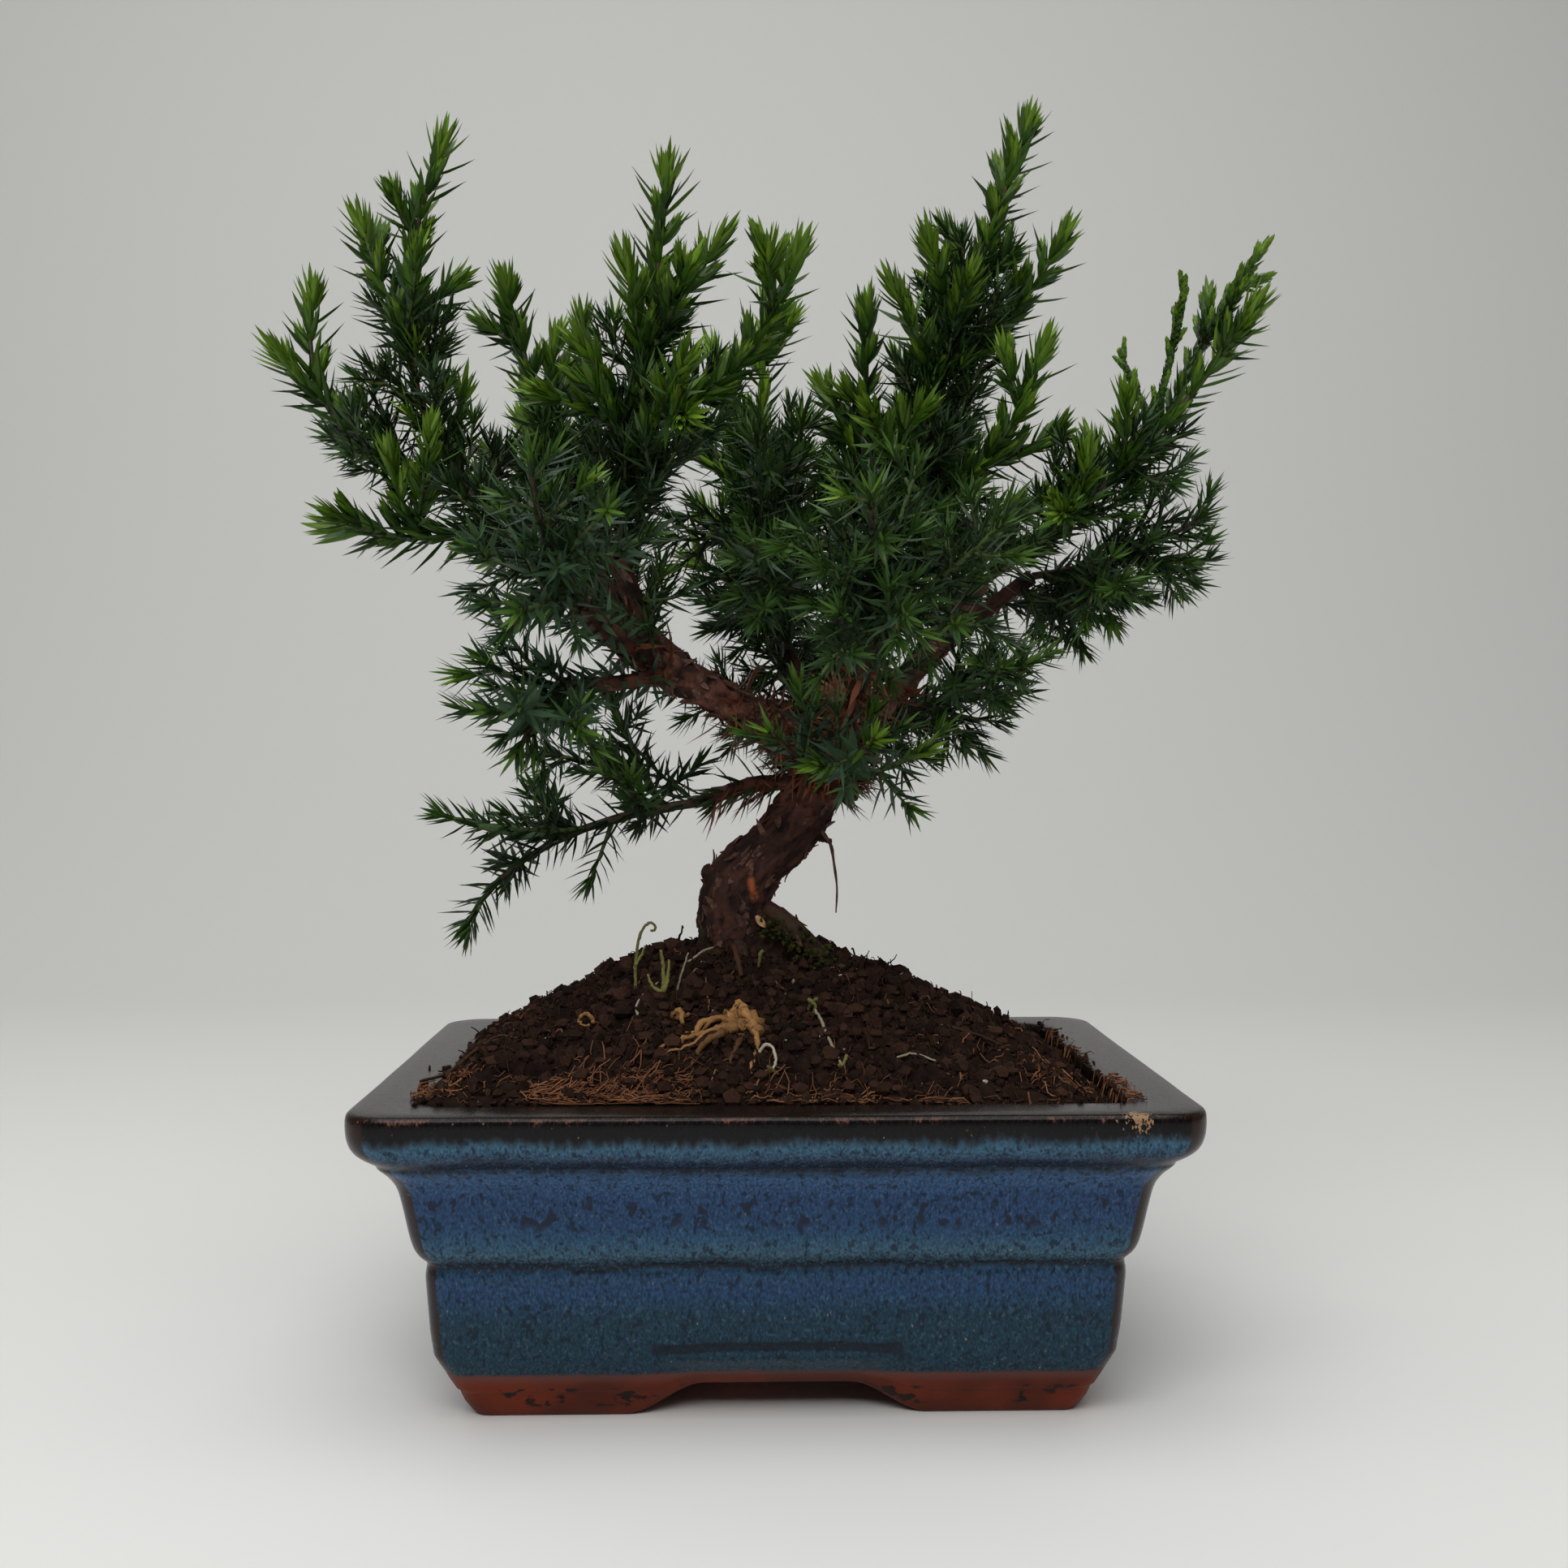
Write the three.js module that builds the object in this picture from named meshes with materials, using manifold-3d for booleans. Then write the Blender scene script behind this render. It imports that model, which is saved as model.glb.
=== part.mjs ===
// Juniper bonsai in a glazed rectangular pot.
// Units are millimetres. +Z is up, +X is to the right and +Y points away from the front of the pot.
// The origin is on the ground under the middle of the pot.

import * as THREE from 'three';
import { mergeVertices } from 'three/addons/utils/BufferGeometryUtils.js';
import Module from 'manifold-3d';

const wasm = await Module();
wasm.setup();

// Gap that neighbouring solids keep to each other.
const GAP = 0.3;

// Pot: a rounded rectangle whose lip overhangs, with a foot that is cut away between its corners.
const POT = {
  halfLength: 75,
  halfDepth: 59,
  height: 58,
  cornerRadius: 8,
  cornerTaper: 0.25,
  cornerSteps: 3,
  cavityFloor: 11,
  underside: 5.6,
  footWidth: 9,
  drainRadius: 5,
  drainOffset: 25,
  drainSides: 16,
};

// Outside of the pot from the ground to the lip: how far in from the lip's widest line, and the height.
const POT_OUTSIDE = [
  [20.0, 0.0], [19.0, 0.9], [17.3, 3.4], [16.7, 5.8], [15.2, 8.9], [13.5, 12.3], [12.8, 17.4],
  [12.1, 24.5], [12.0, 27.6], [12.7, 28.6], [10.9, 30.0], [9.8, 32.0], [8.9, 38.2], [8.1, 42.6],
  [6.8, 45.3], [3.6, 48.2], [1.4, 50.4], [0.3, 52.6], [0.0, 54.8], [0.2, 56.8], [1.2, 58.0],
];

// Inside of the pot from its floor to the inner edge of the flat rim.
const POT_INSIDE = [[20.5, 11.0], [19.3, 13.0], [16.6, 34.0], [13.6, 48.0], [12.0, 54.0], [12.0, 58.0]];

// Arches between the corner feet: half widths at the ground and at their flat top.
const FRONT_ARCH = { bottom: 23.8, top: 15 };
const SIDE_ARCH = { bottom: 15.5, top: 9 };

// Soil: fills the pot and rises in a mound to the level spot that the trunk stands on.
const SOIL = {
  edgeHeight: 56.6,
  peak: 84,
  level: 79.7,
  centreX: -5,
  fall: 0.06,
  power: 1.3,
  roundness: 0.82,
  lump: 1.1,
  oval: 3,
  sidePoints: 3,
  filled: [POT_INSIDE[0], POT_INSIDE[2], POT_INSIDE[4]],
  rings: [0.96, 0.87, 0.74, 0.58, 0.43, 0.32],
};

// Trunk: centre and radius at each bend, from the flat cut on the soil to the fork.
const TRUNK = {
  sides: 16,
  points: [
    { x: -6.6, y: 0, z: 80, r: 8.4 },
    { x: -6.7, y: -0.5, z: 84.5, r: 7.5 },
    { x: -7.6, y: -1.5, z: 91, r: 6.7 },
    { x: -4.4, y: -2, z: 96.6, r: 6.0 },
    { x: 0.5, y: 0, z: 101.2, r: 5.7 },
    { x: 4.8, y: 2, z: 106.0, r: 5.8 },
    { x: 8.8, y: 3, z: 112.3, r: 5.5 },
    { x: 11.0, y: 2, z: 118.3, r: 5.8 },
    { x: 12.0, y: 1, z: 124.0, r: 4.4 },
  ],
  stepsBetween: 2,
  // Root flare: where each root leaves, in degrees round the trunk, and how far it swells.
  roots: [
    { azimuth: -28, swell: 8 },
    { azimuth: 70, swell: 3.8 },
    { azimuth: 160, swell: 4.2 },
    { azimuth: 245, swell: 3.2 },
  ],
  rootWidth: 26,
  rootHeight: 4.2,
};

// Boughs: what each grows from and at which share of its length, its radii, its bend and its tip.
const BOUGHS = [
  {
    name: 'bough_left', from: 'trunk', at: 0.9, base: 4.2, end: 3.1,
    bend: [-8, -7, 130], tip: [-28.5, -12.5, 140.5],
  },
  {
    name: 'bough_left_outer', from: 'bough_left', at: 0.97, base: 2.5, end: 2.0,
    bend: [-35, -14, 145], tip: [-41, -14, 154],
  },
  {
    name: 'bough_left_inner', from: 'bough_left', at: 0.9, base: 2.0, end: 1.6,
    bend: [-30, 0, 147], tip: [-36, 9, 158],
  },
  {
    name: 'bough_centre', from: 'bough_left', at: 0.86, base: 2.3, end: 1.8,
    bend: [-26, -18, 147], tip: [-30, -25, 157],
  },
  {
    name: 'bough_front_left', from: 'bough_left', at: 0.94, base: 1.9, end: 1.5,
    bend: [-31, -25, 142], tip: [-35, -40, 147],
  },
  {
    name: 'bough_drooping', from: 'bough_left', at: 0.8, base: 1.8, end: 1.4,
    bend: [-27, -20, 133], tip: [-35, -31, 133],
  },
  {
    name: 'bough_low_left', from: 'trunk', at: 0.78, base: 2.6, end: 2.0,
    bend: [-3, 0, 116], tip: [-13, 1, 110.5],
  },
  {
    name: 'bough_back_left', from: 'bough_left', at: 0.5, base: 2.4, end: 1.7,
    bend: [-20, 16, 139], tip: [-36, 34, 157],
  },
  {
    name: 'bough_back', from: 'trunk', at: 0.95, base: 2.8, end: 1.9,
    bend: [8, 25, 131], tip: [1, 38, 145],
  },
  {
    name: 'bough_back_low', from: 'trunk', at: 0.86, base: 2.1, end: 1.5,
    bend: [12, 20, 118], tip: [14, 33, 127],
  },
  {
    name: 'bough_inner', from: 'trunk', at: 0.97, base: 2.3, end: 1.7,
    bend: [7, 3, 132], tip: [3, 5, 141],
  },
  {
    name: 'bough_right_rising', from: 'trunk', at: 0.98, base: 3.0, end: 2.1,
    bend: [17, 2, 135], tip: [21, 4, 152],
  },
  {
    name: 'bough_right_inner', from: 'bough_right_rising', at: 0.3, base: 2.0, end: 1.6,
    bend: [15, 14, 140], tip: [15, 15, 158],
  },
  {
    name: 'bough_right_outer', from: 'trunk', at: 0.93, base: 3.2, end: 2.1,
    bend: [27, 0, 132], tip: [42.5, -2, 155],
  },
  {
    name: 'bough_right_low', from: 'bough_right_outer', at: 0.45, base: 2.0, end: 1.6,
    bend: [38, 7, 146], tip: [54, 6, 157],
  },
  {
    name: 'bough_front_right', from: 'trunk', at: 0.9, base: 2.3, end: 1.7,
    bend: [16, -17, 129], tip: [18, -31, 142],
  },
  {
    name: 'bough_under_right', from: 'trunk', at: 0.82, base: 2.0, end: 1.5,
    bend: [20, 9, 122], tip: [29, 13, 130],
  },
  {
    name: 'bough_back_right', from: 'bough_right_rising', at: 0.45, base: 2.3, end: 1.7,
    bend: [24, 22, 141], tip: [33, 42, 162],
  },
];
const BOUGH_SIDES = 6;
const BOUGH_STEPS = 4;

// Limbs are grown by this before they cut their neighbours, which leaves the gap at their flats too.
const LIMB_MARGIN = GAP + 0.05;

// Foliage masses: the limb that each grows from and its leading shoots.
// The first shoot is the stem. Each later one leaves an earlier shoot at a share of its length.
// A shoot without a bend of its own sets out along its parent and turns up to its tip.
const MASSES = [
  { name: 'foliage_left_outer', limb: 'bough_left_outer', shoots: [
    { bend: [-88, -9, 186], tip: [-64.5, -7, 243] },
    { on: 0, at: 0.3, bend: [-97, -8, 178], tip: [-91, -6, 214] },
    { on: 0, at: 0.55, tip: [-82, -10, 227] },
    { on: 0, at: 0.62, tip: [-62, 2, 218] },
    { on: 1, at: 0.55, tip: [-98, -13, 200] },
    { on: 0, at: 0.28, tip: [-62, 0, 196] },
    { on: 0, at: 0.14, bend: [-66, -13, 160], tip: [-90, -9, 165] },
    { on: 6, at: 0.45, tip: [-74, -20, 180] },
  ] },
  { name: 'foliage_left_inner', limb: 'bough_left_inner', shoots: [
    { bend: [-48, 14, 186], tip: [-56, 10, 220] },
    { on: 0, at: 0.5, tip: [-45, 16, 211] },
    { on: 0, at: 0.25, tip: [-62, 22, 186] },
    { on: 0, at: 0.35, tip: [-54, 27, 203] },
  ] },
  { name: 'foliage_centre', limb: 'bough_centre', shoots: [
    { bend: [-23, -28, 195], tip: [-20, -29, 230] },
    { on: 0, at: 0.35, bend: [-4, -30, 184], tip: [5, -31, 216] },
    { on: 0, at: 0.5, tip: [-9, -26, 219] },
    { on: 0, at: 0.45, tip: [-28, -37, 212] },
    { on: 0, at: 0.2, tip: [-15, -54, 190] },
    { on: 0, at: 0.3, tip: [-37, -40, 196] },
  ] },
  { name: 'foliage_front_left', limb: 'bough_front_left', shoots: [
    { bend: [-42, -52, 154], tip: [-42, -62, 172] },
    { on: 0, at: 0.1, tip: [-45, -62, 143] },
    { on: 0, at: 0.2, tip: [-56, -52, 156] },
    { on: 0, at: 0.3, tip: [-26, -64, 163] },
  ] },
  { name: 'foliage_drooping', limb: 'bough_drooping', shoots: [
    { bend: [-42, -38, 133], tip: [-47, -46, 117] },
    { on: 0, at: 0.15, tip: [-56, -38, 139] },
    { on: 0, at: 0.4, tip: [-52, -52, 128] },
    { on: 0, at: 0.3, tip: [-33, -54, 124] },
  ] },
  { name: 'foliage_low_left', limb: 'bough_low_left', shoots: [
    { bend: [-54, 3, 106], tip: [-64, 5, 83] },
    { on: 0, at: 0.42, bend: [-52, -2, 102], tip: [-70, -1, 109] },
    { on: 0, at: 0.36, tip: [-51, 12, 116] },
    { on: 0, at: 0.12, bend: [-27, 13, 116], tip: [-35, 20, 134] },
    { on: 3, at: 0.4, tip: [-50, 23, 121] },
    { on: 0, at: 0.16, tip: [-28, -14, 118] },
  ] },
  { name: 'foliage_back_left', limb: 'bough_back_left', shoots: [
    { bend: [-48, 46, 172], tip: [-58, 52, 200] },
    { on: 0, at: 0.15, tip: [-72, 46, 171] },
    { on: 0, at: 0.1, tip: [-60, 56, 150] },
    { on: 0, at: 0.3, tip: [-36, 64, 182] },
    { on: 0, at: 0.25, bend: [-40, 47, 190], tip: [-43, 46, 222] },
  ] },
  { name: 'foliage_back', limb: 'bough_back', shoots: [
    { bend: [-4, 48, 185], tip: [0, 50, 226] },
    { on: 0, at: 0.35, tip: [-14, 60, 219] },
    { on: 0, at: 0.15, tip: [-17, 64, 181] },
    { on: 0, at: 0.3, tip: [4, 67, 196] },
    { on: 0, at: 0.25, tip: [18, 62, 184] },
    { on: 0, at: 0.3, tip: [-22, 40, 201] },
  ] },
  { name: 'foliage_back_low', limb: 'bough_back_low', shoots: [
    { bend: [14, 50, 132], tip: [8, 66, 145] },
    { on: 0, at: 0.1, bend: [-4, 46, 126], tip: [-24, 54, 138] },
    { on: 0, at: 0.15, tip: [40, 52, 134] },
    { on: 0, at: 0.3, tip: [24, 64, 158] },
  ] },
  { name: 'foliage_inner', limb: 'bough_inner', shoots: [
    { bend: [3, 11, 168], tip: [7, 13, 195] },
    { on: 0, at: 0.4, tip: [-6, 14, 192] },
    { on: 0, at: 0.25, tip: [-19, 17, 176] },
    { on: 0, at: 0.1, tip: [-17, 3, 153] },
    { on: 0, at: 0.15, bend: [1, -16, 150], tip: [-5, -36, 160] },
    { on: 0, at: 0.35, tip: [-5, -14, 185] },
  ] },
  { name: 'foliage_right_rising', limb: 'bough_right_rising', shoots: [
    { bend: [37, 4, 205], tip: [52.5, 0, 250] },
    { on: 0, at: 0.5, tip: [30, -8, 225] },
    { on: 0, at: 0.4, tip: [22, -13, 214] },
    { on: 0, at: 0.45, bend: [50, 6, 206], tip: [61, 3, 229] },
    { on: 0, at: 0.18, bend: [46, -8, 172], tip: [54, -11, 203] },
    { on: 0, at: 0.6, tip: [36, 10, 231] },
    { on: 0, at: 0.2, tip: [17, -26, 186] },
  ] },
  { name: 'foliage_right_inner', limb: 'bough_right_inner', shoots: [
    { bend: [21, 16, 186], tip: [20, 13, 216] },
    { on: 0, at: 0.45, tip: [10, 25, 202] },
    { on: 0, at: 0.4, tip: [31, 28, 199] },
  ] },
  { name: 'foliage_right_outer', limb: 'bough_right_outer', shoots: [
    { bend: [77, -3, 177], tip: [98, -5, 212] },
    { on: 0, at: 0.52, bend: [80, -8, 198], tip: [82, -9, 215] },
    { on: 0, at: 0.6, bend: [87, 5, 205], tip: [103, 2, 227] },
    { on: 2, at: 0.45, tip: [91, 7, 219] },
    { on: 0, at: 0.42, tip: [69, -14, 193] },
    { on: 0, at: 0.25, tip: [60, -20, 180] },
    { on: 0, at: 0.35, tip: [66, 10, 188] },
  ] },
  { name: 'foliage_right_low', limb: 'bough_right_low', shoots: [
    { bend: [76, 8, 160], tip: [92, 6, 171] },
    { on: 0, at: 0.35, tip: [82, 12, 179] },
    { on: 0, at: 0.2, tip: [77, 18, 153] },
    { on: 0, at: 0.08, tip: [66, 24, 144] },
    { on: 0, at: 0.15, tip: [72, -12, 152] },
  ] },
  { name: 'foliage_front_right', limb: 'bough_front_right', shoots: [
    { bend: [17, -48, 150], tip: [15, -64, 165] },
    { on: 0, at: 0.15, bend: [30, -46, 150], tip: [40, -56, 161] },
    { on: 0, at: 0.2, tip: [22, -64, 143] },
    { on: 0, at: 0.25, tip: [5, -58, 154] },
    { on: 0, at: 0.3, tip: [26, -46, 175] },
  ] },
  { name: 'foliage_fork', limb: 'trunk', at: 0.8, shoots: [
    { bend: [11, -22, 115], tip: [18, -44, 123] },
    { on: 0, at: 0.3, tip: [-3, -30, 126] },
    { on: 0, at: 0.35, tip: [31, -28, 122] },
  ] },
  { name: 'foliage_under_right', limb: 'bough_under_right', shoots: [
    { bend: [42, 20, 132], tip: [58, 24, 134] },
    { on: 0, at: 0.2, tip: [42, 10, 122] },
    { on: 0, at: 0.1, bend: [38, 2, 132], tip: [52, -10, 139] },
  ] },
  { name: 'foliage_back_right', limb: 'bough_back_right', shoots: [
    { bend: [42, 54, 176], tip: [48, 62, 199] },
    { on: 0, at: 0.25, tip: [68, 50, 182] },
    { on: 0, at: 0.3, tip: [29, 47, 214] },
    { on: 0, at: 0.1, tip: [53, 60, 154] },
    { on: 0, at: 0.4, tip: [24, 66, 186] },
  ] },
];

// Box that the whole crown keeps to.
const CROWN = new THREE.Box3(new THREE.Vector3(-102, -72, 70), new THREE.Vector3(103.5, 72, 251.5));

// Growth rule of the foliage. Side twigs climb each shoot at the golden angle. Every shoot and twig
// is a slim three-sided core, with whorls of needles drawn out of its faces. Angles are in degrees.
const GROWTH = {
  goldenAngle: 137.508,
  samples: 8,
  // A shoot sets out along its parent for this share of its reach, and sags by the other before it rises.
  setOut: 0.38,
  sag: 0.16,
  thickestShoot: 2,
  shootShrink: 0.75,
  shootTipRadius: 0.95,
  rootShare: 0.5,
  twigSpacing: 15,
  twigStart: 6,
  twigEnd: 11,
  twigLong: 21,
  twigShort: 9,
  twigReach: [0.75, 1.15],
  twigTrims: [1, 0.7, 0.45],
  twigRadius: 1.0,
  twigLean: 46,
  twigScatter: 14,
  twigSteepest: -0.45,
  bareShoot: 0.2,
  bareTwig: 0.4,
  whorlSpacing: 16,
  whorlEnd: 5,
  collar: 2.4,
  longestStep: 11,
  needleLength: 9,
  needleReach: [0.75, 1.1],
  needleLean: 44,
  needleLeanReach: [0.8, 1.25],
  needleSpread: 24,
  // Room that twigs and needles keep to other masses, to limbs and to their own mass's lines.
  massRoom: 2.2,
  limbRoom: 1.6,
  twigRoom: 3.2,
  needleRoom: 1.6,
};

// Each mass has this many seeds: one for each shoot in turn, and the last one for its needles.
const SEEDS_PER_MASS = 100;

// Finishes: colour, roughness and metalness of each kind of piece.
const FINISH = {
  pot: { color: 0x42596b, roughness: 0.25, metalness: 0 },
  soil: { color: 0x2b221c, roughness: 0.95, metalness: 0 },
  bark: { color: 0x5a3a2a, roughness: 0.85, metalness: 0 },
  foliage: { color: 0x4f7a35, roughness: 0.55, metalness: 0 },
};

// Even random numbers from 0 to 1, the same ones for the same seed.
function randomFrom(seed) {
  let state = Math.imul(seed + 1, 2654435761) >>> 0;
  return () => {
    state = (Math.imul(state, 1664525) + 1013904223) >>> 0;
    let mixed = state ^ (state >>> 15);
    mixed = Math.imul(mixed, 2246822519) >>> 0;
    mixed ^= mixed >>> 13;
    return (mixed >>> 0) / 4294967296;
  };
}

const vector = (list) => new THREE.Vector3(...list);
const mix = THREE.MathUtils.lerp;
const radians = THREE.MathUtils.degToRad;

// A closed mesh as a solid that can be joined and cut.
function solidOf(geometry) {
  const bare = geometry.index ? geometry.toNonIndexed() : geometry.clone();
  bare.deleteAttribute('normal');
  bare.deleteAttribute('uv');
  const merged = mergeVertices(bare, 1e-4);
  return new wasm.Manifold(new wasm.Mesh({
    numProp: 3,
    vertProperties: merged.attributes.position.array,
    triVerts: new Uint32Array(merged.index.array),
  }));
}

// A solid as a geometry that a mesh can show.
function geometryOf(solid) {
  const mesh = solid.getMesh();
  const position = new Float32Array(mesh.numVert * 3);
  for (let i = 0; i < mesh.numVert; i += 1) {
    for (let k = 0; k < 3; k += 1) position[3 * i + k] = mesh.vertProperties[mesh.numProp * i + k];
  }
  const geometry = new THREE.BufferGeometry();
  geometry.setAttribute('position', new THREE.BufferAttribute(position, 3));
  geometry.setIndex(new THREE.BufferAttribute(new Uint32Array(mesh.triVerts), 1));
  geometry.computeVertexNormals();
  return geometry;
}

// A closed skin over rings of equally many points, each ring anticlockwise seen from the last one.
function loft(rings) {
  const count = rings[0].length;
  const position = rings.flat().flatMap((p) => [p.x, p.y, p.z]);
  const index = [];
  for (let r = 0; r + 1 < rings.length; r += 1) {
    for (let i = 0; i < count; i += 1) {
      const a = r * count + i;
      const b = r * count + ((i + 1) % count);
      index.push(a, b, b + count, a, b + count, a + count);
    }
  }
  const last = (rings.length - 1) * count;
  for (let i = 1; i + 1 < count; i += 1) {
    index.push(0, i + 1, i);
    index.push(last, last + i, last + i + 1);
  }
  const geometry = new THREE.BufferGeometry();
  geometry.setAttribute('position', new THREE.Float32BufferAttribute(position, 3));
  geometry.setIndex(index);
  return geometry;
}

// Rounded rectangle of the pot, drawn in from the lip's widest line.
function potRing(inset, z) {
  const radius = POT.cornerRadius - POT.cornerTaper * inset;
  const cornerX = POT.halfLength - inset - radius;
  const cornerY = POT.halfDepth - inset - radius;
  const corners = [[cornerX, cornerY], [-cornerX, cornerY], [-cornerX, -cornerY], [cornerX, -cornerY]];
  return corners.flatMap(([x, y], quarter) => (
    Array.from({ length: POT.cornerSteps + 1 }, (_, i) => {
      const angle = (quarter + i / POT.cornerSteps) * Math.PI / 2;
      return new THREE.Vector3(x + radius * Math.cos(angle), y + radius * Math.sin(angle), z);
    })
  ));
}

// Cutter for the arches of two facing sides. Each end of an arch is an S-shaped curve.
function archCutter({ bottom, top }, reach) {
  const sway = 0.4 * (bottom - top);
  const rise = POT.underside;
  const outline = new THREE.Shape();
  outline.moveTo(-bottom, -1);
  outline.lineTo(-bottom, 0);
  outline.bezierCurveTo(-bottom + sway, 0.1 * rise, -bottom + sway, 0.95 * rise, -top, rise);
  outline.lineTo(top, rise);
  outline.bezierCurveTo(bottom - sway, 0.95 * rise, bottom - sway, 0.1 * rise, bottom, 0);
  outline.lineTo(bottom, -1);
  outline.closePath();
  const cutter = new THREE.ExtrudeGeometry(outline, {
    depth: 2 * reach,
    bevelEnabled: false,
    curveSegments: 5,
  });
  return cutter.translate(0, 0, -reach).rotateX(Math.PI / 2);
}

function makePot() {
  const outside = solidOf(loft(POT_OUTSIDE.map(([inset, z]) => potRing(inset, z))));
  const above = [POT_INSIDE.at(-1)[0], POT.height + 1];
  const inside = solidOf(loft([...POT_INSIDE, above].map(([inset, z]) => potRing(inset, z))));
  const hollow = POT_OUTSIDE[0][0] + POT.footWidth;
  const recess = solidOf(loft([potRing(hollow, -1), potRing(hollow, POT.underside)]));
  const frontArch = solidOf(archCutter(FRONT_ARCH, POT.halfDepth));
  const sideArch = solidOf(archCutter(SIDE_ARCH, POT.halfLength).rotateZ(Math.PI / 2));
  let pot = outside.subtract(inside).subtract(recess.add(frontArch).add(sideArch));
  for (const side of [-1, 1]) {
    const drain = new THREE.CylinderGeometry(
      POT.drainRadius, POT.drainRadius, 2 * POT.cavityFloor, POT.drainSides,
    );
    drain.rotateX(Math.PI / 2).translate(side * POT.drainOffset, 0, POT.cavityFloor);
    pot = pot.subtract(solidOf(drain));
  }
  return pot;
}

// Height of the mound at a share of the way from its middle to the rim.
function moundHeight(share, x) {
  const dome = (1 - share ** SOIL.power) ** SOIL.roundness;
  const height = mix(SOIL.edgeHeight, SOIL.peak, dome) - SOIL.fall * Math.max(x, 0);
  return Math.min(height, SOIL.level);
}

// Ring of the soil: the pot's rounded rectangle with more points along its straight sides.
function soilRing(inset, z) {
  const corners = potRing(inset, z);
  return corners.flatMap((p, i) => {
    const next = corners[(i + 1) % corners.length];
    const straight = i % (POT.cornerSteps + 1) === POT.cornerSteps;
    const extra = straight ? SOIL.sidePoints : 0;
    return Array.from({ length: extra + 1 }, (_, k) => p.clone().lerp(next, k / (extra + 1)));
  });
}

function makeSoil() {
  const filled = SOIL.filled.map(([inset, z]) => soilRing(inset + GAP, z + GAP));
  const edge = filled.at(-1);
  edge.forEach((p) => p.setZ(SOIL.edgeHeight));
  const halfLength = POT.halfLength - SOIL.filled.at(-1)[0] - GAP;
  const halfDepth = POT.halfDepth - SOIL.filled.at(-1)[0] - GAP;
  const mound = SOIL.rings.map((share) => edge.map((p, i) => {
    // The rings turn from the pot's rectangle into an oval on the way up.
    const angle = Math.atan2(p.y / halfDepth, p.x / halfLength);
    const round = Math.min(1, SOIL.oval * (1 - share));
    const x = mix(p.x, halfLength * Math.cos(angle), round) * share;
    const y = mix(p.y, halfDepth * Math.sin(angle), round) * share;
    const lump = SOIL.lump * Math.sin(2.3 * i + 17 * share) * Math.sin(1.1 * i + 2);
    const height = moundHeight(share, x) + lump;
    return new THREE.Vector3(x + SOIL.centreX * (1 - share), y, Math.min(height, SOIL.level));
  }));
  mound.at(-1).forEach((p) => p.setZ(SOIL.level));
  return solidOf(loft([...filled, ...mound]));
}

// Points along a bent line from a start through the pull of a bend to a tip.
function bentLine(start, bend, tip, steps) {
  return new THREE.QuadraticBezierCurve3(start, bend, tip).getPoints(steps);
}

// Unit directions along a chain of points.
function directionsAlong(points) {
  return points.map((_, i) => {
    const before = points[Math.max(i - 1, 0)];
    const after = points[Math.min(i + 1, points.length - 1)];
    return after.clone().sub(before).normalize();
  });
}

// Two unit vectors across a direction, turned as little as possible from the last pair.
function acrossFrom(direction, lastSide) {
  const side = lastSide.clone().addScaledVector(direction, -lastSide.dot(direction)).normalize();
  return [side, direction.clone().cross(side)];
}

const anySide = (direction) => (
  Math.abs(direction.z) < 0.9 ? new THREE.Vector3(0, 0, 1) : new THREE.Vector3(1, 0, 0)
);

// Closed tube round a chain of centres. radiusAt takes the centre's place in the chain and the angle.
function tube(centres, radiusAt, sides) {
  const directions = directionsAlong(centres);
  let side = anySide(directions[0]);
  return loft(centres.map((centre, i) => {
    const [u, v] = acrossFrom(directions[i], side);
    side = u;
    return Array.from({ length: sides }, (_, k) => {
      const angle = (k / sides) * 2 * Math.PI;
      const radius = radiusAt(i, angle);
      return centre.clone()
        .addScaledVector(u, radius * Math.cos(angle))
        .addScaledVector(v, radius * Math.sin(angle));
    });
  }));
}

// Point, direction and radius at a share of a line's length.
function alongLine(line, share) {
  const place = share * (line.points.length - 1);
  const i = Math.min(Math.floor(place), line.points.length - 2);
  return {
    point: line.points[i].clone().lerp(line.points[i + 1], place - i),
    direction: line.points[i + 1].clone().sub(line.points[i]).normalize(),
    radius: mix(line.radii[i], line.radii[i + 1], place - i),
  };
}

const lengthOf = (points) => (
  points.slice(1).reduce((sum, p, i) => sum + p.distanceTo(points[i]), 0)
);

// Shortest distance from a point to the surface of a tapering line.
function distanceToLine(point, line) {
  let nearest = Infinity;
  const closest = new THREE.Vector3();
  const piece = new THREE.Line3();
  for (let i = 0; i + 1 < line.points.length; i += 1) {
    piece.set(line.points[i], line.points[i + 1]).closestPointToPoint(point, true, closest);
    nearest = Math.min(nearest, closest.distanceTo(point) - line.radii[i]);
  }
  return nearest;
}

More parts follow.
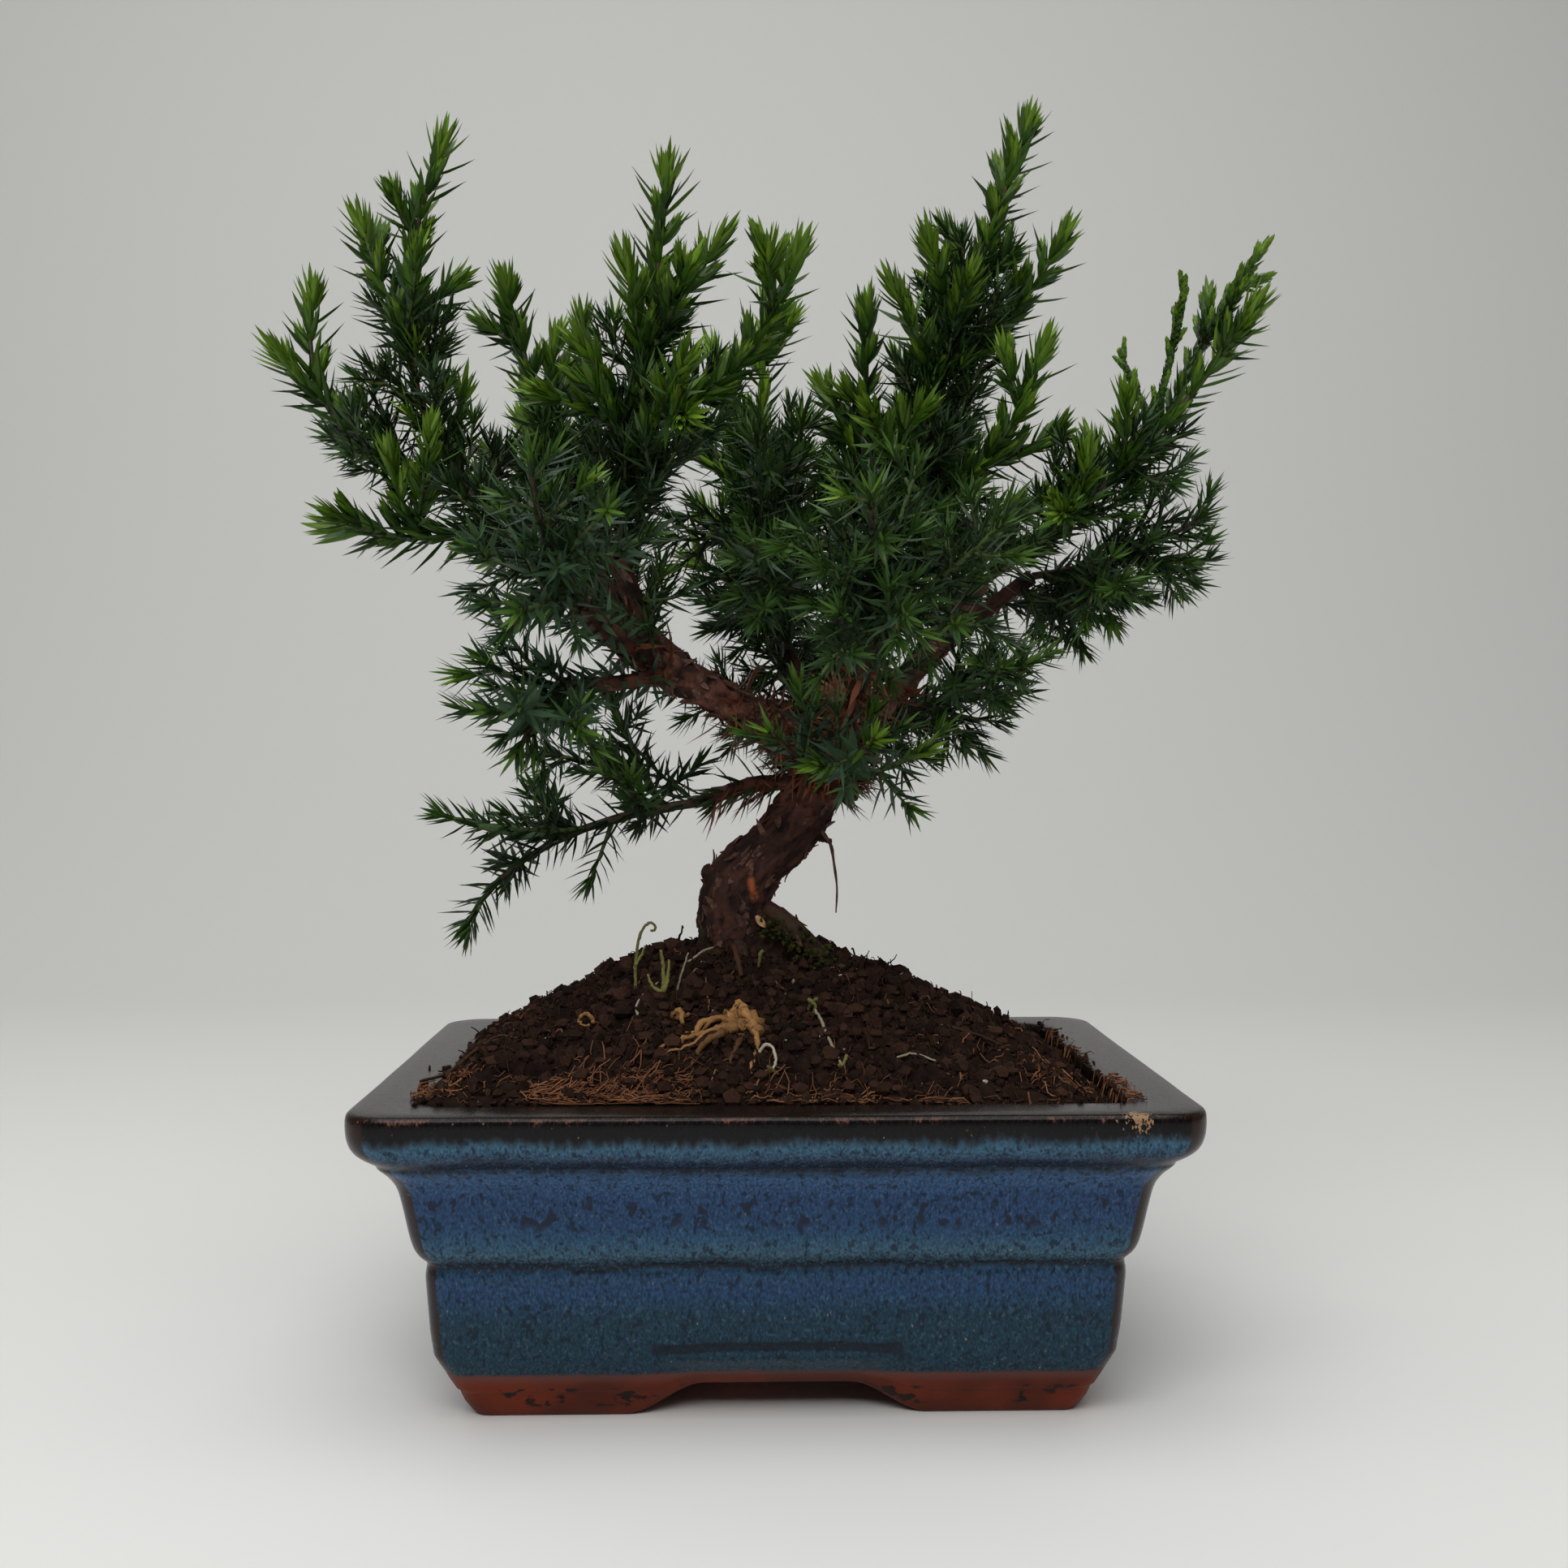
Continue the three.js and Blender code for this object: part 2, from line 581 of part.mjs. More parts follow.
// Limbs: the trunk's line is smoothed through its bends, and each bough's is one bent line.
function layOutLimbs() {
  const bends = TRUNK.points.map((p) => new THREE.Vector3(p.x, p.y, p.z));
  const steps = (bends.length - 1) * TRUNK.stepsBetween;
  const smooth = new THREE.CatmullRomCurve3(bends, false, 'catmullrom', 0.5);
  const trunk = {
    points: Array.from({ length: steps + 1 }, (_, i) => smooth.getPoint(i / steps)),
    radii: Array.from({ length: steps + 1 }, (_, i) => {
      const place = i / TRUNK.stepsBetween;
      const low = Math.min(Math.floor(place), bends.length - 2);
      return mix(TRUNK.points[low].r, TRUNK.points[low + 1].r, place - low);
    }),
  };
  const limbs = { trunk };
  for (const bough of BOUGHS) {
    const start = alongLine(limbs[bough.from], bough.at).point;
    limbs[bough.name] = {
      points: bentLine(start, vector(bough.bend), vector(bough.tip), BOUGH_STEPS),
      radii: Array.from({ length: BOUGH_STEPS + 1 }, (_, i) => mix(bough.base, bough.end, i / BOUGH_STEPS)),
    };
  }
  return limbs;
}

const limbs = layOutLimbs();

// Swelling of the root flare at an angle round the trunk and a height over its flat cut.
function rootSwell(angle, height) {
  return TRUNK.roots.reduce((sum, root) => {
    const turn = Math.atan2(Math.sin(angle - radians(root.azimuth)), Math.cos(angle - radians(root.azimuth)));
    return sum + root.swell * Math.exp(-((turn / radians(TRUNK.rootWidth)) ** 2) - height / TRUNK.rootHeight);
  }, 0);
}

// A line's points with its tip carried on by a margin.
function carriedOn(line, margin) {
  const points = line.points.map((p) => p.clone());
  points.at(-1).addScaledVector(directionsAlong(line.points).at(-1), margin);
  return points;
}

// The trunk grown all round by a margin. It starts below the ground and is cut off level there.
function trunkSolid(margin) {
  const ground = TRUNK.points[0].z;
  const [foot, next, ...rest] = carriedOn(limbs.trunk, margin);
  const centres = [foot.clone().lerp(next, -1), foot, foot.clone().lerp(next, 0.5), next, ...rest];
  const [footRadius, ...radii] = limbs.trunk.radii;
  const radiusAt = [footRadius, footRadius, mix(footRadius, radii[0], 0.5), ...radii];
  const grown = tube(centres, (i, angle) => (
    radiusAt[i] + margin + rootSwell(angle, Math.max(centres[i].z - ground, 0))
  ), TRUNK.sides);
  const below = new THREE.BoxGeometry(POT.halfLength, POT.halfDepth, ground).translate(0, 0, ground / 2);
  return solidOf(grown).subtract(solidOf(below));
}

// A bough grown all round by a margin.
function boughSolid(name, margin) {
  const line = limbs[name];
  return solidOf(tube(carriedOn(line, margin), (i) => line.radii[i] + margin, BOUGH_SIDES));
}

// Largest closed body of a solid, so that nothing loose is left.
function largestPiece(solid) {
  return solid.decompose().reduce((best, piece) => (piece.volume() > best.volume() ? piece : best));
}

// The limbs, each bough cut clear of what was made before it, and all of them grown by the gap.
function makeLimbs() {
  const solids = { trunk: trunkSolid(0) };
  let grown = trunkSolid(LIMB_MARGIN);
  for (const { name } of BOUGHS) {
    solids[name] = largestPiece(boughSolid(name, 0).subtract(grown));
    grown = grown.add(boughSolid(name, LIMB_MARGIN));
  }
  return { solids, grown };
}

// Leading shoots of a mass as tapering lines.
function layOutShoots(mass) {
  const shoots = [];
  for (const { on, at, bend, tip } of mass.shoots) {
    const parent = on === undefined ? limbs[mass.limb] : shoots[on];
    const { point, direction, radius } = alongLine(parent, on === undefined ? (mass.at ?? 1) : at);
    const end = vector(tip);
    const reach = end.distanceTo(point);
    const turn = bend ? vector(bend) : point.clone()
      .addScaledVector(direction, GROWTH.setOut * reach)
      .lerp(point.clone().lerp(end, 0.5), 0.5)
      .add(new THREE.Vector3(0, 0, -GROWTH.sag * reach));
    const base = Math.max(
      on === undefined ? Math.min(radius, GROWTH.thickestShoot) : GROWTH.shootShrink * radius,
      GROWTH.shootTipRadius,
    );
    shoots.push({
      points: bentLine(point, turn, end, GROWTH.samples),
      radii: Array.from({ length: GROWTH.samples + 1 }, (_, i) => (
        mix(base, GROWTH.shootTipRadius, i / GROWTH.samples)
      )),
      root: on === undefined ? base : GROWTH.rootShare * radius,
    });
  }
  return shoots;
}

const shootsOf = new Map(MASSES.map((mass) => [mass.name, layOutShoots(mass)]));

// Whether a straight twig or needle stays in the crown, in its mass's own space and off every limb.
function staysInSpace(mass, base, point) {
  const own = shootsOf.get(mass.name);
  return CROWN.containsPoint(point) && [0.35, 0.7, 1].every((share) => {
    const probe = base.clone().lerp(point, share);
    const toOwn = Math.max(0, Math.min(...own.map((line) => distanceToLine(probe, line))));
    return MASSES.every((other) => other === mass || shootsOf.get(other.name)
      .every((line) => distanceToLine(probe, line) >= toOwn + GROWTH.massRoom))
      && Object.values(limbs).every((line) => distanceToLine(probe, line) >= GROWTH.limbRoom);
  });
}

// Whether the outer part of a twig or needle keeps its distance from lines of its own mass.
function hasRoom(base, point, lines, room) {
  return [0.6, 1].every((share) => {
    const probe = base.clone().lerp(point, share);
    return lines.every((line) => distanceToLine(probe, line) > room);
  });
}

// Direction that leans out from a line at an angle round it.
function leaningOut(direction, turn, lean) {
  const [u, v] = acrossFrom(direction, anySide(direction));
  return direction.clone().multiplyScalar(Math.cos(lean))
    .addScaledVector(u, Math.sin(lean) * Math.cos(turn))
    .addScaledVector(v, Math.sin(lean) * Math.sin(turn));
}

// Side twigs of one shoot, each a short straight line that keeps clear of the mass's other lines.
function growTwigs(mass, shoot, lines, seed) {
  const random = randomFrom(seed);
  const length = lengthOf(shoot.points);
  const twigs = [];
  let turn = 360 * random();
  for (let s = GROWTH.twigStart; s < length - GROWTH.twigEnd; s += GROWTH.twigSpacing) {
    turn += GROWTH.goldenAngle;
    const share = s / length;
    const reach = mix(GROWTH.twigLong, GROWTH.twigShort, share) * mix(...GROWTH.twigReach, random());
    const lean = radians(GROWTH.twigLean + GROWTH.twigScatter * (2 * random() - 1));
    const { point, direction, radius } = alongLine(shoot, share);
    const out = leaningOut(direction, radians(turn), lean);
    const others = [...lines, ...twigs].filter((line) => line !== shoot);
    const fits = out.z > GROWTH.twigSteepest && GROWTH.twigTrims.find((part) => {
      const end = point.clone().addScaledVector(out, part * reach);
      return staysInSpace(mass, point, end) && hasRoom(point, end, others, GROWTH.twigRoom);
    });
    if (fits) {
      twigs.push({
        points: [point, point.clone().addScaledVector(out, fits * reach)],
        radii: [GROWTH.twigRadius, GROWTH.twigRadius],
        root: GROWTH.rootShare * radius,
      });
    }
  }
  return twigs;
}

// Where the whorls of needles stand on a line, from its tip back towards its root.
function whorlPlaces(length, first) {
  const places = [];
  for (let s = length - GROWTH.whorlEnd; s > first; s -= GROWTH.whorlSpacing) places.unshift(s);
  return places;
}

// Stations along a line: evenly over its bare foot, then the two ends of each whorl's collar.
function stationsOf(line, bareShare) {
  const length = lengthOf(line.points);
  const places = whorlPlaces(length, bareShare * length);
  const foot = places.length ? places[0] - GROWTH.collar / 2 : 0;
  const steps = Math.max(1, Math.round(foot / GROWTH.longestStep));
  const bare = Array.from({ length: steps }, (_, i) => foot * (i / steps));
  const collars = places.flatMap((s) => [s - GROWTH.collar / 2, s + GROWTH.collar / 2]);
  return { shares: [...bare, ...collars].map((s) => s / length), steps };
}

// Tip of a needle that is drawn out of a face, forwards along the shoot and outwards.
function needleTip([a, b, c], along, random) {
  const outward = b.clone().sub(a).cross(c.clone().sub(a)).normalize();
  const sideways = along.clone().cross(outward);
  const lean = radians(GROWTH.needleLean * mix(...GROWTH.needleLeanReach, random()));
  const spread = radians(GROWTH.needleSpread * (2 * random() - 1));
  const length = GROWTH.needleLength * mix(...GROWTH.needleReach, random());
  return a.clone().add(b).add(c).divideScalar(3)
    .addScaledVector(along, length * Math.cos(lean))
    .addScaledVector(outward, length * Math.sin(lean) * Math.cos(spread))
    .addScaledVector(sideways, length * Math.sin(lean) * Math.sin(spread));
}

// A slim core along a line that ends in a point, with needles drawn out of the faces at its whorls.
function needledShoot(mass, line, lines, random) {
  const others = lines.filter((other) => other !== line);
  const isTwig = line.points.length === 2;
  const { shares, steps } = stationsOf(line, isTwig ? GROWTH.bareTwig : GROWTH.bareShoot);
  let side = anySide(alongLine(line, 0).direction);
  const rings = shares.map((share, i) => {
    const { point, direction, radius: full } = alongLine(line, share);
    const radius = i === 0 ? line.root : full;
    const [u, v] = acrossFrom(direction, side);
    side = u;
    return [0, 1, 2].map((k) => point.clone()
      .addScaledVector(u, radius * Math.cos(k * 2 * Math.PI / 3))
      .addScaledVector(v, radius * Math.sin(k * 2 * Math.PI / 3)));
  });
  const faces = [[rings[0][0], rings[0][2], rings[0][1]]];
  rings.slice(1).forEach((ring, r) => {
    const { direction } = alongLine(line, shares[r + 1]);
    const inCollar = r >= steps && (r - steps) % 2 === 0;
    for (let k = 0; k < 3; k += 1) {
      const [a, b] = [rings[r][k], rings[r][(k + 1) % 3]];
      const [c, d] = [ring[(k + 1) % 3], ring[k]];
      for (const face of [[a, b, c], [a, c, d]]) {
        const foot = face[0].clone().add(face[1]).add(face[2]).divideScalar(3);
        const tip = inCollar ? needleTip(face, direction, random) : null;
        const grows = tip && staysInSpace(mass, foot, tip) && hasRoom(foot, tip, others, GROWTH.needleRoom);
        if (grows) faces.push([face[0], face[1], tip], [face[1], face[2], tip], [face[2], face[0], tip]);
        else faces.push(face);
      }
    }
  });
  const last = rings.at(-1);
  for (let k = 0; k < 3; k += 1) faces.push([last[k], last[(k + 1) % 3], line.points.at(-1)]);
  const position = faces.flat().flatMap((p) => [p.x, p.y, p.z]);
  return new THREE.BufferGeometry()
    .setAttribute('position', new THREE.Float32BufferAttribute(position, 3));
}

// One mass of foliage: shoots and side twigs fused into one solid and cut clear of the limbs.
function makeMass(mass, order, grownLimbs) {
  const lines = [...shootsOf.get(mass.name)];
  shootsOf.get(mass.name).forEach((shoot, index) => {
    lines.push(...growTwigs(mass, shoot, lines, SEEDS_PER_MASS * order + index));
  });
  const random = randomFrom(SEEDS_PER_MASS * (order + 1) - 1);
  const solids = lines.map((line) => solidOf(needledShoot(mass, line, lines, random)));
  return largestPiece(solids.reduce((all, solid) => all.add(solid)).subtract(grownLimbs));
}

const bonsai = new THREE.Group();

function addPiece(name, solid, finish) {
  const mesh = new THREE.Mesh(geometryOf(solid), new THREE.MeshStandardMaterial(finish));
  mesh.name = name;
  bonsai.add(mesh);
}

addPiece('pot', makePot(), FINISH.pot);
addPiece('soil', makeSoil(), FINISH.soil);
const { solids: limbSolids, grown: grownLimbs } = makeLimbs();
for (const [name, solid] of Object.entries(limbSolids)) addPiece(name, solid, FINISH.bark);
MASSES.forEach((mass, order) => addPiece(mass.name, makeMass(mass, order, grownLimbs), FINISH.foliage));

export default bonsai;
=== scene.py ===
"""Juniper bonsai in a glazed pot: its looks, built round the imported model.

Sizes are in millimetres, apart from what Blender's own objects are given in metres.
+Z is up, +X is to the right and +Y points away from the front of the pot.
"""

import logging
import math
from collections.abc import Iterable, Mapping, Sequence
from dataclasses import astuple, dataclass, field
from enum import Enum

import bmesh
import bpy
import numpy as np
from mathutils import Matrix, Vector
from mathutils.kdtree import KDTree


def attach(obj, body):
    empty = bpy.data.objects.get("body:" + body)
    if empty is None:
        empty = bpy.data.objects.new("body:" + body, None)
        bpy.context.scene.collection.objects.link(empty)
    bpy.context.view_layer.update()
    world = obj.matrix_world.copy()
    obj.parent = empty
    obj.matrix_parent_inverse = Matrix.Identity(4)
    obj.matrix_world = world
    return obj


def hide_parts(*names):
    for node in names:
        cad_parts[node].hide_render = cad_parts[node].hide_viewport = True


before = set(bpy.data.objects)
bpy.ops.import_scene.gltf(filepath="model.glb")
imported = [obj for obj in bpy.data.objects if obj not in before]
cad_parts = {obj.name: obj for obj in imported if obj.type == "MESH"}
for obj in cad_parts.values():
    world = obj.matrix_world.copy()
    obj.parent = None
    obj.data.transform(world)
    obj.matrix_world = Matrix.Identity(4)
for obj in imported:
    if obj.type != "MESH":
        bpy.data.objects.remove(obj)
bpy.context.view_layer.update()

log = logging.getLogger("bonsai")

MM = 0.001
BODY = "root"
LARGEST_PIECE = 190_000

Triple = tuple[float, float, float]
Colour = tuple[float, float, float, float]
Shape = tuple[np.ndarray, np.ndarray]


def colour(red: float, green: float, blue: float) -> Colour:
    """A colour as it looks on a screen, 0 to 255, turned into the shader's own numbers.

    Args:
        red: The red part.
        green: The green part.
        blue: The blue part.

    Returns:
        Linear red, green and blue with a full alpha.
    """
    parts = [v / 255 for v in (red, green, blue)]
    linear = [p / 12.92 if p < 0.04045 else ((p + 0.055) / 1.055) ** 2.4 for p in parts]
    return (linear[0], linear[1], linear[2], 1.0)


def mix(a: float, b: float, share: float) -> float:
    """The value at a share of the way from a to b."""
    return a + (b - a) * share


def unit(vectors: np.ndarray) -> np.ndarray:
    """Vectors of the same directions and of length one."""
    return vectors / np.maximum(np.linalg.norm(vectors, axis=-1, keepdims=True), 1e-9)


def smooth_step(low: float, high: float, values: np.ndarray) -> np.ndarray:
    """Zero below low, one above high and a soft rise between them."""
    t = np.clip((values - low) / (high - low), 0, 1)
    return t * t * (3 - 2 * t)


class Draws:
    """The seeded draws that the source's twigs are grown from."""

    FULL = 0xFFFFFFFF
    SPREAD = 2654435761
    FACTOR = 1664525
    STEP = 1013904223
    MIXER = 2246822519

    def __init__(self, seed: int) -> None:
        """Starts the row of draws that belongs to a seed."""
        self.state = ((seed + 1) * self.SPREAD) & self.FULL

    def next(self) -> float:
        """The next draw, evenly from 0 to 1."""
        self.state = (self.state * self.FACTOR + self.STEP) & self.FULL
        mixed = self.state ^ (self.state >> 15)
        mixed = (mixed * self.MIXER) & self.FULL
        mixed ^= mixed >> 13
        return mixed / (self.FULL + 1)


class Noise:
    """Smooth seeded noise in space, from about -1 to 1."""

    SIZE = 4096
    STRIDES = (73856093, 19349663, 83492791)
    LAYER_SHIFT = 17.3

    def __init__(self, seed: int) -> None:
        """Draws the table of the noise."""
        self.table = np.random.default_rng(seed).uniform(-1, 1, self.SIZE)

    def at(self, points: np.ndarray) -> np.ndarray:
        """The noise at each point.

        Args:
            points: Points whose unit is the size of one lump of the noise.

        Returns:
            One value for each point.
        """
        cell = np.floor(points).astype(np.int64)
        share = points - cell
        share = share * share * (3 - 2 * share)
        total = np.zeros(len(points))
        for corner in range(8):
            step = np.array([corner & 1, corner >> 1 & 1, corner >> 2 & 1])
            x, y, z = ((cell + step) * self.STRIDES).T
            place = (x ^ y ^ z) % self.SIZE
            weight = np.where(step, share, 1 - share).prod(axis=1)
            total += self.table[place] * weight
        return total

    def layered(self, points: np.ndarray, layers: int = 3, gain: float = 0.5) -> np.ndarray:
        """Several sizes of the noise on top of each other.

        Args:
            points: Points whose unit is the size of the largest lumps.
            layers: How many sizes there are, each half the last one.
            gain: How strong each size is beside the last one.

        Returns:
            One value for each point.
        """
        total = np.zeros(len(points))
        for layer in range(layers):
            total += gain**layer * self.at(points * 2**layer + self.LAYER_SHIFT * layer)
        return total


@dataclass(frozen=True)
class Layer:
    """One layer of a relief: the size of its lumps and its depth in millimetres."""

    size: float
    depth: float


# Shader nodes


class Value:
    """A number that comes out of a shader node, which Python's own arithmetic works on."""

    def __init__(self, shader: "Shader", socket: bpy.types.NodeSocket) -> None:
        """Wraps the socket of a node."""
        self.shader = shader
        self.socket = socket

    def _maths(self, operation: str, *operands: "Value | float") -> "Value":
        """The outcome of a Math node on these operands."""
        node = self.shader.node(
            "ShaderNodeMath", {"operation": operation}, dict(enumerate(operands))
        )
        return Value(self.shader, node.outputs[0])

    def __add__(self, other: "Value | float") -> "Value":
        """This plus the other."""
        return self._maths("ADD", self, other)

    __radd__ = __add__

    def __sub__(self, other: "Value | float") -> "Value":
        """This less the other."""
        return self._maths("SUBTRACT", self, other)

    def __rsub__(self, other: float) -> "Value":
        """The other less this."""
        return self._maths("SUBTRACT", other, self)

    def __mul__(self, other: "Value | float") -> "Value":
        """This times the other."""
        return self._maths("MULTIPLY", self, other)

    __rmul__ = __mul__

    def limited(self) -> "Value":
        """This kept between 0 and 1."""
        return self._maths("MINIMUM", self._maths("MAXIMUM", self, 0.0), 1.0)

    def rising(self, low: float, high: float) -> "Value":
        """0 below low, 1 above high and a soft rise between them."""
        node = self.shader.node(
            "ShaderNodeMapRange",
            {"interpolation_type": "SMOOTHSTEP"},
            {"Value": self, "From Min": low, "From Max": high},
        )
        return Value(self.shader, node.outputs["Result"])


Link = Value | bpy.types.NodeSocket | float | Sequence[float]


class Shader:
    """The nodes of one material."""

    def __init__(self, name: str) -> None:
        """Makes an empty material of that name."""
        self.material = bpy.data.materials.new(name)
        self.material.use_nodes = True
        self.tree = self.material.node_tree
        self.tree.nodes.clear()

    def node(
        self,
        kind: str,
        settings: Mapping[str, object] | None = None,
        sockets: Mapping[str | int, Link] | None = None,
    ) -> bpy.types.Node:
        """Makes a node.

        Args:
            kind: The node's type.
            settings: Its own settings, which are set first. "stops" holds the stops of a ramp.
            sockets: What goes into its sockets, by name or number: a value or a link.

        Returns:
            The node.
        """
        node = self.tree.nodes.new(kind)
        for name, setting in (settings or {}).items():
            if name == "stops":
                self._set_stops(node.color_ramp, setting)
            else:
                setattr(node, name, setting)
        for key, value in (sockets or {}).items():
            if isinstance(value, Value):
                value = value.socket
            if isinstance(value, bpy.types.NodeSocket):
                self.tree.links.new(value, node.inputs[key])
            else:
                node.inputs[key].default_value = value
        return node

    @staticmethod
    def _set_stops(ramp: bpy.types.ColorRamp, stops: Iterable[tuple[float, Colour]]) -> None:
        """Gives a ramp its stops."""
        for number, (place, tint) in enumerate(stops):
            stop = ramp.elements[number] if number < 2 else ramp.elements.new(place)
            stop.position = place
            stop.color = tint

    def place(self, stretch: Triple = (1, 1, 1)) -> bpy.types.NodeSocket:
        """The place on the object in millimetres, times a stretch along each axis."""
        where = self.node("ShaderNodeTexCoord").outputs["Object"]
        scale = tuple(s / MM for s in stretch)
        node = self.node("ShaderNodeVectorMath", {"operation": "MULTIPLY"}, {0: where, 1: scale})
        return node.outputs[0]

    def height(self) -> Value:
        """The height on the object in millimetres."""
        parts = self.node("ShaderNodeSeparateXYZ", None, {0: self.place()})
        return Value(self, parts.outputs["Z"])

    def noise(self, size: float, detail: float = 2.0, stretch: Triple = (1, 1, 1)) -> Value:
        """Noise from 0 to 1.

        Args:
            size: The size of its lumps in millimetres.
            detail: How many finer layers it has.
            stretch: How much denser it is along each axis.

        Returns:
            The noise.
        """
        node = self.node(
            "ShaderNodeTexNoise",
            None,
            {"Vector": self.place(stretch), "Scale": 1 / size, "Detail": detail},
        )
        return Value(self, node.outputs["Fac"])

    def mark(self, name: str) -> Value:
        """A number that the mesh keeps at each corner."""
        node = self.node("ShaderNodeAttribute", {"attribute_name": name})
        return Value(self, node.outputs["Fac"])

    def each_its_own(self) -> Value:
        """A number from 0 to 1 that differs from one loose piece of the mesh to the next."""
        node = self.node("ShaderNodeNewGeometry")
        return Value(self, node.outputs["Random Per Island"])

    def ramp(self, value: Link, stops: Iterable[tuple[float, Colour]]) -> bpy.types.NodeSocket:
        """The colour of a ramp at a value from 0 to 1."""
        node = self.node("ShaderNodeValToRGB", {"stops": stops}, {"Fac": value})
        return node.outputs["Color"]

    def blend(
        self, share: Link, first: Link, second: Link, way: str = "MIX"
    ) -> bpy.types.NodeSocket:
        """A colour at a share of the way from the first to the second, mixed in the way named."""
        settings = {"data_type": "RGBA", "blend_type": way}
        node = self.node("ShaderNodeMix", settings, {"Factor": share, 6: first, 7: second})
        return node.outputs[2]

    def shade(self, tint: Link, factor: Value) -> bpy.types.NodeSocket:
        """A colour made lighter or darker by a factor."""
        grey = self.node("ShaderNodeCombineXYZ", None, {0: factor, 1: factor, 2: factor})
        return self.blend(1.0, tint, grey.outputs[0], "MULTIPLY")

    def bump(self, height: Value, depth: float, strength: float = 1.0) -> bpy.types.NodeSocket:
        """A normal bent by a relief.

        Args:
            height: The relief from 0 to 1.
            depth: How deep the relief is, in millimetres.
            strength: How much of it shows.

        Returns:
            The normal.
        """
        sockets = {"Height": height, "Distance": depth * MM, "Strength": strength}
        node = self.node("ShaderNodeBump", None, sockets)
        return node.outputs["Normal"]

    def surface(
        self, tint: Link, roughness: Link, gloss: float = 0.5, normal: Link | None = None
    ) -> bpy.types.Material:
        """Closes the material with its surface.

        Args:
            tint: Its colour.
            roughness: How rough it is, from 0 to 1.
            gloss: How strong its reflections are.
            normal: The normal bent by its relief, where it has one.

        Returns:
            The finished material.
        """
        sockets = {"Base Color": tint, "Roughness": roughness, "Specular IOR Level": gloss}
        if normal is not None:
            sockets["Normal"] = normal
        bsdf = self.node("ShaderNodeBsdfPrincipled", None, sockets)
        self.node("ShaderNodeOutputMaterial", None, {"Surface": bsdf.outputs[0]})
        return self.material


# Finishes


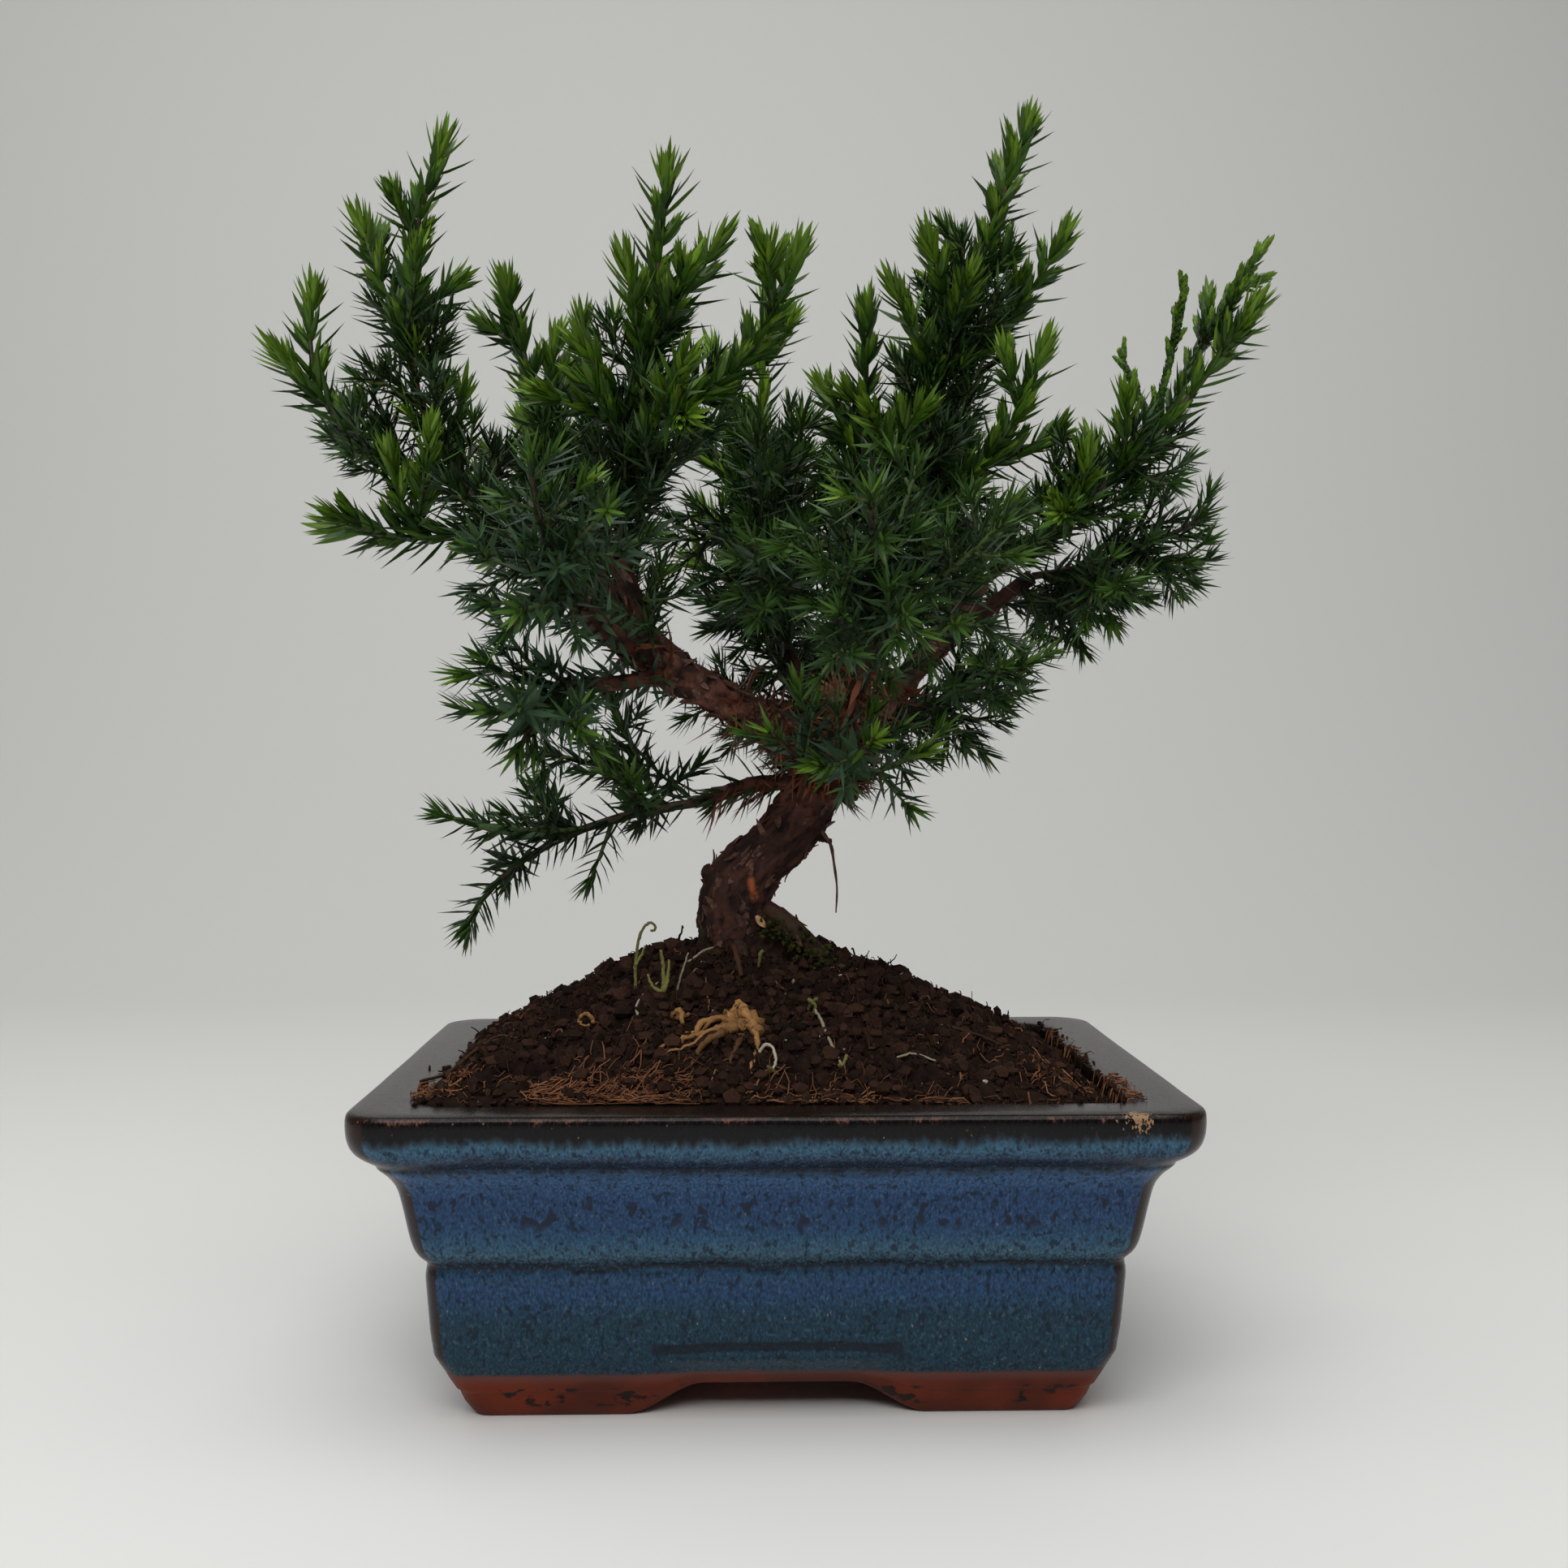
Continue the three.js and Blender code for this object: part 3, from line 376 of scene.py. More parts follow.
@dataclass(frozen=True)
class Glaze:
    """Blue glaze that ran down over a dark body and leaves the clay foot bare.

    Each band is a height in millimetres and the red, green and blue seen on a screen there; the top
    two bands paint a highlight, a thin lighter brown line along the lip's top outer edge.
    """

    rim: Colour = colour(20, 15, 14)
    worn_rim: Colour = colour(34, 26, 23)
    edge: Colour = colour(44, 27, 22)
    clay: Colour = colour(112, 42, 17)
    dark_clay: Colour = colour(82, 30, 13)
    film: Colour = colour(96, 66, 62)
    soot: Colour = colour(24, 15, 12)
    pit: Colour = colour(16, 24, 38)
    bloom: Colour = colour(92, 124, 140)
    spot: Colour = colour(29, 35, 50)
    groove: Colour = colour(20, 24, 34)
    chip: Colour = colour(150, 118, 88)
    bands: tuple[tuple[float, float, float, float], ...] = (
        (0.0, 24, 50, 64), (9.0, 26, 52, 66), (20.0, 26, 52, 68), (22.6, 30, 58, 84),
        (25.0, 33, 60, 92), (28.2, 36, 62, 86), (29.3, 16, 19, 27), (30.2, 32, 54, 68),
        (32.0, 54, 83, 102), (34.6, 40, 72, 98), (37.0, 35, 62, 94), (42.0, 36, 61, 96),
        (46.2, 49, 80, 116), (47.4, 40, 62, 86), (48.3, 16, 21, 32), (49.8, 28, 42, 62),
        (51.0, 44, 72, 96), (52.6, 54, 88, 110), (53.6, 38, 52, 62), (54.4, 16, 15, 18),
        # The stops at 57.6 and 58.0 paint a highlight: a thin lighter brown line along the lip's
        # top outer edge.
        (57.0, 13, 10, 11), (57.6, 34, 21, 18), (58.0, 88, 60, 48),
    )
    top: float = 58.0

    def material(self) -> bpy.types.Material:
        """Makes the material of the pot."""
        shader = Shader("glazed_pot")
        runs = shader.noise(1.5, 2.0, (1, 1, 0.3))
        speckle = shader.noise(0.42, 2.0, (1, 1, 0.55))
        beads = shader.noise(0.9, 1.0, (1, 1, 0.6))
        broad = shader.noise(14.0, 2.0)
        height = shader.height() + (runs - 0.5) * 2.6 + (speckle - 0.5) * 2.0 + (broad - 0.5) * 2.6
        bands = [(z / self.top, colour(*tint)) for z, *tint in self.bands]
        glaze = shader.ramp(height * (1 / self.top), bands)
        dark_lip = (height + (broad - 0.5) * 3.0).rising(53.0, 54.6)
        pits = (1 - beads.rising(0.34, 0.44)) * (1 - dark_lip) * 0.7
        glaze = shader.shade(glaze, speckle.rising(0.28, 0.72) * 0.86 + 0.69)
        glaze = shader.blend(pits, glaze, self.pit)
        pale = shader.noise(0.7, 1.0, (1, 1, 0.7)).rising(0.60, 0.72) * (1 - dark_lip) * 0.22
        glaze = shader.blend(pale, glaze, self.bloom)
        spots = shader.noise(2.4, 1.0, (1, 1, 0.55)).rising(0.60, 0.66)
        in_blue = height.rising(36.0, 38.0) * (1 - height.rising(41.0, 43.5))
        glaze = shader.blend(spots * in_blue * 0.9, glaze, self.spot)
        groove = (shader.mark("apron") + (runs - 0.5) * 0.9).rising(0.15, 0.7)
        glaze = shader.blend(groove * 0.8, glaze, self.groove)
        thin = (shader.mark("corner") + (runs - 0.5) * 0.5).rising(0.35, 0.75)
        glaze = shader.blend(thin * 0.9, glaze, self.edge)
        top_face = shader.mark("rim")
        glaze = shader.blend(top_face, glaze, shader.blend(broad, self.rim, self.worn_rim))
        chip = (shader.mark("chip") + (speckle - 0.5) * 1.6 + (beads - 0.5) * 1.2).rising(0.5, 0.62)
        glaze = shader.blend(chip, glaze, self.chip)
        bare = 1 - (shader.mark("glazed") + (runs - 0.5) * 0.10).rising(0.46, 0.54)
        worn = shader.noise(2.4, 3.0, (1, 1, 1.7)).rising(0.50, 0.58)
        worn = worn * shader.noise(8.0, 1.0).rising(0.47, 0.53)
        smudge = worn * shader.mark("smudge").rising(0.2, 0.6)
        clay = shader.blend(broad.rising(0.35, 0.65), self.clay, self.dark_clay)
        film = bare * shader.height().rising(6.6, 8.5) * 0.6
        clay = shader.blend(film, clay, self.film)
        clay = shader.blend(smudge * 0.95, clay, self.soot)
        tint = shader.blend(bare, glaze, clay)
        rough = bare * 0.5 + (1 - bare) * (speckle * 0.20 + 0.16)
        relief = runs * 0.6 + speckle * 0.35 * (1 - top_face) + bare * shader.noise(0.8) * 0.5
        return shader.surface(tint, rough, 0.18, shader.bump(relief, 0.16, 0.5))


@dataclass(frozen=True)
class Bark:
    """Flaky red-brown bark, mossy near the soil, with a thin raw scar."""

    deep: Colour = colour(30, 18, 15)
    ridge: Colour = colour(66, 39, 31)
    fresh: Colour = colour(132, 84, 66)
    moss: Colour = colour(50, 48, 30)
    scar: Colour = colour(168, 92, 50)

    def material(self) -> bpy.types.Material:
        """Makes the material of the trunk and boughs."""
        shader = Shader("bark")
        grain = shader.noise(0.7, 3.0)
        patches = shader.noise(4.5, 3.0)
        high = (shader.mark("relief") + (grain - 0.5) * 0.6).rising(0.15, 0.95)
        tint = shader.blend(high, self.deep, self.ridge)
        tint = shader.blend(shader.mark("fresh") * patches.rising(0.35, 0.7), tint, self.fresh)
        moss = (shader.mark("moss") + (patches - 0.5) * 1.6 + (grain - 0.5) * 1.2).rising(0.55, 0.9)
        tint = shader.blend(moss * 0.7, tint, self.moss)
        tint = shader.blend(shader.mark("scar"), tint, self.scar)
        return shader.surface(tint, grain * 0.25 + 0.66, 0.25, shader.bump(grain, 0.3, 0.6))


@dataclass(frozen=True)
class Crumbs:
    """Dark crumbly soil or one of the bits of bark, root and stone in it; the heap's finish also
    carries painted shade in the hollows of its relief.
    """

    name: str
    dark: Colour
    light: Colour
    roughness: float = 0.95
    painted_relief_shade: bool = False

    def material(self) -> bpy.types.Material:
        """Makes the material."""
        shader = Shader(self.name)
        grain = shader.noise(0.6, 3.0)
        share = (shader.each_its_own() * 0.7 + shader.noise(5.0) * 0.6 - 0.2).limited()
        tint = shader.shade(shader.blend(share, self.dark, self.light), grain * 0.9 + 0.5)
        # Painted shade: the colour is darkened in the low hollows of the soil's relief and
        # lightened a little on its crests.
        if self.painted_relief_shade:
            tint = shader.shade(tint, shader.mark("high") * 0.95 + 0.2)
        return shader.surface(tint, self.roughness, 0.12, shader.bump(grain, 0.4, 0.7))


@dataclass(frozen=True)
class Leaf:
    """Satin skin of one face of the needles of one tone."""

    name: str
    tint: Colour
    spread: float = 0.28
    roughness: float = 0.42

    def material(self) -> bpy.types.Material:
        """Makes the material."""
        shader = Shader(self.name)
        each = shader.each_its_own() * (2 * self.spread) + (1 - self.spread)
        patch = shader.noise(18.0) * 0.3 + 0.85
        rough = shader.noise(2.0) * 0.12 + (self.roughness - 0.06)
        return shader.surface(shader.shade(self.tint, each * patch), rough, 0.24)


@dataclass(frozen=True)
class Stem:
    """Skin of the twigs: green while young, and brown and woody later."""

    name: str
    dark: Colour
    light: Colour

    def material(self) -> bpy.types.Material:
        """Makes the material."""
        shader = Shader(self.name)
        grain = shader.noise(0.8, 3.0)
        tint = shader.blend(grain.rising(0.3, 0.7), self.dark, self.light)
        return shader.surface(tint, 0.7, normal=shader.bump(grain, 0.15, 0.5))


@dataclass(frozen=True)
class Paper:
    """Plain pale sheet that the pot stands on."""

    tint: Colour = colour(238, 238, 235)

    def material(self) -> bpy.types.Material:
        """Makes the material."""
        return Shader("paper").surface(self.tint, 0.75)


# Meshes


class Skin:
    """A mesh in the making, in millimetres, whose faces each have the number of a finish."""

    def __init__(self) -> None:
        """Starts with no faces."""
        self.points: list[np.ndarray] = []
        self.faces: list[np.ndarray] = []
        self.finishes: list[np.ndarray] = []
        self.count = 0

    def add(self, points: np.ndarray, faces: np.ndarray, finish: int = 0) -> None:
        """Adds a piece.

        Args:
            points: Its points.
            faces: The numbers of its own points round each face, all faces with as many.
            finish: The number of its finish.
        """
        self.points.append(points)
        self.faces.append(faces + self.count)
        self.finishes.append(np.full(len(faces), finish))
        self.count += len(points)

    def build(
        self,
        name: str,
        materials: Sequence[bpy.types.Material],
        smooth: bool = True,
        marks: Mapping[str, np.ndarray] | None = None,
    ) -> bpy.types.Object:
        """Makes the object.

        Args:
            name: Its name.
            materials: Its finishes in the order of their numbers.
            smooth: Whether its faces are shaded as one round skin.
            marks: Numbers kept at each point, by name.

        Returns:
            The object.
        """
        mesh = bpy.data.meshes.new(name)
        points = np.concatenate(self.points) * MM
        corners = np.concatenate([f.ravel() for f in self.faces])
        sizes = np.concatenate([np.full(len(f), f.shape[1]) for f in self.faces])
        mesh.vertices.add(len(points))
        mesh.vertices.foreach_set("co", points.astype(np.float32).ravel())
        mesh.loops.add(len(corners))
        mesh.loops.foreach_set("vertex_index", corners.astype(np.int32))
        mesh.polygons.add(len(sizes))
        starts = np.concatenate([[0], np.cumsum(sizes)[:-1]])
        mesh.polygons.foreach_set("loop_start", starts.astype(np.int32))
        mesh.polygons.foreach_set("material_index", np.concatenate(self.finishes).astype(np.int32))
        for material in materials:
            mesh.materials.append(material)
        mesh.update(calc_edges=True)
        if smooth:
            mesh.shade_smooth()
        else:
            mesh.shade_flat()
        for mark, values in (marks or {}).items():
            layer = mesh.attributes.new(mark, "FLOAT", "POINT")
            layer.data.foreach_set("value", values.astype(np.float32))
        made = bpy.data.objects.new(name, mesh)
        bpy.context.scene.collection.objects.link(made)
        return made


def settle(piece: bpy.types.Object, replaced: Sequence[str] = ()) -> None:
    """Joins a piece to the model.

    Args:
        piece: The piece.
        replaced: The nodes that it stands for.
    """
    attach(piece, BODY)
    if replaced:
        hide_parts(*replaced)
    log.info("%s: %d faces", piece.name, len(piece.data.polygons))


def directions_along(points: np.ndarray) -> np.ndarray:
    """Unit directions along a chain of points."""
    after = np.concatenate([points[1:], points[-1:]])
    before = np.concatenate([points[:1], points[:-1]])
    return unit(after - before)


def any_side(direction: np.ndarray) -> np.ndarray:
    """Some axis that doesn't lie along a direction."""
    return np.array([0.0, 0, 1]) if abs(direction[2]) < 0.9 else np.array([1.0, 0, 0])


def frames_along(points: np.ndarray) -> tuple[np.ndarray, np.ndarray, np.ndarray]:
    """Directions along a chain, and two unit vectors across it that turn as little as possible.

    Args:
        points: The chain.

    Returns:
        The directions, the first vectors across and the second ones.
    """
    along = directions_along(points)
    side = any_side(along[0])
    across = np.empty_like(along)
    for i, direction in enumerate(along):
        side = unit(side - direction * (side @ direction))
        across[i] = side
    return along, across, np.cross(along, across)


def walls_between(rings: int, sides: int) -> np.ndarray:
    """Triangles between rings of points that follow each other in one list.

    Args:
        rings: How many rings there are.
        sides: How many points each of them has.

    Returns:
        The triangles, two for each point and gap.
    """
    column = np.arange(sides)
    first = np.arange(rings - 1)[:, None] * sides
    a, b = (first + column).ravel(), (first + (column + 1) % sides).ravel()
    return np.concatenate([np.stack([a, b, b + sides], 1), np.stack([a, b + sides, a + sides], 1)])


def tube(points: np.ndarray, radii: np.ndarray, sides: int) -> Shape:
    """A closed tube round a chain of centres.

    Args:
        points: The centres.
        radii: The radius at each of them.
        sides: How many sides it has.

    Returns:
        Its points and its triangles.
    """
    _, u, v = frames_along(points)
    angle = np.arange(sides) / sides * 2 * math.pi
    ring = np.cos(angle)[None, :, None] * u[:, None] + np.sin(angle)[None, :, None] * v[:, None]
    skin = points[:, None] + ring * radii[:, None, None]
    fan = np.arange(1, sides - 1)
    foot = np.stack([np.zeros_like(fan), fan + 1, fan], 1)
    last = (len(points) - 1) * sides
    head = np.stack([np.full_like(fan, last), last + fan, last + fan + 1], 1)
    return skin.reshape(-1, 3), np.concatenate([walls_between(len(points), sides), foot, head])


# The tree's lines, laid out by the rule of its solids


@dataclass
class Line:
    """A tapering line: points and the radius at each of them."""

    points: np.ndarray
    radii: np.ndarray

    def along(self, share: float) -> tuple[np.ndarray, np.ndarray, float]:
        """Point, direction and radius at a share of the line.

        Args:
            share: The share, from 0 to 1.

        Returns:
            The point, the unit direction and the radius.
        """
        place = share * (len(self.points) - 1)
        i = min(int(place), len(self.points) - 2)
        a, b = self.points[i], self.points[i + 1]
        return mix(a, b, place - i), unit(b - a), mix(self.radii[i], self.radii[i + 1], place - i)

    def length(self) -> float:
        """How long the line is."""
        return float(np.linalg.norm(np.diff(self.points, axis=0), axis=1).sum())


class Lines:
    """Many tapering lines, from whose surfaces distances are measured."""

    def __init__(self, lines: Sequence[Line]) -> None:
        """Gathers the straight pieces of the lines."""
        self.starts = np.concatenate([line.points[:-1] for line in lines])
        self.steps = np.concatenate([np.diff(line.points, axis=0) for line in lines])
        self.radii = np.concatenate([line.radii[:-1] for line in lines])
        self.squares = np.maximum((self.steps**2).sum(1), 1e-12)

    def distance(self, points: np.ndarray) -> np.ndarray:
        """Shortest distance from each point to the surface of any of the lines."""
        nearest = np.empty(len(points))
        block = max(1, 150_000 // len(self.starts))
        for first in range(0, len(points), block):
            away = points[first : first + block, None] - self.starts
            share = np.clip((away * self.steps).sum(-1) / self.squares, 0, 1)
            gap = np.linalg.norm(away - share[..., None] * self.steps, axis=-1) - self.radii
            nearest[first : first + block] = gap.min(axis=1)
        return nearest


def bent_line(start: np.ndarray, bend: np.ndarray, tip: np.ndarray, steps: int) -> np.ndarray:
    """Points along a bent line from a start through the pull of a bend to a tip."""
    t = np.linspace(0, 1, steps + 1)[:, None]
    return (1 - t) ** 2 * start + 2 * t * (1 - t) * bend + t**2 * tip


def smooth_curve(points: np.ndarray, steps: int) -> np.ndarray:
    """Points on a smooth curve through the given ones.

    Args:
        points: The given points, in any number of dimensions.
        steps: How many steps there are between one of them and the next.

    Returns:
        The points of the curve.
    """
    padded = np.vstack([2 * points[0] - points[1], points, 2 * points[-1] - points[-2]])
    curve = []
    for step in range((len(points) - 1) * steps + 1):
        i = min(step // steps, len(points) - 2)
        t = step / steps - i
        p0, p1, p2, p3 = padded[i : i + 4]
        rise, fall = (p2 - p0) / 2, (p3 - p1) / 2
        cubic = 2 * p1 - 2 * p2 + rise + fall
        square = -3 * p1 + 3 * p2 - 2 * rise - fall
        curve.append(p1 + rise * t + square * t**2 + cubic * t**3)
    return np.array(curve)


@dataclass(frozen=True)
class Bough:
    """One tapering limb: what it grows from and where, its radii, its bend and its tip."""

    name: str
    grows_from: str
    at: float
    base: float
    end: float
    bend: Triple
    tip: Triple


BOUGHS = (
    Bough("bough_left", "trunk", 0.9, 4.2, 3.1, (-8, -7, 130), (-28.5, -12.5, 140.5)),
    Bough("bough_left_outer", "bough_left", 0.97, 2.5, 2.0, (-35, -14, 145), (-41, -14, 154)),
    Bough("bough_left_inner", "bough_left", 0.9, 2.0, 1.6, (-30, 0, 147), (-36, 9, 158)),
    Bough("bough_centre", "bough_left", 0.86, 2.3, 1.8, (-26, -18, 147), (-30, -25, 157)),
    Bough("bough_front_left", "bough_left", 0.94, 1.9, 1.5, (-31, -25, 142), (-35, -40, 147)),
    Bough("bough_drooping", "bough_left", 0.8, 1.8, 1.4, (-27, -20, 133), (-35, -31, 133)),
    Bough("bough_low_left", "trunk", 0.78, 2.6, 2.0, (-3, 0, 116), (-13, 1, 110.5)),
    Bough("bough_back_left", "bough_left", 0.5, 2.4, 1.7, (-20, 16, 139), (-36, 34, 157)),
    Bough("bough_back", "trunk", 0.95, 2.8, 1.9, (8, 25, 131), (1, 38, 145)),
    Bough("bough_back_low", "trunk", 0.86, 2.1, 1.5, (12, 20, 118), (14, 33, 127)),
    Bough("bough_inner", "trunk", 0.97, 2.3, 1.7, (7, 3, 132), (3, 5, 141)),
    Bough("bough_right_rising", "trunk", 0.98, 3.0, 2.1, (17, 2, 135), (21, 4, 152)),
    Bough("bough_right_inner", "bough_right_rising", 0.3, 2.0, 1.6, (15, 14, 140), (15, 15, 158)),
    Bough("bough_right_outer", "trunk", 0.93, 3.2, 2.1, (27, 0, 132), (42.5, -2, 155)),
    Bough("bough_right_low", "bough_right_outer", 0.45, 2.0, 1.6, (38, 7, 146), (54, 6, 157)),
    Bough("bough_front_right", "trunk", 0.9, 2.3, 1.7, (16, -17, 129), (18, -31, 142)),
    Bough("bough_under_right", "trunk", 0.82, 2.0, 1.5, (20, 9, 122), (29, 13, 130)),
    Bough("bough_back_right", "bough_right_rising", 0.45, 2.3, 1.7, (24, 22, 141), (33, 42, 162)),
)


class Habit(Enum):
    """How a mass of foliage looks."""

    RISING = "vigorous upright shoots with brush-like tufts"
    SPREADING = "older dark sprays"
    BLUISH = "older sprays with bluish needles"
    PALE = "upright shoots with pale new growth"


@dataclass(frozen=True)
class Shoot:
    """A leading shoot: its tip, the earlier shoot that it leaves and where, and its bend.

    scaly says how far its needles are pressed to scales, from 0 to 1.
    """

    tip: Triple
    on: int | None = None
    at: float = 0.0
    bend: Triple | None = None
    scaly: float = 0.0


@dataclass(frozen=True)
class Mass:
    """A mass of foliage: the limb that it grows from, its habit and its leading shoots.

    fullness says how many finer twigs it carries, and vigour how young it is beyond its habit.
    """

    name: str
    limb: str
    habit: Habit
    shoots: tuple[Shoot, ...]
    at: float = 1.0
    fullness: float = 1.0
    vigour: float = 0.0
    foot: float = 0.06


MASSES = (
    Mass("foliage_left_outer", "bough_left_outer", Habit.RISING, (
        Shoot((-64.5, -7, 243), bend=(-88, -9, 186)), Shoot((-91, -6, 214), 0, 0.3, (-97, -8, 178)),
        Shoot((-82, -10, 227), 0, 0.55), Shoot((-62, 2, 218), 0, 0.62),
        Shoot((-98, -13, 200), 1, 0.55), Shoot((-62, 0, 196), 0, 0.28),
        Shoot((-90, -9, 165), 0, 0.14, (-66, -13, 160)), Shoot((-74, -20, 180), 6, 0.45),
    ), fullness=0.68),
    Mass("foliage_left_inner", "bough_left_inner", Habit.RISING, (
        Shoot((-56, 10, 220), bend=(-48, 14, 186)), Shoot((-45, 16, 211), 0, 0.5),
        Shoot((-62, 22, 186), 0, 0.25), Shoot((-54, 27, 203), 0, 0.35),
    )),
    Mass("foliage_centre", "bough_centre", Habit.RISING, (
        Shoot((-20, -29, 230), bend=(-23, -28, 195)), Shoot((5, -31, 216), 0, 0.35, (-4, -30, 184)),
        Shoot((-9, -26, 219), 0, 0.5), Shoot((-28, -37, 212), 0, 0.45),
        Shoot((-15, -54, 190), 0, 0.2), Shoot((-37, -40, 196), 0, 0.3),
    )),
    Mass("foliage_front_left", "bough_front_left", Habit.BLUISH, (
        Shoot((-42, -62, 172), bend=(-42, -52, 154)), Shoot((-45, -62, 143), 0, 0.1),
        Shoot((-56, -52, 156), 0, 0.2), Shoot((-26, -64, 163), 0, 0.3),
    ), fullness=0.55, vigour=0.1),
    Mass("foliage_drooping", "bough_drooping", Habit.BLUISH, (
        Shoot((-47, -46, 117), bend=(-42, -38, 133)), Shoot((-56, -38, 139), 0, 0.15),
        Shoot((-52, -52, 128), 0, 0.4), Shoot((-33, -54, 124), 0, 0.3),
    ), fullness=0.55, vigour=0.1),
    Mass("foliage_low_left", "bough_low_left", Habit.SPREADING, (
        Shoot((-64, 5, 83), bend=(-54, 3, 106)), Shoot((-70, -1, 109), 0, 0.42, (-52, -2, 102)),
        Shoot((-51, 12, 116), 0, 0.36), Shoot((-35, 20, 134), 0, 0.12, (-27, 13, 116)),
        Shoot((-50, 23, 121), 3, 0.4), Shoot((-28, -14, 118), 0, 0.16),
    ), fullness=0.3),
    Mass("foliage_back_left", "bough_back_left", Habit.RISING, (
        Shoot((-58, 52, 200), bend=(-48, 46, 172)), Shoot((-72, 46, 171), 0, 0.15),
        Shoot((-60, 56, 150), 0, 0.1), Shoot((-36, 64, 182), 0, 0.3),
        Shoot((-43, 46, 222), 0, 0.25, (-40, 47, 190)),
    )),
    Mass("foliage_back", "bough_back", Habit.PALE, (
        Shoot((0, 50, 226), bend=(-4, 48, 185)), Shoot((-14, 60, 219), 0, 0.35),
        Shoot((-17, 64, 181), 0, 0.15), Shoot((4, 67, 196), 0, 0.3), Shoot((18, 62, 184), 0, 0.25),
        Shoot((-22, 40, 201), 0, 0.3),
    )),
    Mass("foliage_back_low", "bough_back_low", Habit.SPREADING, (
        Shoot((8, 66, 145), bend=(14, 50, 132)), Shoot((-24, 54, 138), 0, 0.1, (-4, 46, 126)),
        Shoot((40, 52, 134), 0, 0.15), Shoot((24, 64, 158), 0, 0.3),
    )),
    Mass("foliage_inner", "bough_inner", Habit.SPREADING, (
        Shoot((7, 13, 195), bend=(3, 11, 168)), Shoot((-6, 14, 192), 0, 0.4),
        Shoot((-19, 17, 176), 0, 0.25), Shoot((-17, 3, 153), 0, 0.1),
        Shoot((-5, -36, 160), 0, 0.15, (1, -16, 150)), Shoot((-5, -14, 185), 0, 0.35),
    )),
    Mass("foliage_right_rising", "bough_right_rising", Habit.RISING, (
        Shoot((52.5, 0, 250), bend=(37, 4, 205)), Shoot((30, -8, 225), 0, 0.5),
        Shoot((22, -13, 214), 0, 0.4), Shoot((61, 3, 229), 0, 0.45, (50, 6, 206)),
        Shoot((54, -11, 203), 0, 0.18, (46, -8, 172)), Shoot((36, 10, 231), 0, 0.6),
        Shoot((17, -26, 186), 0, 0.2),
    ), fullness=1.15),
    Mass("foliage_right_inner", "bough_right_inner", Habit.RISING, (
        Shoot((20, 13, 216), bend=(21, 16, 186)), Shoot((10, 25, 202), 0, 0.45),
        Shoot((31, 28, 199), 0, 0.4),
    )),
    Mass("foliage_right_outer", "bough_right_outer", Habit.RISING, (
        Shoot((98, -5, 212), bend=(77, -3, 177)),
        Shoot((82, -9, 215), 0, 0.52, (80, -8, 198), scaly=1.0),
        Shoot((103, 2, 227), 0, 0.6, (87, 5, 205), scaly=0.75),
        Shoot((91, 7, 219), 2, 0.45, scaly=0.5), Shoot((69, -14, 193), 0, 0.42),
        Shoot((60, -20, 180), 0, 0.25), Shoot((66, 10, 188), 0, 0.35),
    ), fullness=0.75),
    Mass("foliage_right_low", "bough_right_low", Habit.SPREADING, (
        Shoot((92, 6, 171), bend=(76, 8, 160)), Shoot((82, 12, 179), 0, 0.35),
        Shoot((77, 18, 153), 0, 0.2), Shoot((66, 24, 144), 0, 0.08), Shoot((72, -12, 152), 0, 0.15),
    )),
    Mass("foliage_front_right", "bough_front_right", Habit.SPREADING, (
        Shoot((15, -64, 165), bend=(17, -48, 150)), Shoot((40, -56, 161), 0, 0.15, (30, -46, 150)),
        Shoot((22, -64, 143), 0, 0.2), Shoot((5, -58, 154), 0, 0.25), Shoot((26, -46, 175), 0, 0.3),
    ), fullness=0.85),
    Mass("foliage_fork", "trunk", Habit.BLUISH, (
        Shoot((18, -44, 123), bend=(11, -22, 115)), Shoot((-3, -30, 126), 0, 0.3),
        Shoot((31, -28, 122), 0, 0.35),
    ), at=0.8, fullness=0.5, vigour=0.25, foot=0.5),
    Mass("foliage_under_right", "bough_under_right", Habit.SPREADING, (
        Shoot((58, 24, 134), bend=(42, 20, 132)), Shoot((42, 10, 122), 0, 0.2),
        Shoot((52, -10, 139), 0, 0.1, (38, 2, 132)),
    )),
    Mass("foliage_back_right", "bough_back_right", Habit.RISING, (
        Shoot((48, 62, 199), bend=(42, 54, 176)), Shoot((68, 50, 182), 0, 0.25),
        Shoot((29, 47, 214), 0, 0.3), Shoot((53, 60, 154), 0, 0.1), Shoot((24, 66, 186), 0, 0.4),
    )),
)


@dataclass(frozen=True)
class GrowthRule:
    """The growth rule of the solids' foliage. Angles are in degrees."""

    golden_angle: float = 137.508
    samples: int = 8
    set_out: float = 0.38
    sag: float = 0.16
    thickest_shoot: float = 2.0
    shoot_shrink: float = 0.75
    shoot_tip_radius: float = 0.95
    twig_spacing: float = 15.0
    twig_start: float = 6.0
    twig_end: float = 11.0
    twig_long: float = 21.0
    twig_short: float = 9.0
    twig_reach: tuple[float, float] = (0.75, 1.15)
    twig_trims: tuple[float, ...] = (1.0, 0.7, 0.45)
    twig_radius: float = 1.0
    twig_lean: float = 46.0
    twig_scatter: float = 14.0
    twig_steepest: float = -0.45
    mass_room: float = 2.2
    limb_room: float = 1.6
    twig_room: float = 3.2
    space_probes: tuple[float, ...] = (0.35, 0.7, 1.0)
    room_probes: tuple[float, ...] = (0.6, 1.0)
    seeds_per_mass: int = 100
    crown_low: Triple = (-102, -72, 70)
    crown_high: Triple = (103.5, 72, 251.5)


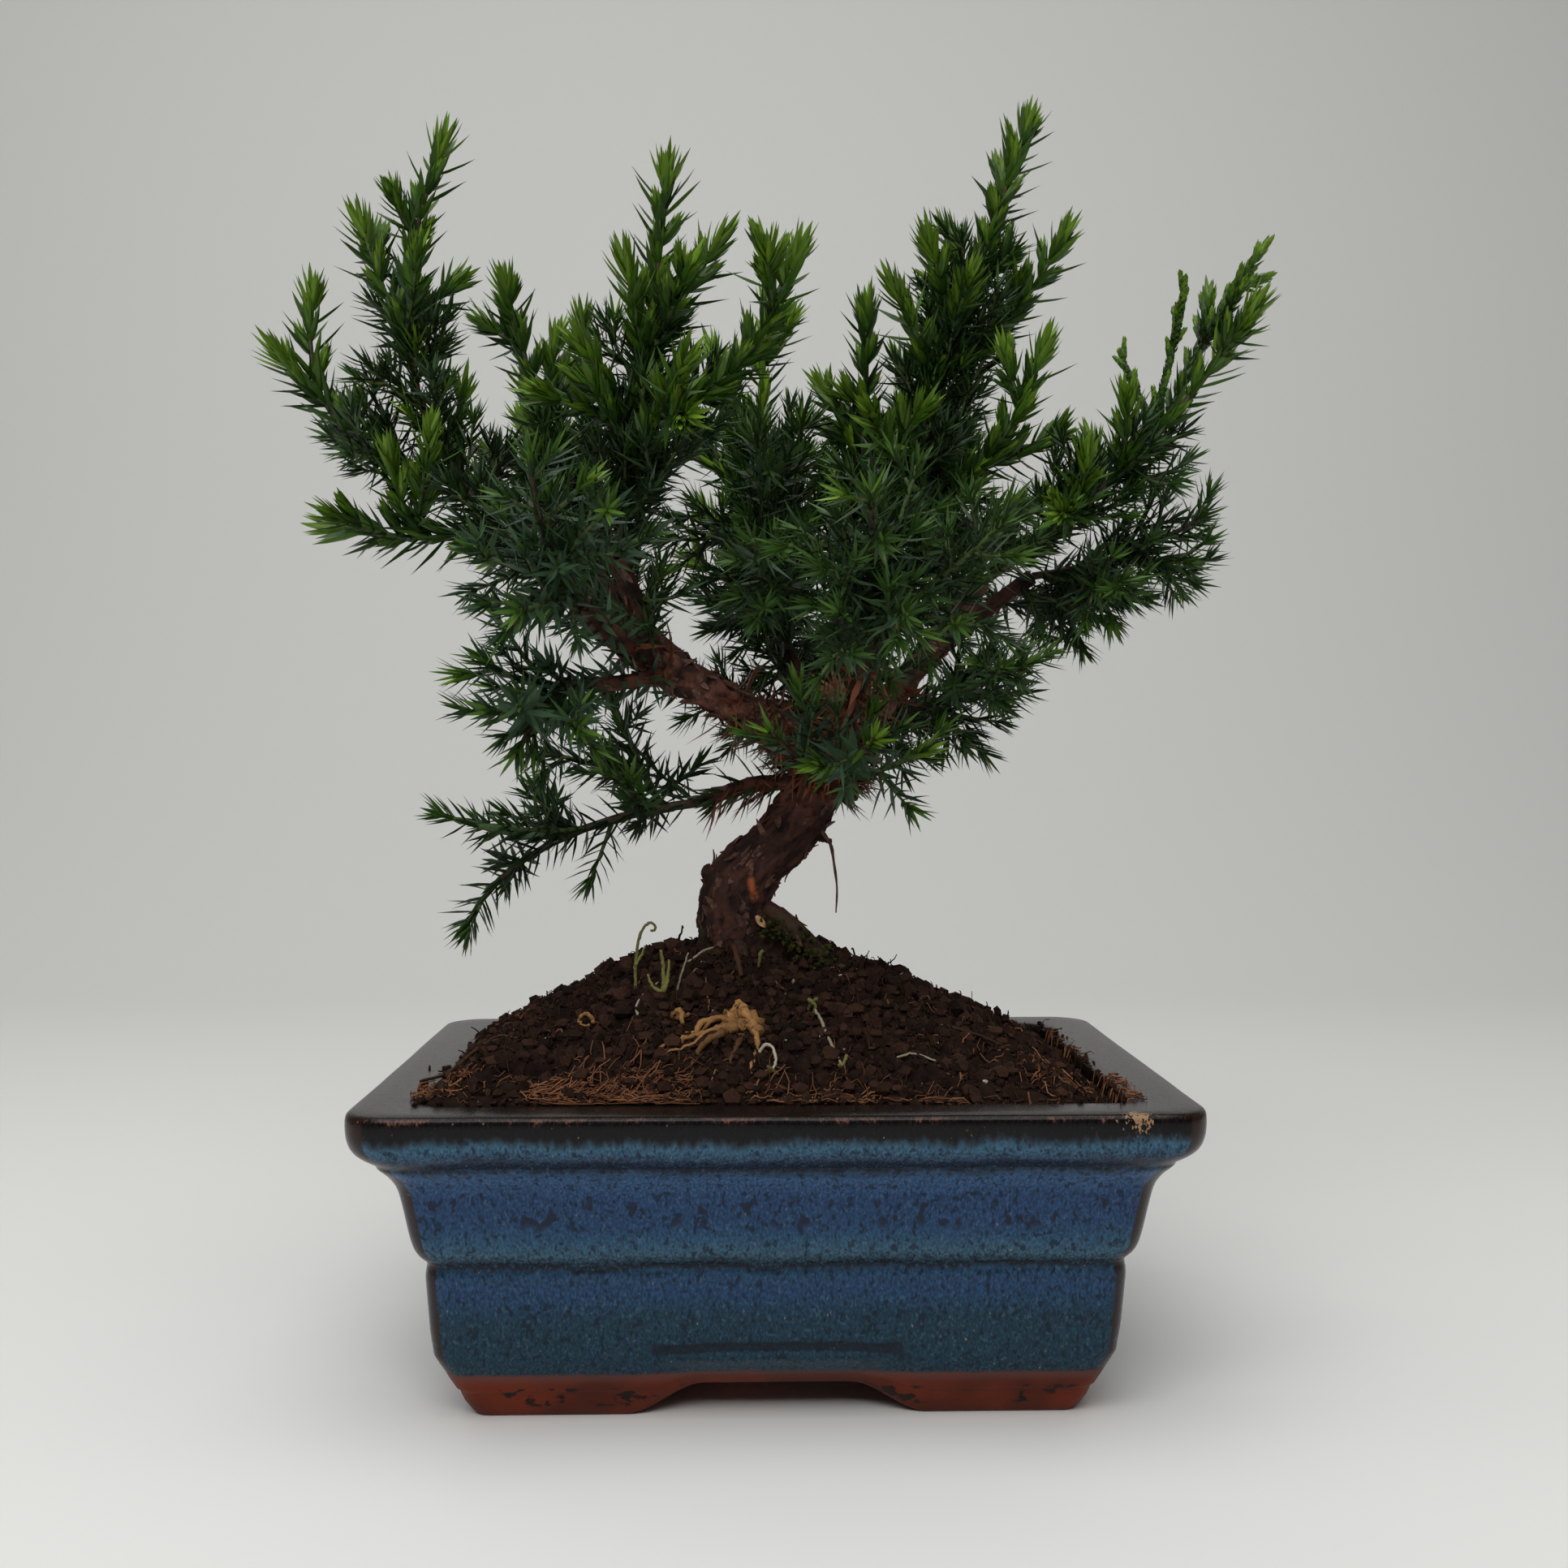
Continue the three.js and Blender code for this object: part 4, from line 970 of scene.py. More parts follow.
@dataclass
class Tree:
    """The lines of the whole tree: limbs, leading shoots and side twigs."""

    trunk_bends: tuple[tuple[float, float, float, float], ...] = (
        (-6.6, 0, 80, 8.4),
        (-6.7, -0.5, 84.5, 7.5),
        (-7.6, -1.5, 91, 6.7),
        (-4.4, -2, 96.6, 6.0),
        (0.5, 0, 101.2, 5.7),
        (4.8, 2, 106.0, 5.8),
        (8.8, 3, 112.3, 5.5),
        (11.0, 2, 118.3, 5.8),
        (12.0, 1, 124.0, 4.4),
    )
    trunk_steps: int = 2
    bough_steps: int = 4
    fine_trunk_steps: int = 8
    fine_bough_steps: int = 14
    rule: GrowthRule = GrowthRule()
    slimmer: dict[str, float] = field(default_factory=lambda: {"bough_low_left": 0.68})

    def __post_init__(self) -> None:
        """Lays out the limbs and the shoots."""
        self.limbs = {"trunk": self.trunk(self.trunk_steps)}
        for bough in BOUGHS:
            start = self.limbs[bough.grows_from].along(bough.at)[0]
            self.limbs[bough.name] = self._bough(bough, start, self.bough_steps)
        self.shoots = {mass.name: self._lay_out_shoots(mass) for mass in MASSES}
        self.limb_lines = Lines(list(self.limbs.values()))
        self.own = {name: Lines(shoots) for name, shoots in self.shoots.items()}
        self.others = {
            mass.name: Lines([s for m in MASSES if m is not mass for s in self.shoots[m.name]])
            for mass in MASSES
        }

    def trunk(self, steps: int) -> Line:
        """The trunk's line, smoothed through its bends with so many steps between two bends."""
        bends = np.array(self.trunk_bends)
        places = np.arange((len(bends) - 1) * steps + 1) / steps
        radii = np.interp(places, np.arange(len(bends)), bends[:, 3])
        return Line(smooth_curve(bends[:, :3], steps), radii)

    @staticmethod
    def _bough(bough: Bough, start: np.ndarray, steps: int) -> Line:
        """A bough's line in so many steps from its start."""
        points = bent_line(start, np.array(bough.bend), np.array(bough.tip), steps)
        return Line(points, np.linspace(bough.base, bough.end, steps + 1))

    def fine_limb(self, name: str) -> Line:
        """The line of a limb in small steps, for its skin."""
        if name == "trunk":
            return self.trunk(self.fine_trunk_steps)
        bough = next(b for b in BOUGHS if b.name == name)
        line = self._bough(bough, self.limbs[name].points[0], self.fine_bough_steps)
        return Line(line.points, line.radii * self.slimmer.get(name, 1.0))

    def _lay_out_shoots(self, mass: Mass) -> list[Line]:
        """The leading shoots of a mass.

        Args:
            mass: The mass.

        Returns:
            One line for each shoot.
        """
        rule = self.rule
        shoots: list[Line] = []
        for shoot in mass.shoots:
            is_stem = shoot.on is None
            parent = self.limbs[mass.limb] if is_stem else shoots[shoot.on]
            point, direction, radius = parent.along(mass.at if is_stem else shoot.at)
            tip = np.array(shoot.tip, float)
            reach = float(np.linalg.norm(tip - point))
            if shoot.bend:
                bend = np.array(shoot.bend, float)
            else:
                set_out = point + rule.set_out * reach * direction
                bend = (set_out + (point + tip) / 2) / 2 - np.array([0, 0, rule.sag * reach])
            base = min(radius, rule.thickest_shoot) if is_stem else rule.shoot_shrink * radius
            base = max(base, rule.shoot_tip_radius)
            radii = np.linspace(base, rule.shoot_tip_radius, rule.samples + 1)
            shoots.append(Line(bent_line(point, bend, tip, rule.samples), radii))
        return shoots

    def stays_in_space(
        self, mass: Mass, bases: np.ndarray, tips: np.ndarray, mass_room: float, limb_room: float
    ) -> np.ndarray:
        """Whether straight twigs stay in the crown, in their mass's space and off every limb.

        Args:
            mass: The mass that they belong to.
            bases: Where they start.
            tips: Where they end.
            mass_room: How much nearer they are to their own mass than to any other.
            limb_room: How far they keep from the limbs.

        Returns:
            One answer for each twig.
        """
        low, high = np.array(self.rule.crown_low), np.array(self.rule.crown_high)
        fits = ((tips >= low) & (tips <= high)).all(axis=1)
        for share in self.rule.space_probes:
            probes = bases + (tips - bases) * share
            to_own = np.maximum(self.own[mass.name].distance(probes), 0)
            fits &= self.others[mass.name].distance(probes) >= to_own + mass_room
            fits &= self.limb_lines.distance(probes) >= limb_room
        return fits

    def _has_room(self, base: np.ndarray, tip: np.ndarray, lines: Sequence[Line]) -> bool:
        """Whether the outer part of a twig keeps its distance from the other lines."""
        if not lines:
            return True
        probes = np.array([mix(base, tip, share) for share in self.rule.room_probes])
        return bool((Lines(lines).distance(probes) > self.rule.twig_room).all())

    @staticmethod
    def leaning_out(direction: np.ndarray, turn: float, lean: float) -> np.ndarray:
        """Direction that leans out from a line, by an angle and at an angle round it.

        Args:
            direction: The line's direction.
            turn: The angle round it.
            lean: The angle away from it.

        Returns:
            The unit direction.
        """
        side = any_side(direction)
        u = unit(side - direction * (side @ direction))
        v = np.cross(direction, u)
        outward = math.cos(turn) * u + math.sin(turn) * v
        return math.cos(lean) * direction + math.sin(lean) * outward

    def grow_twigs(self, mass: Mass, order: int) -> list[tuple[int, float, Line]]:
        """The side twigs of a mass, the same ones as in its solid.

        Args:
            mass: The mass.
            order: Its place in the row of masses.

        Returns:
            For each twig the number of its shoot, its share along it and its line.
        """
        rule = self.rule
        lines = list(self.shoots[mass.name])
        grown: list[tuple[int, float, Line]] = []
        for index, shoot in enumerate(self.shoots[mass.name]):
            draws = Draws(rule.seeds_per_mass * order + index)
            length = shoot.length()
            twigs: list[Line] = []
            turn = 360 * draws.next()
            s = rule.twig_start
            while s < length - rule.twig_end:
                turn += rule.golden_angle
                share = s / length
                reach = mix(rule.twig_long, rule.twig_short, share)
                reach *= mix(*rule.twig_reach, draws.next())
                lean = rule.twig_lean + rule.twig_scatter * (2 * draws.next() - 1)
                point, direction, _ = shoot.along(share)
                out = self.leaning_out(direction, math.radians(turn), math.radians(lean))
                others = [line for line in lines + twigs if line is not shoot]
                for part in rule.twig_trims if out[2] > rule.twig_steepest else ():
                    tip = point + out * part * reach
                    stays = self.stays_in_space(
                        mass, point[None], tip[None], rule.mass_room, rule.limb_room
                    )
                    if stays[0] and self._has_room(point, tip, others):
                        twig = Line(np.array([point, tip]), np.full(2, rule.twig_radius))
                        twigs.append(twig)
                        grown.append((index, share, twig))
                        break
                s += rule.twig_spacing
            lines += twigs
        return grown


# Foliage


class Tone(Enum):
    """The tones that sprays of needles are dealt, from deep shade to new growth."""

    DEEP = 0
    OLD = 1
    GREEN = 2
    YOUNG = 3
    FRESH = 4
    BLUISH = 5
    PALE = 6
    DEAD = 7


TONES: dict[Tone, tuple[Colour, Colour]] = {
    Tone.DEEP: (colour(42, 60, 36), colour(27, 43, 19)),
    Tone.OLD: (colour(54, 79, 42), colour(34, 55, 22)),
    Tone.GREEN: (colour(58, 87, 35), colour(42, 70, 19)),
    Tone.YOUNG: (colour(78, 110, 38), colour(60, 92, 22)),
    Tone.FRESH: (colour(106, 138, 44), colour(88, 118, 28)),
    Tone.BLUISH: (colour(60, 84, 60), colour(36, 57, 32)),
    Tone.PALE: (colour(128, 160, 52), colour(112, 146, 40)),
    Tone.DEAD: (colour(132, 82, 58), colour(104, 60, 42)),
}


@dataclass(frozen=True)
class Leafing:
    """How needles stand on a stem: sizes in millimetres and angles in degrees."""

    pitch: float
    length: float
    width: float
    lean: float
    tip_lean: float
    curve: float


OLD_WOOD = Leafing(pitch=2.0, length=7.0, width=0.84, lean=58, tip_lean=34, curve=0.08)
YOUNG_WOOD = Leafing(pitch=2.6, length=8.0, width=1.2, lean=50, tip_lean=24, curve=0.08)
LEADER = Leafing(pitch=2.7, length=8.8, width=1.45, lean=48, tip_lean=18, curve=0.06)
FEATHER = Leafing(pitch=2.2, length=7.2, width=1.1, lean=58, tip_lean=32, curve=0.06)
TUFT = Leafing(pitch=1.1, length=6.6, width=1.4, lean=28, tip_lean=8, curve=0.04)
SCALES = Leafing(pitch=0.8, length=1.6, width=1.2, lean=26, tip_lean=14, curve=0.16)


@dataclass(frozen=True)
class Growth:
    """How finer twigs stand on a line. Sizes in millimetres and angles in degrees."""

    spacing: float
    lean: float
    foot_reach: float
    tip_reach: float
    limb_room: float = 1.0
    start: float = 2.0
    carries: "Growth | None" = None


TWIGLETS = Growth(spacing=3.8, lean=44, foot_reach=10.5, tip_reach=6.0)
SPARSE_TWIGLETS = Growth(spacing=4.4, lean=44, foot_reach=9.0, tip_reach=5.0)
LEADER_TWIGS = Growth(spacing=3.6, lean=46, foot_reach=14.0, tip_reach=6.0)
FILLERS = Growth(spacing=5.0, lean=50, foot_reach=19, tip_reach=11, carries=SPARSE_TWIGLETS)
LIMB_TWIGS = Growth(
    spacing=3.0, lean=60, foot_reach=12, tip_reach=11, limb_room=0.1, carries=SPARSE_TWIGLETS
)


@dataclass
class Spray:
    """A stem with needles: how young it is at both ends, and how and where they stand."""

    line: Line
    young: tuple[float, float]
    leafing: Leafing
    habit: Habit
    span: tuple[float, float] = (0.0, 1.0)
    stem: float = 1.0
    has_bark: bool = False


@dataclass(frozen=True)
class DeadPatch:
    """Dry brown needles on a limb: where they begin and end, how many and how far they droop."""

    limb: str
    start: float
    end: float
    count: int
    droop: float = 0.3


DEAD_PATCHES = (
    DeadPatch("trunk", 0.78, 1.0, 420, 0.4),
    DeadPatch("bough_left", 0.0, 0.5, 150, 0.2),
    DeadPatch("bough_left", 0.8, 1.0, 40, 0.0),
    DeadPatch("bough_low_left", 0.1, 1.0, 40, 1.2),
    DeadPatch("bough_right_rising", 0.0, 0.5, 70, 0.0),
    DeadPatch("bough_right_outer", 0.0, 0.5, 70, 0.1),
    DeadPatch("bough_inner", 0.0, 0.6, 50, 0.0),
    DeadPatch("bough_front_right", 0.0, 0.8, 90, 0.1),
    DeadPatch("bough_back", 0.0, 0.5, 40, 0.0),
    DeadPatch("bough_back_low", 0.0, 0.6, 40, 0.1),
    DeadPatch("bough_under_right", 0.0, 0.8, 50, 0.4),
)


@dataclass
class Foliage:
    """Shoots, twigs and needles of every mass.

    Lengths are in millimetres, angles in degrees and ages from 0, old, to 1, young.
    """

    tree: Tree
    seed: int = 7
    per_whorl: int = 3
    shoot_ages: tuple[float, float] = (0.1, 0.45)
    filler_ages: tuple[float, float] = (0.1, 0.25)
    limb_ages: tuple[float, float] = (0.1, 0.2)
    tip_youth: float = 1.15
    aging_length: float = 65.0
    young_twig_from: float = 0.6
    young_twiglet_from: float = 0.65
    tuft_gain: float = 0.25
    twig_gain: float = 0.05
    reach_range: tuple[float, float] = (0.75, 1.2)
    step_range: tuple[float, float] = (0.8, 1.2)
    lean_range: tuple[float, float] = (0.8, 1.2)
    length_range: tuple[float, float] = (0.78, 1.12)
    width_range: tuple[float, float] = (0.88, 1.1)
    curve_range: tuple[float, float] = (0.2, 1.7)
    bluish_share: float = 0.75
    pale_share: float = 0.8
    stray_bluish_share: float = 0.22
    dead_lengths: tuple[float, float] = (4.5, 10.0)
    dead_widths: tuple[float, float] = (0.8, 1.5)
    dead_leans: tuple[float, float] = (55, 95)
    filler_depth: float = 40.0
    limb_depth: float = 90.0
    carried_depth: float = 60.0
    shoot_stem: float = 0.5
    twig_stem: float = 0.55
    twig_taper: float = 0.6
    twig_radii: tuple[float, float] = (0.5, 0.35)
    tuft_zone: float = 44.0
    tuft_spacing: float = 3.2
    rise: float = 0.4
    tip_cut: float = 2.2
    tuft_reach: float = 3.6
    tuft_lean: float = 33.0
    filler_zone: float = 34.0
    sparse: float = 0.6
    scatter: float = 12.0
    mass_room: float = 0.4
    slim: tuple[float, ...] = (0.0, 0.42)
    slim_widths: tuple[float, ...] = (0.66, 1.0)
    full: tuple[float, ...] = (0.0, 0.30, 0.68)
    full_widths: tuple[float, ...] = (0.70, 1.0, 0.66)
    keel: float = 0.28
    upper: int = 0
    under: int = 1
    bare: dict[str, float] = field(default_factory=lambda: {
        "bough_low_left": 0.15, "bough_inner": 0.45, "bough_right_rising": 0.4,
        "bough_right_outer": 0.4, "bough_front_right": 0.35, "bough_back": 0.3,
        "bough_back_low": 0.3, "bough_under_right": 0.3,
    })
    sprays: list[Spray] = field(default_factory=list)

    def __post_init__(self) -> None:
        """Starts the seeded draws."""
        self.random = np.random.default_rng(self.seed)
        self.rows: list[np.ndarray] = []
        self.tones: list[np.ndarray] = []

    def build(self) -> None:
        """Grows and dresses every mass."""
        for order, mass in enumerate(MASSES):
            self._grow_mass(mass, order)
        log.info("%d sprays", len(self.sprays))
        for spray in self.sprays:
            self._needles_on(spray)
        for patch in DEAD_PATCHES:
            self._dead_needles(patch)
        self._make_twigs()
        self._make_needles()

    def _grow_mass(self, mass: Mass, order: int) -> None:
        """Turns a mass's shoots and twigs into sprays and grows finer twigs on them.

        Args:
            mass: The mass.
            order: Its place in the row of masses.
        """
        shoots = self.tree.shoots[mass.name]
        rising = mass.habit in (Habit.RISING, Habit.PALE)
        vigour = (1.0 if rising else 0.5) + mass.vigour
        sparse = mass.fullness < self.sparse
        for shoot, plan in zip(shoots, mass.shoots):
            shoot = self._part(shoot, 1 - self.tip_cut / shoot.length())
            length = shoot.length()
            tufts_from = float(np.clip(1 - self.tuft_zone / length, 0.0, 1.0))
            young = (vigour * mix(*self.shoot_ages, 1 - tufts_from), vigour)
            middle = mix(young[0], young[1], tufts_from)
            if rising and tufts_from > 0.05:
                low = self._blend(OLD_WOOD, SCALES, plan.scaly)
                span = (0.06, tufts_from)
                ages = (young[0], middle)
                self.sprays.append(Spray(shoot, ages, low, mass.habit, span, self.shoot_stem))
            plain = FEATHER if sparse else OLD_WOOD
            top = self._blend(LEADER if rising else plain, SCALES, plan.scaly)
            span = (tufts_from, 1.0) if rising else (mass.foot, 1.0)
            ages = (middle, young[1]) if rising else young
            self.sprays.append(Spray(shoot, ages, top, mass.habit, span, self.shoot_stem))
            outer = self._part(shoot, 1.0, mass.foot) if mass.foot > 0.1 else shoot
            self._side_twigs(mass, outer, young, 0.0, plan.scaly, LEADER_TWIGS, rising)
            if plan.scaly == 0 and length > self.filler_zone + 10 and not sparse:
                older = self._part(shoot, 1 - self.filler_zone / length)
                self._side_twigs(mass, older, self.filler_ages, self.filler_depth, 0.0, FILLERS)
        for index, share, twig in self.tree.grow_twigs(mass, order):
            left = shoots[index].length() * (1 - share)
            near_tip = vigour * float(np.clip(self.tip_youth - left / self.aging_length, 0.15, 1))
            young = (near_tip * 0.6, near_tip)
            scaly = mass.shoots[index].scaly
            plain = FEATHER if sparse else OLD_WOOD
            leafing = YOUNG_WOOD if near_tip > self.young_twig_from else plain
            leafing = self._blend(leafing, SCALES, scaly)
            curved = self._curved(twig)
            self.sprays.append(Spray(curved, young, leafing, mass.habit, stem=self.twig_stem))
            if not sparse:
                self._side_twigs(mass, twig, young, left, scaly, TWIGLETS, rising)
        if mass.limb != "trunk":
            limb = self._part(self.tree.limbs[mass.limb], 1.0, self.bare.get(mass.limb, 0.0))
            if sparse:
                ages = self.filler_ages
                self.sprays.append(Spray(limb, ages, FEATHER, mass.habit, has_bark=True))
            else:
                self._side_twigs(mass, limb, self.limb_ages, self.limb_depth, 0.0, LIMB_TWIGS)

    @staticmethod
    def _part(line: Line, end: float, start: float = 0.0) -> Line:
        """The part of a line between two shares of it."""
        shares = np.linspace(start, end, len(line.points))
        spots = [line.along(float(share)) for share in shares]
        return Line(np.array([s[0] for s in spots]), np.array([s[2] for s in spots]))

    @staticmethod
    def _blend(first: Leafing, second: Leafing, share: float) -> Leafing:
        """A leafing at a share of the way from the first to the second."""
        pairs = zip(astuple(first), astuple(second))
        return Leafing(*(mix(a, b, share) for a, b in pairs))

    def _curved(self, twig: Line, lift: float = 0.10) -> Line:
        """A straight twig bent a little towards the light."""
        start, tip = twig.points[0], twig.points[-1]
        reach = np.linalg.norm(tip - start)
        bend = (start + tip) / 2 - np.array([0, 0, lift * reach])
        points = bent_line(start, bend, tip, 4)
        tip_radius = twig.radii[-1] * self.twig_taper
        return Line(points, np.linspace(twig.radii[0], tip_radius, len(points)))

    def _side_twigs(
        self,
        mass: Mass,
        parent: Line,
        young: tuple[float, float],
        left: float,
        scaly: float,
        growth: Growth,
        tufted: bool = False,
    ) -> None:
        """Grows finer twigs and tufts on a line, inside the space of its mass.

        Args:
            mass: The mass.
            parent: The line that they grow on.
            young: How young that line is at both ends.
            left: The length from the end of the line to the tip of the leading shoot.
            scaly: How far the needles are pressed to scales.
            growth: How the twigs stand.
            tufted: Whether short closed tufts take their place near the leading tip.
        """
        length = parent.length()
        rising = mass.habit in (Habit.RISING, Habit.PALE)
        angle = self.random.uniform(0, 2 * math.pi)
        bases, tips, youth, tufts = [], [], [], []
        place = growth.start
        while place < length - 1.5:
            share = place / length
            from_tip = left + (length - place) * (1.0 if left == 0 else 0.4)
            is_tuft = tufted and from_tip < self.tuft_zone
            step = (self.tuft_spacing if is_tuft else growth.spacing) / mass.fullness
            lean = self.tuft_lean if is_tuft else growth.lean
            lean = math.radians(lean + self.random.uniform(-1, 1) * self.scatter)
            if is_tuft:
                reach = self.tuft_reach * min(1.0, 0.4 + from_tip / 20)
            else:
                reach = mix(growth.foot_reach, growth.tip_reach, share)
            reach *= self.random.uniform(*self.reach_range)
            angle += math.radians(GrowthRule.golden_angle)
            point, direction, _ = parent.along(share)
            out = self.tree.leaning_out(direction, angle, lean)
            if rising:
                out = unit(out + np.array([0, 0, self.rise]))
            if out[2] > -0.8 or not rising:
                bases.append(point)
                tips.append(point + out * reach)
                youth.append(mix(young[0], young[1], share))
                tufts.append(is_tuft)
            place += step * self.random.uniform(*self.step_range) * (0.8 if scaly > 0 else 1.0)
        if not bases:
            return
        starts, ends = np.array(bases), np.array(tips)
        fits = self.tree.stays_in_space(mass, starts, ends, self.mass_room, growth.limb_room)
        for i in np.flatnonzero(fits):
            lift = 0.04 if tufts[i] or not rising else 0.12
            straight = Line(np.array([starts[i], ends[i]]), np.array(self.twig_radii))
            twig = self._curved(straight, lift)
            gain = self.tuft_gain if tufts[i] else self.twig_gain
            age = min(1.0, youth[i] + gain + self.random.normal(0, 0.08))
            plain = YOUNG_WOOD if youth[i] > self.young_twiglet_from else OLD_WOOD
            leafing = self._blend(TUFT if tufts[i] else plain, SCALES, scaly)
            self.sprays.append(Spray(twig, (age * 0.7, age), leafing, mass.habit))
            if growth.carries and not tufts[i]:
                ages = (youth[i], youth[i] + 0.1)
                self._side_twigs(mass, twig, ages, self.carried_depth, scaly, growth.carries)

    def _needles_on(self, spray: Spray) -> None:
        """Lays out the needles of one spray.

        Args:
            spray: The spray.
        """
        line, leafing = spray.line, spray.leafing
        length = line.length()
        first, last = spray.span
        places = np.arange(length * first + 0.6, length * last - 0.2, leafing.pitch)
        if last >= 1:
            buds = 2 + round(3 * spray.young[1])
            places = np.append(places, length - 0.75 * np.arange(buds))
        shares = np.clip(places / length, 0, 1)
        steps = shares * (len(line.points) - 1)
        base = np.arange(len(line.points))
        centre, axis, side = (
            np.stack([np.interp(steps, base, column) for column in values.T], 1)
            for values in (line.points, *frames_along(line.points)[:2])
        )
        axis = unit(axis)
        side = unit(side - axis * (side * axis).sum(1, keepdims=True))
        other = np.cross(axis, side)
        stem = np.interp(steps, base, line.radii) * spray.stem
        count = self.per_whorl
        turn = self.random.uniform(0, 2 * math.pi) + np.arange(len(places)) * math.pi / count
        turns = turn[:, None] + np.arange(count) * 2 * math.pi / count
        turns += self.random.normal(0, 0.16, turns.shape)
        radial = np.cos(turns)[..., None] * side[:, None]
        radial = radial + np.sin(turns)[..., None] * other[:, None]
        grid = (len(places), count)
        young = np.interp(shares, [first, last], spray.young)
        bud = smooth_step(-6.0, 0.0, places - length)
        lean = leafing.lean + (leafing.tip_lean - leafing.lean) * bud**0.8
        lean = np.radians(lean)[:, None] * self.random.uniform(*self.lean_range, grid)
        size = leafing.length * (1 - 0.25 * bud)[:, None]
        size = size * self.random.uniform(*self.length_range, grid)
        width = leafing.width * (1 - 0.2 * bud)[:, None]
        width = width * self.random.uniform(*self.width_range, grid)
        start = centre[:, None] + radial * (0.75 * stem)[:, None, None]
        axes = np.broadcast_to(axis[:, None], radial.shape)
        curve = np.full(grid, leafing.curve) * self.random.uniform(*self.curve_range, grid)
        numbers = np.stack([size, width, lean, curve], axis=-1)
        rows = np.concatenate([start, axes, radial, numbers], axis=-1)
        self.rows.append(rows.reshape(-1, rows.shape[-1]))
        self.tones.append(self._deal_tones(spray, young, bud, grid).ravel())

    def _deal_tones(
        self, spray: Spray, young: np.ndarray, bud: np.ndarray, grid: tuple[int, int]
    ) -> np.ndarray:
        """Deals tones to the needles of a spray.

        Args:
            spray: The spray.
            young: How young the stem is at each whorl.
            bud: How near each whorl is to the bud at the end.
            grid: The numbers of whorls and of needles in each.

        Returns:
            The tone's number for each needle.
        """
        shift = self.random.normal(0, 0.07)
        fresh = young * 0.72 + bud * 0.34 * (0.25 + young) - 0.02 + shift
        fresh = fresh[:, None] + self.random.normal(0, 0.06, grid)
        tone = np.clip(np.floor(fresh * 5), 0, 4).astype(int)
        draw = self.random.random(grid)
        if spray.habit is Habit.BLUISH:
            swapped = (tone <= Tone.GREEN.value) & (draw < self.bluish_share)
            tone = np.where(swapped, Tone.BLUISH.value, tone)
        elif spray.habit is Habit.PALE:
            swapped = (tone >= Tone.YOUNG.value) & (draw < self.pale_share)
            tone = np.where(swapped, Tone.PALE.value, tone)
        else:
            swapped = (tone == Tone.OLD.value) & (draw < self.stray_bluish_share)
            tone = np.where(swapped, Tone.BLUISH.value, tone)
        return tone

    def _dead_needles(self, patch: DeadPatch) -> None:
        """Lays out the dry needles that still hang on a limb.

        Args:
            patch: Where they hang and how many they are.
        """
        line = self.tree.fine_limb(patch.limb)
        along, across, other = frames_along(line.points)
        row = self.random.uniform(patch.start, patch.end, patch.count) * (len(line.points) - 1)
        index = np.minimum(row.astype(int), len(line.points) - 2)
        share = (row - index)[:, None]
        centre = line.points[index] * (1 - share) + line.points[index + 1] * share
        turn = self.random.uniform(0, 2 * math.pi, patch.count)[:, None]
        radial = np.cos(turn) * across[index] + np.sin(turn) * other[index]
        start = centre + radial * (line.radii[index] * 0.85)[:, None]
        hang = np.array([0, 0, -1.0]) * patch.droop
        radial = unit(radial + hang + self.random.normal(0, 0.35, radial.shape))
        axis = unit(np.cross(np.cross(radial, along[index]), radial))
        size = self.random.uniform(*self.dead_lengths, patch.count)
        width = self.random.uniform(*self.dead_widths, patch.count)
        lean = np.radians(self.random.uniform(*self.dead_leans, patch.count))
        curve = self.random.normal(0.0, 0.16, patch.count)
        self.rows.append(np.column_stack([start, axis, radial, size, width, lean, curve]))
        self.tones.append(np.full(patch.count, Tone.DEAD.value))

    def _make_needles(self) -> None:
        """Makes the pieces of the needles, each tone apart."""
        rows = np.concatenate(self.rows)
        tones = np.concatenate(self.tones)
        clear = self.tree.limb_lines.distance(rows[:, :3] + rows[:, 6:9] * 2.0) > 0.2
        clear |= tones == Tone.DEAD.value
        rows, tones = rows[clear], tones[clear]
        log.info("%d needles", len(rows))
        masses = [mass.name for mass in MASSES]
        for tone in Tone:
            chosen = rows[tones == tone.value]
            if not len(chosen):
                continue
            full = tone in (Tone.YOUNG, Tone.FRESH, Tone.PALE)
            name = f"needles_{tone.name.lower()}"
            upper, under = TONES[tone]
            materials = [Leaf(f"{name}_upper", upper).material(), Leaf(name, under).material()]
            faces_each = 6 * len(self.full if full else self.slim) - 2
            parts = math.ceil(len(chosen) * faces_each / LARGEST_PIECE)
            for part, block in enumerate(np.array_split(chosen, parts)):
                points, faces, finishes = self._needle_mesh(block, full)
                skin = Skin()
                skin.add(points, faces)
                skin.finishes = [finishes]
                piece = skin.build(f"{name}_{part + 1}", materials, smooth=False)
                settle(piece, masses)

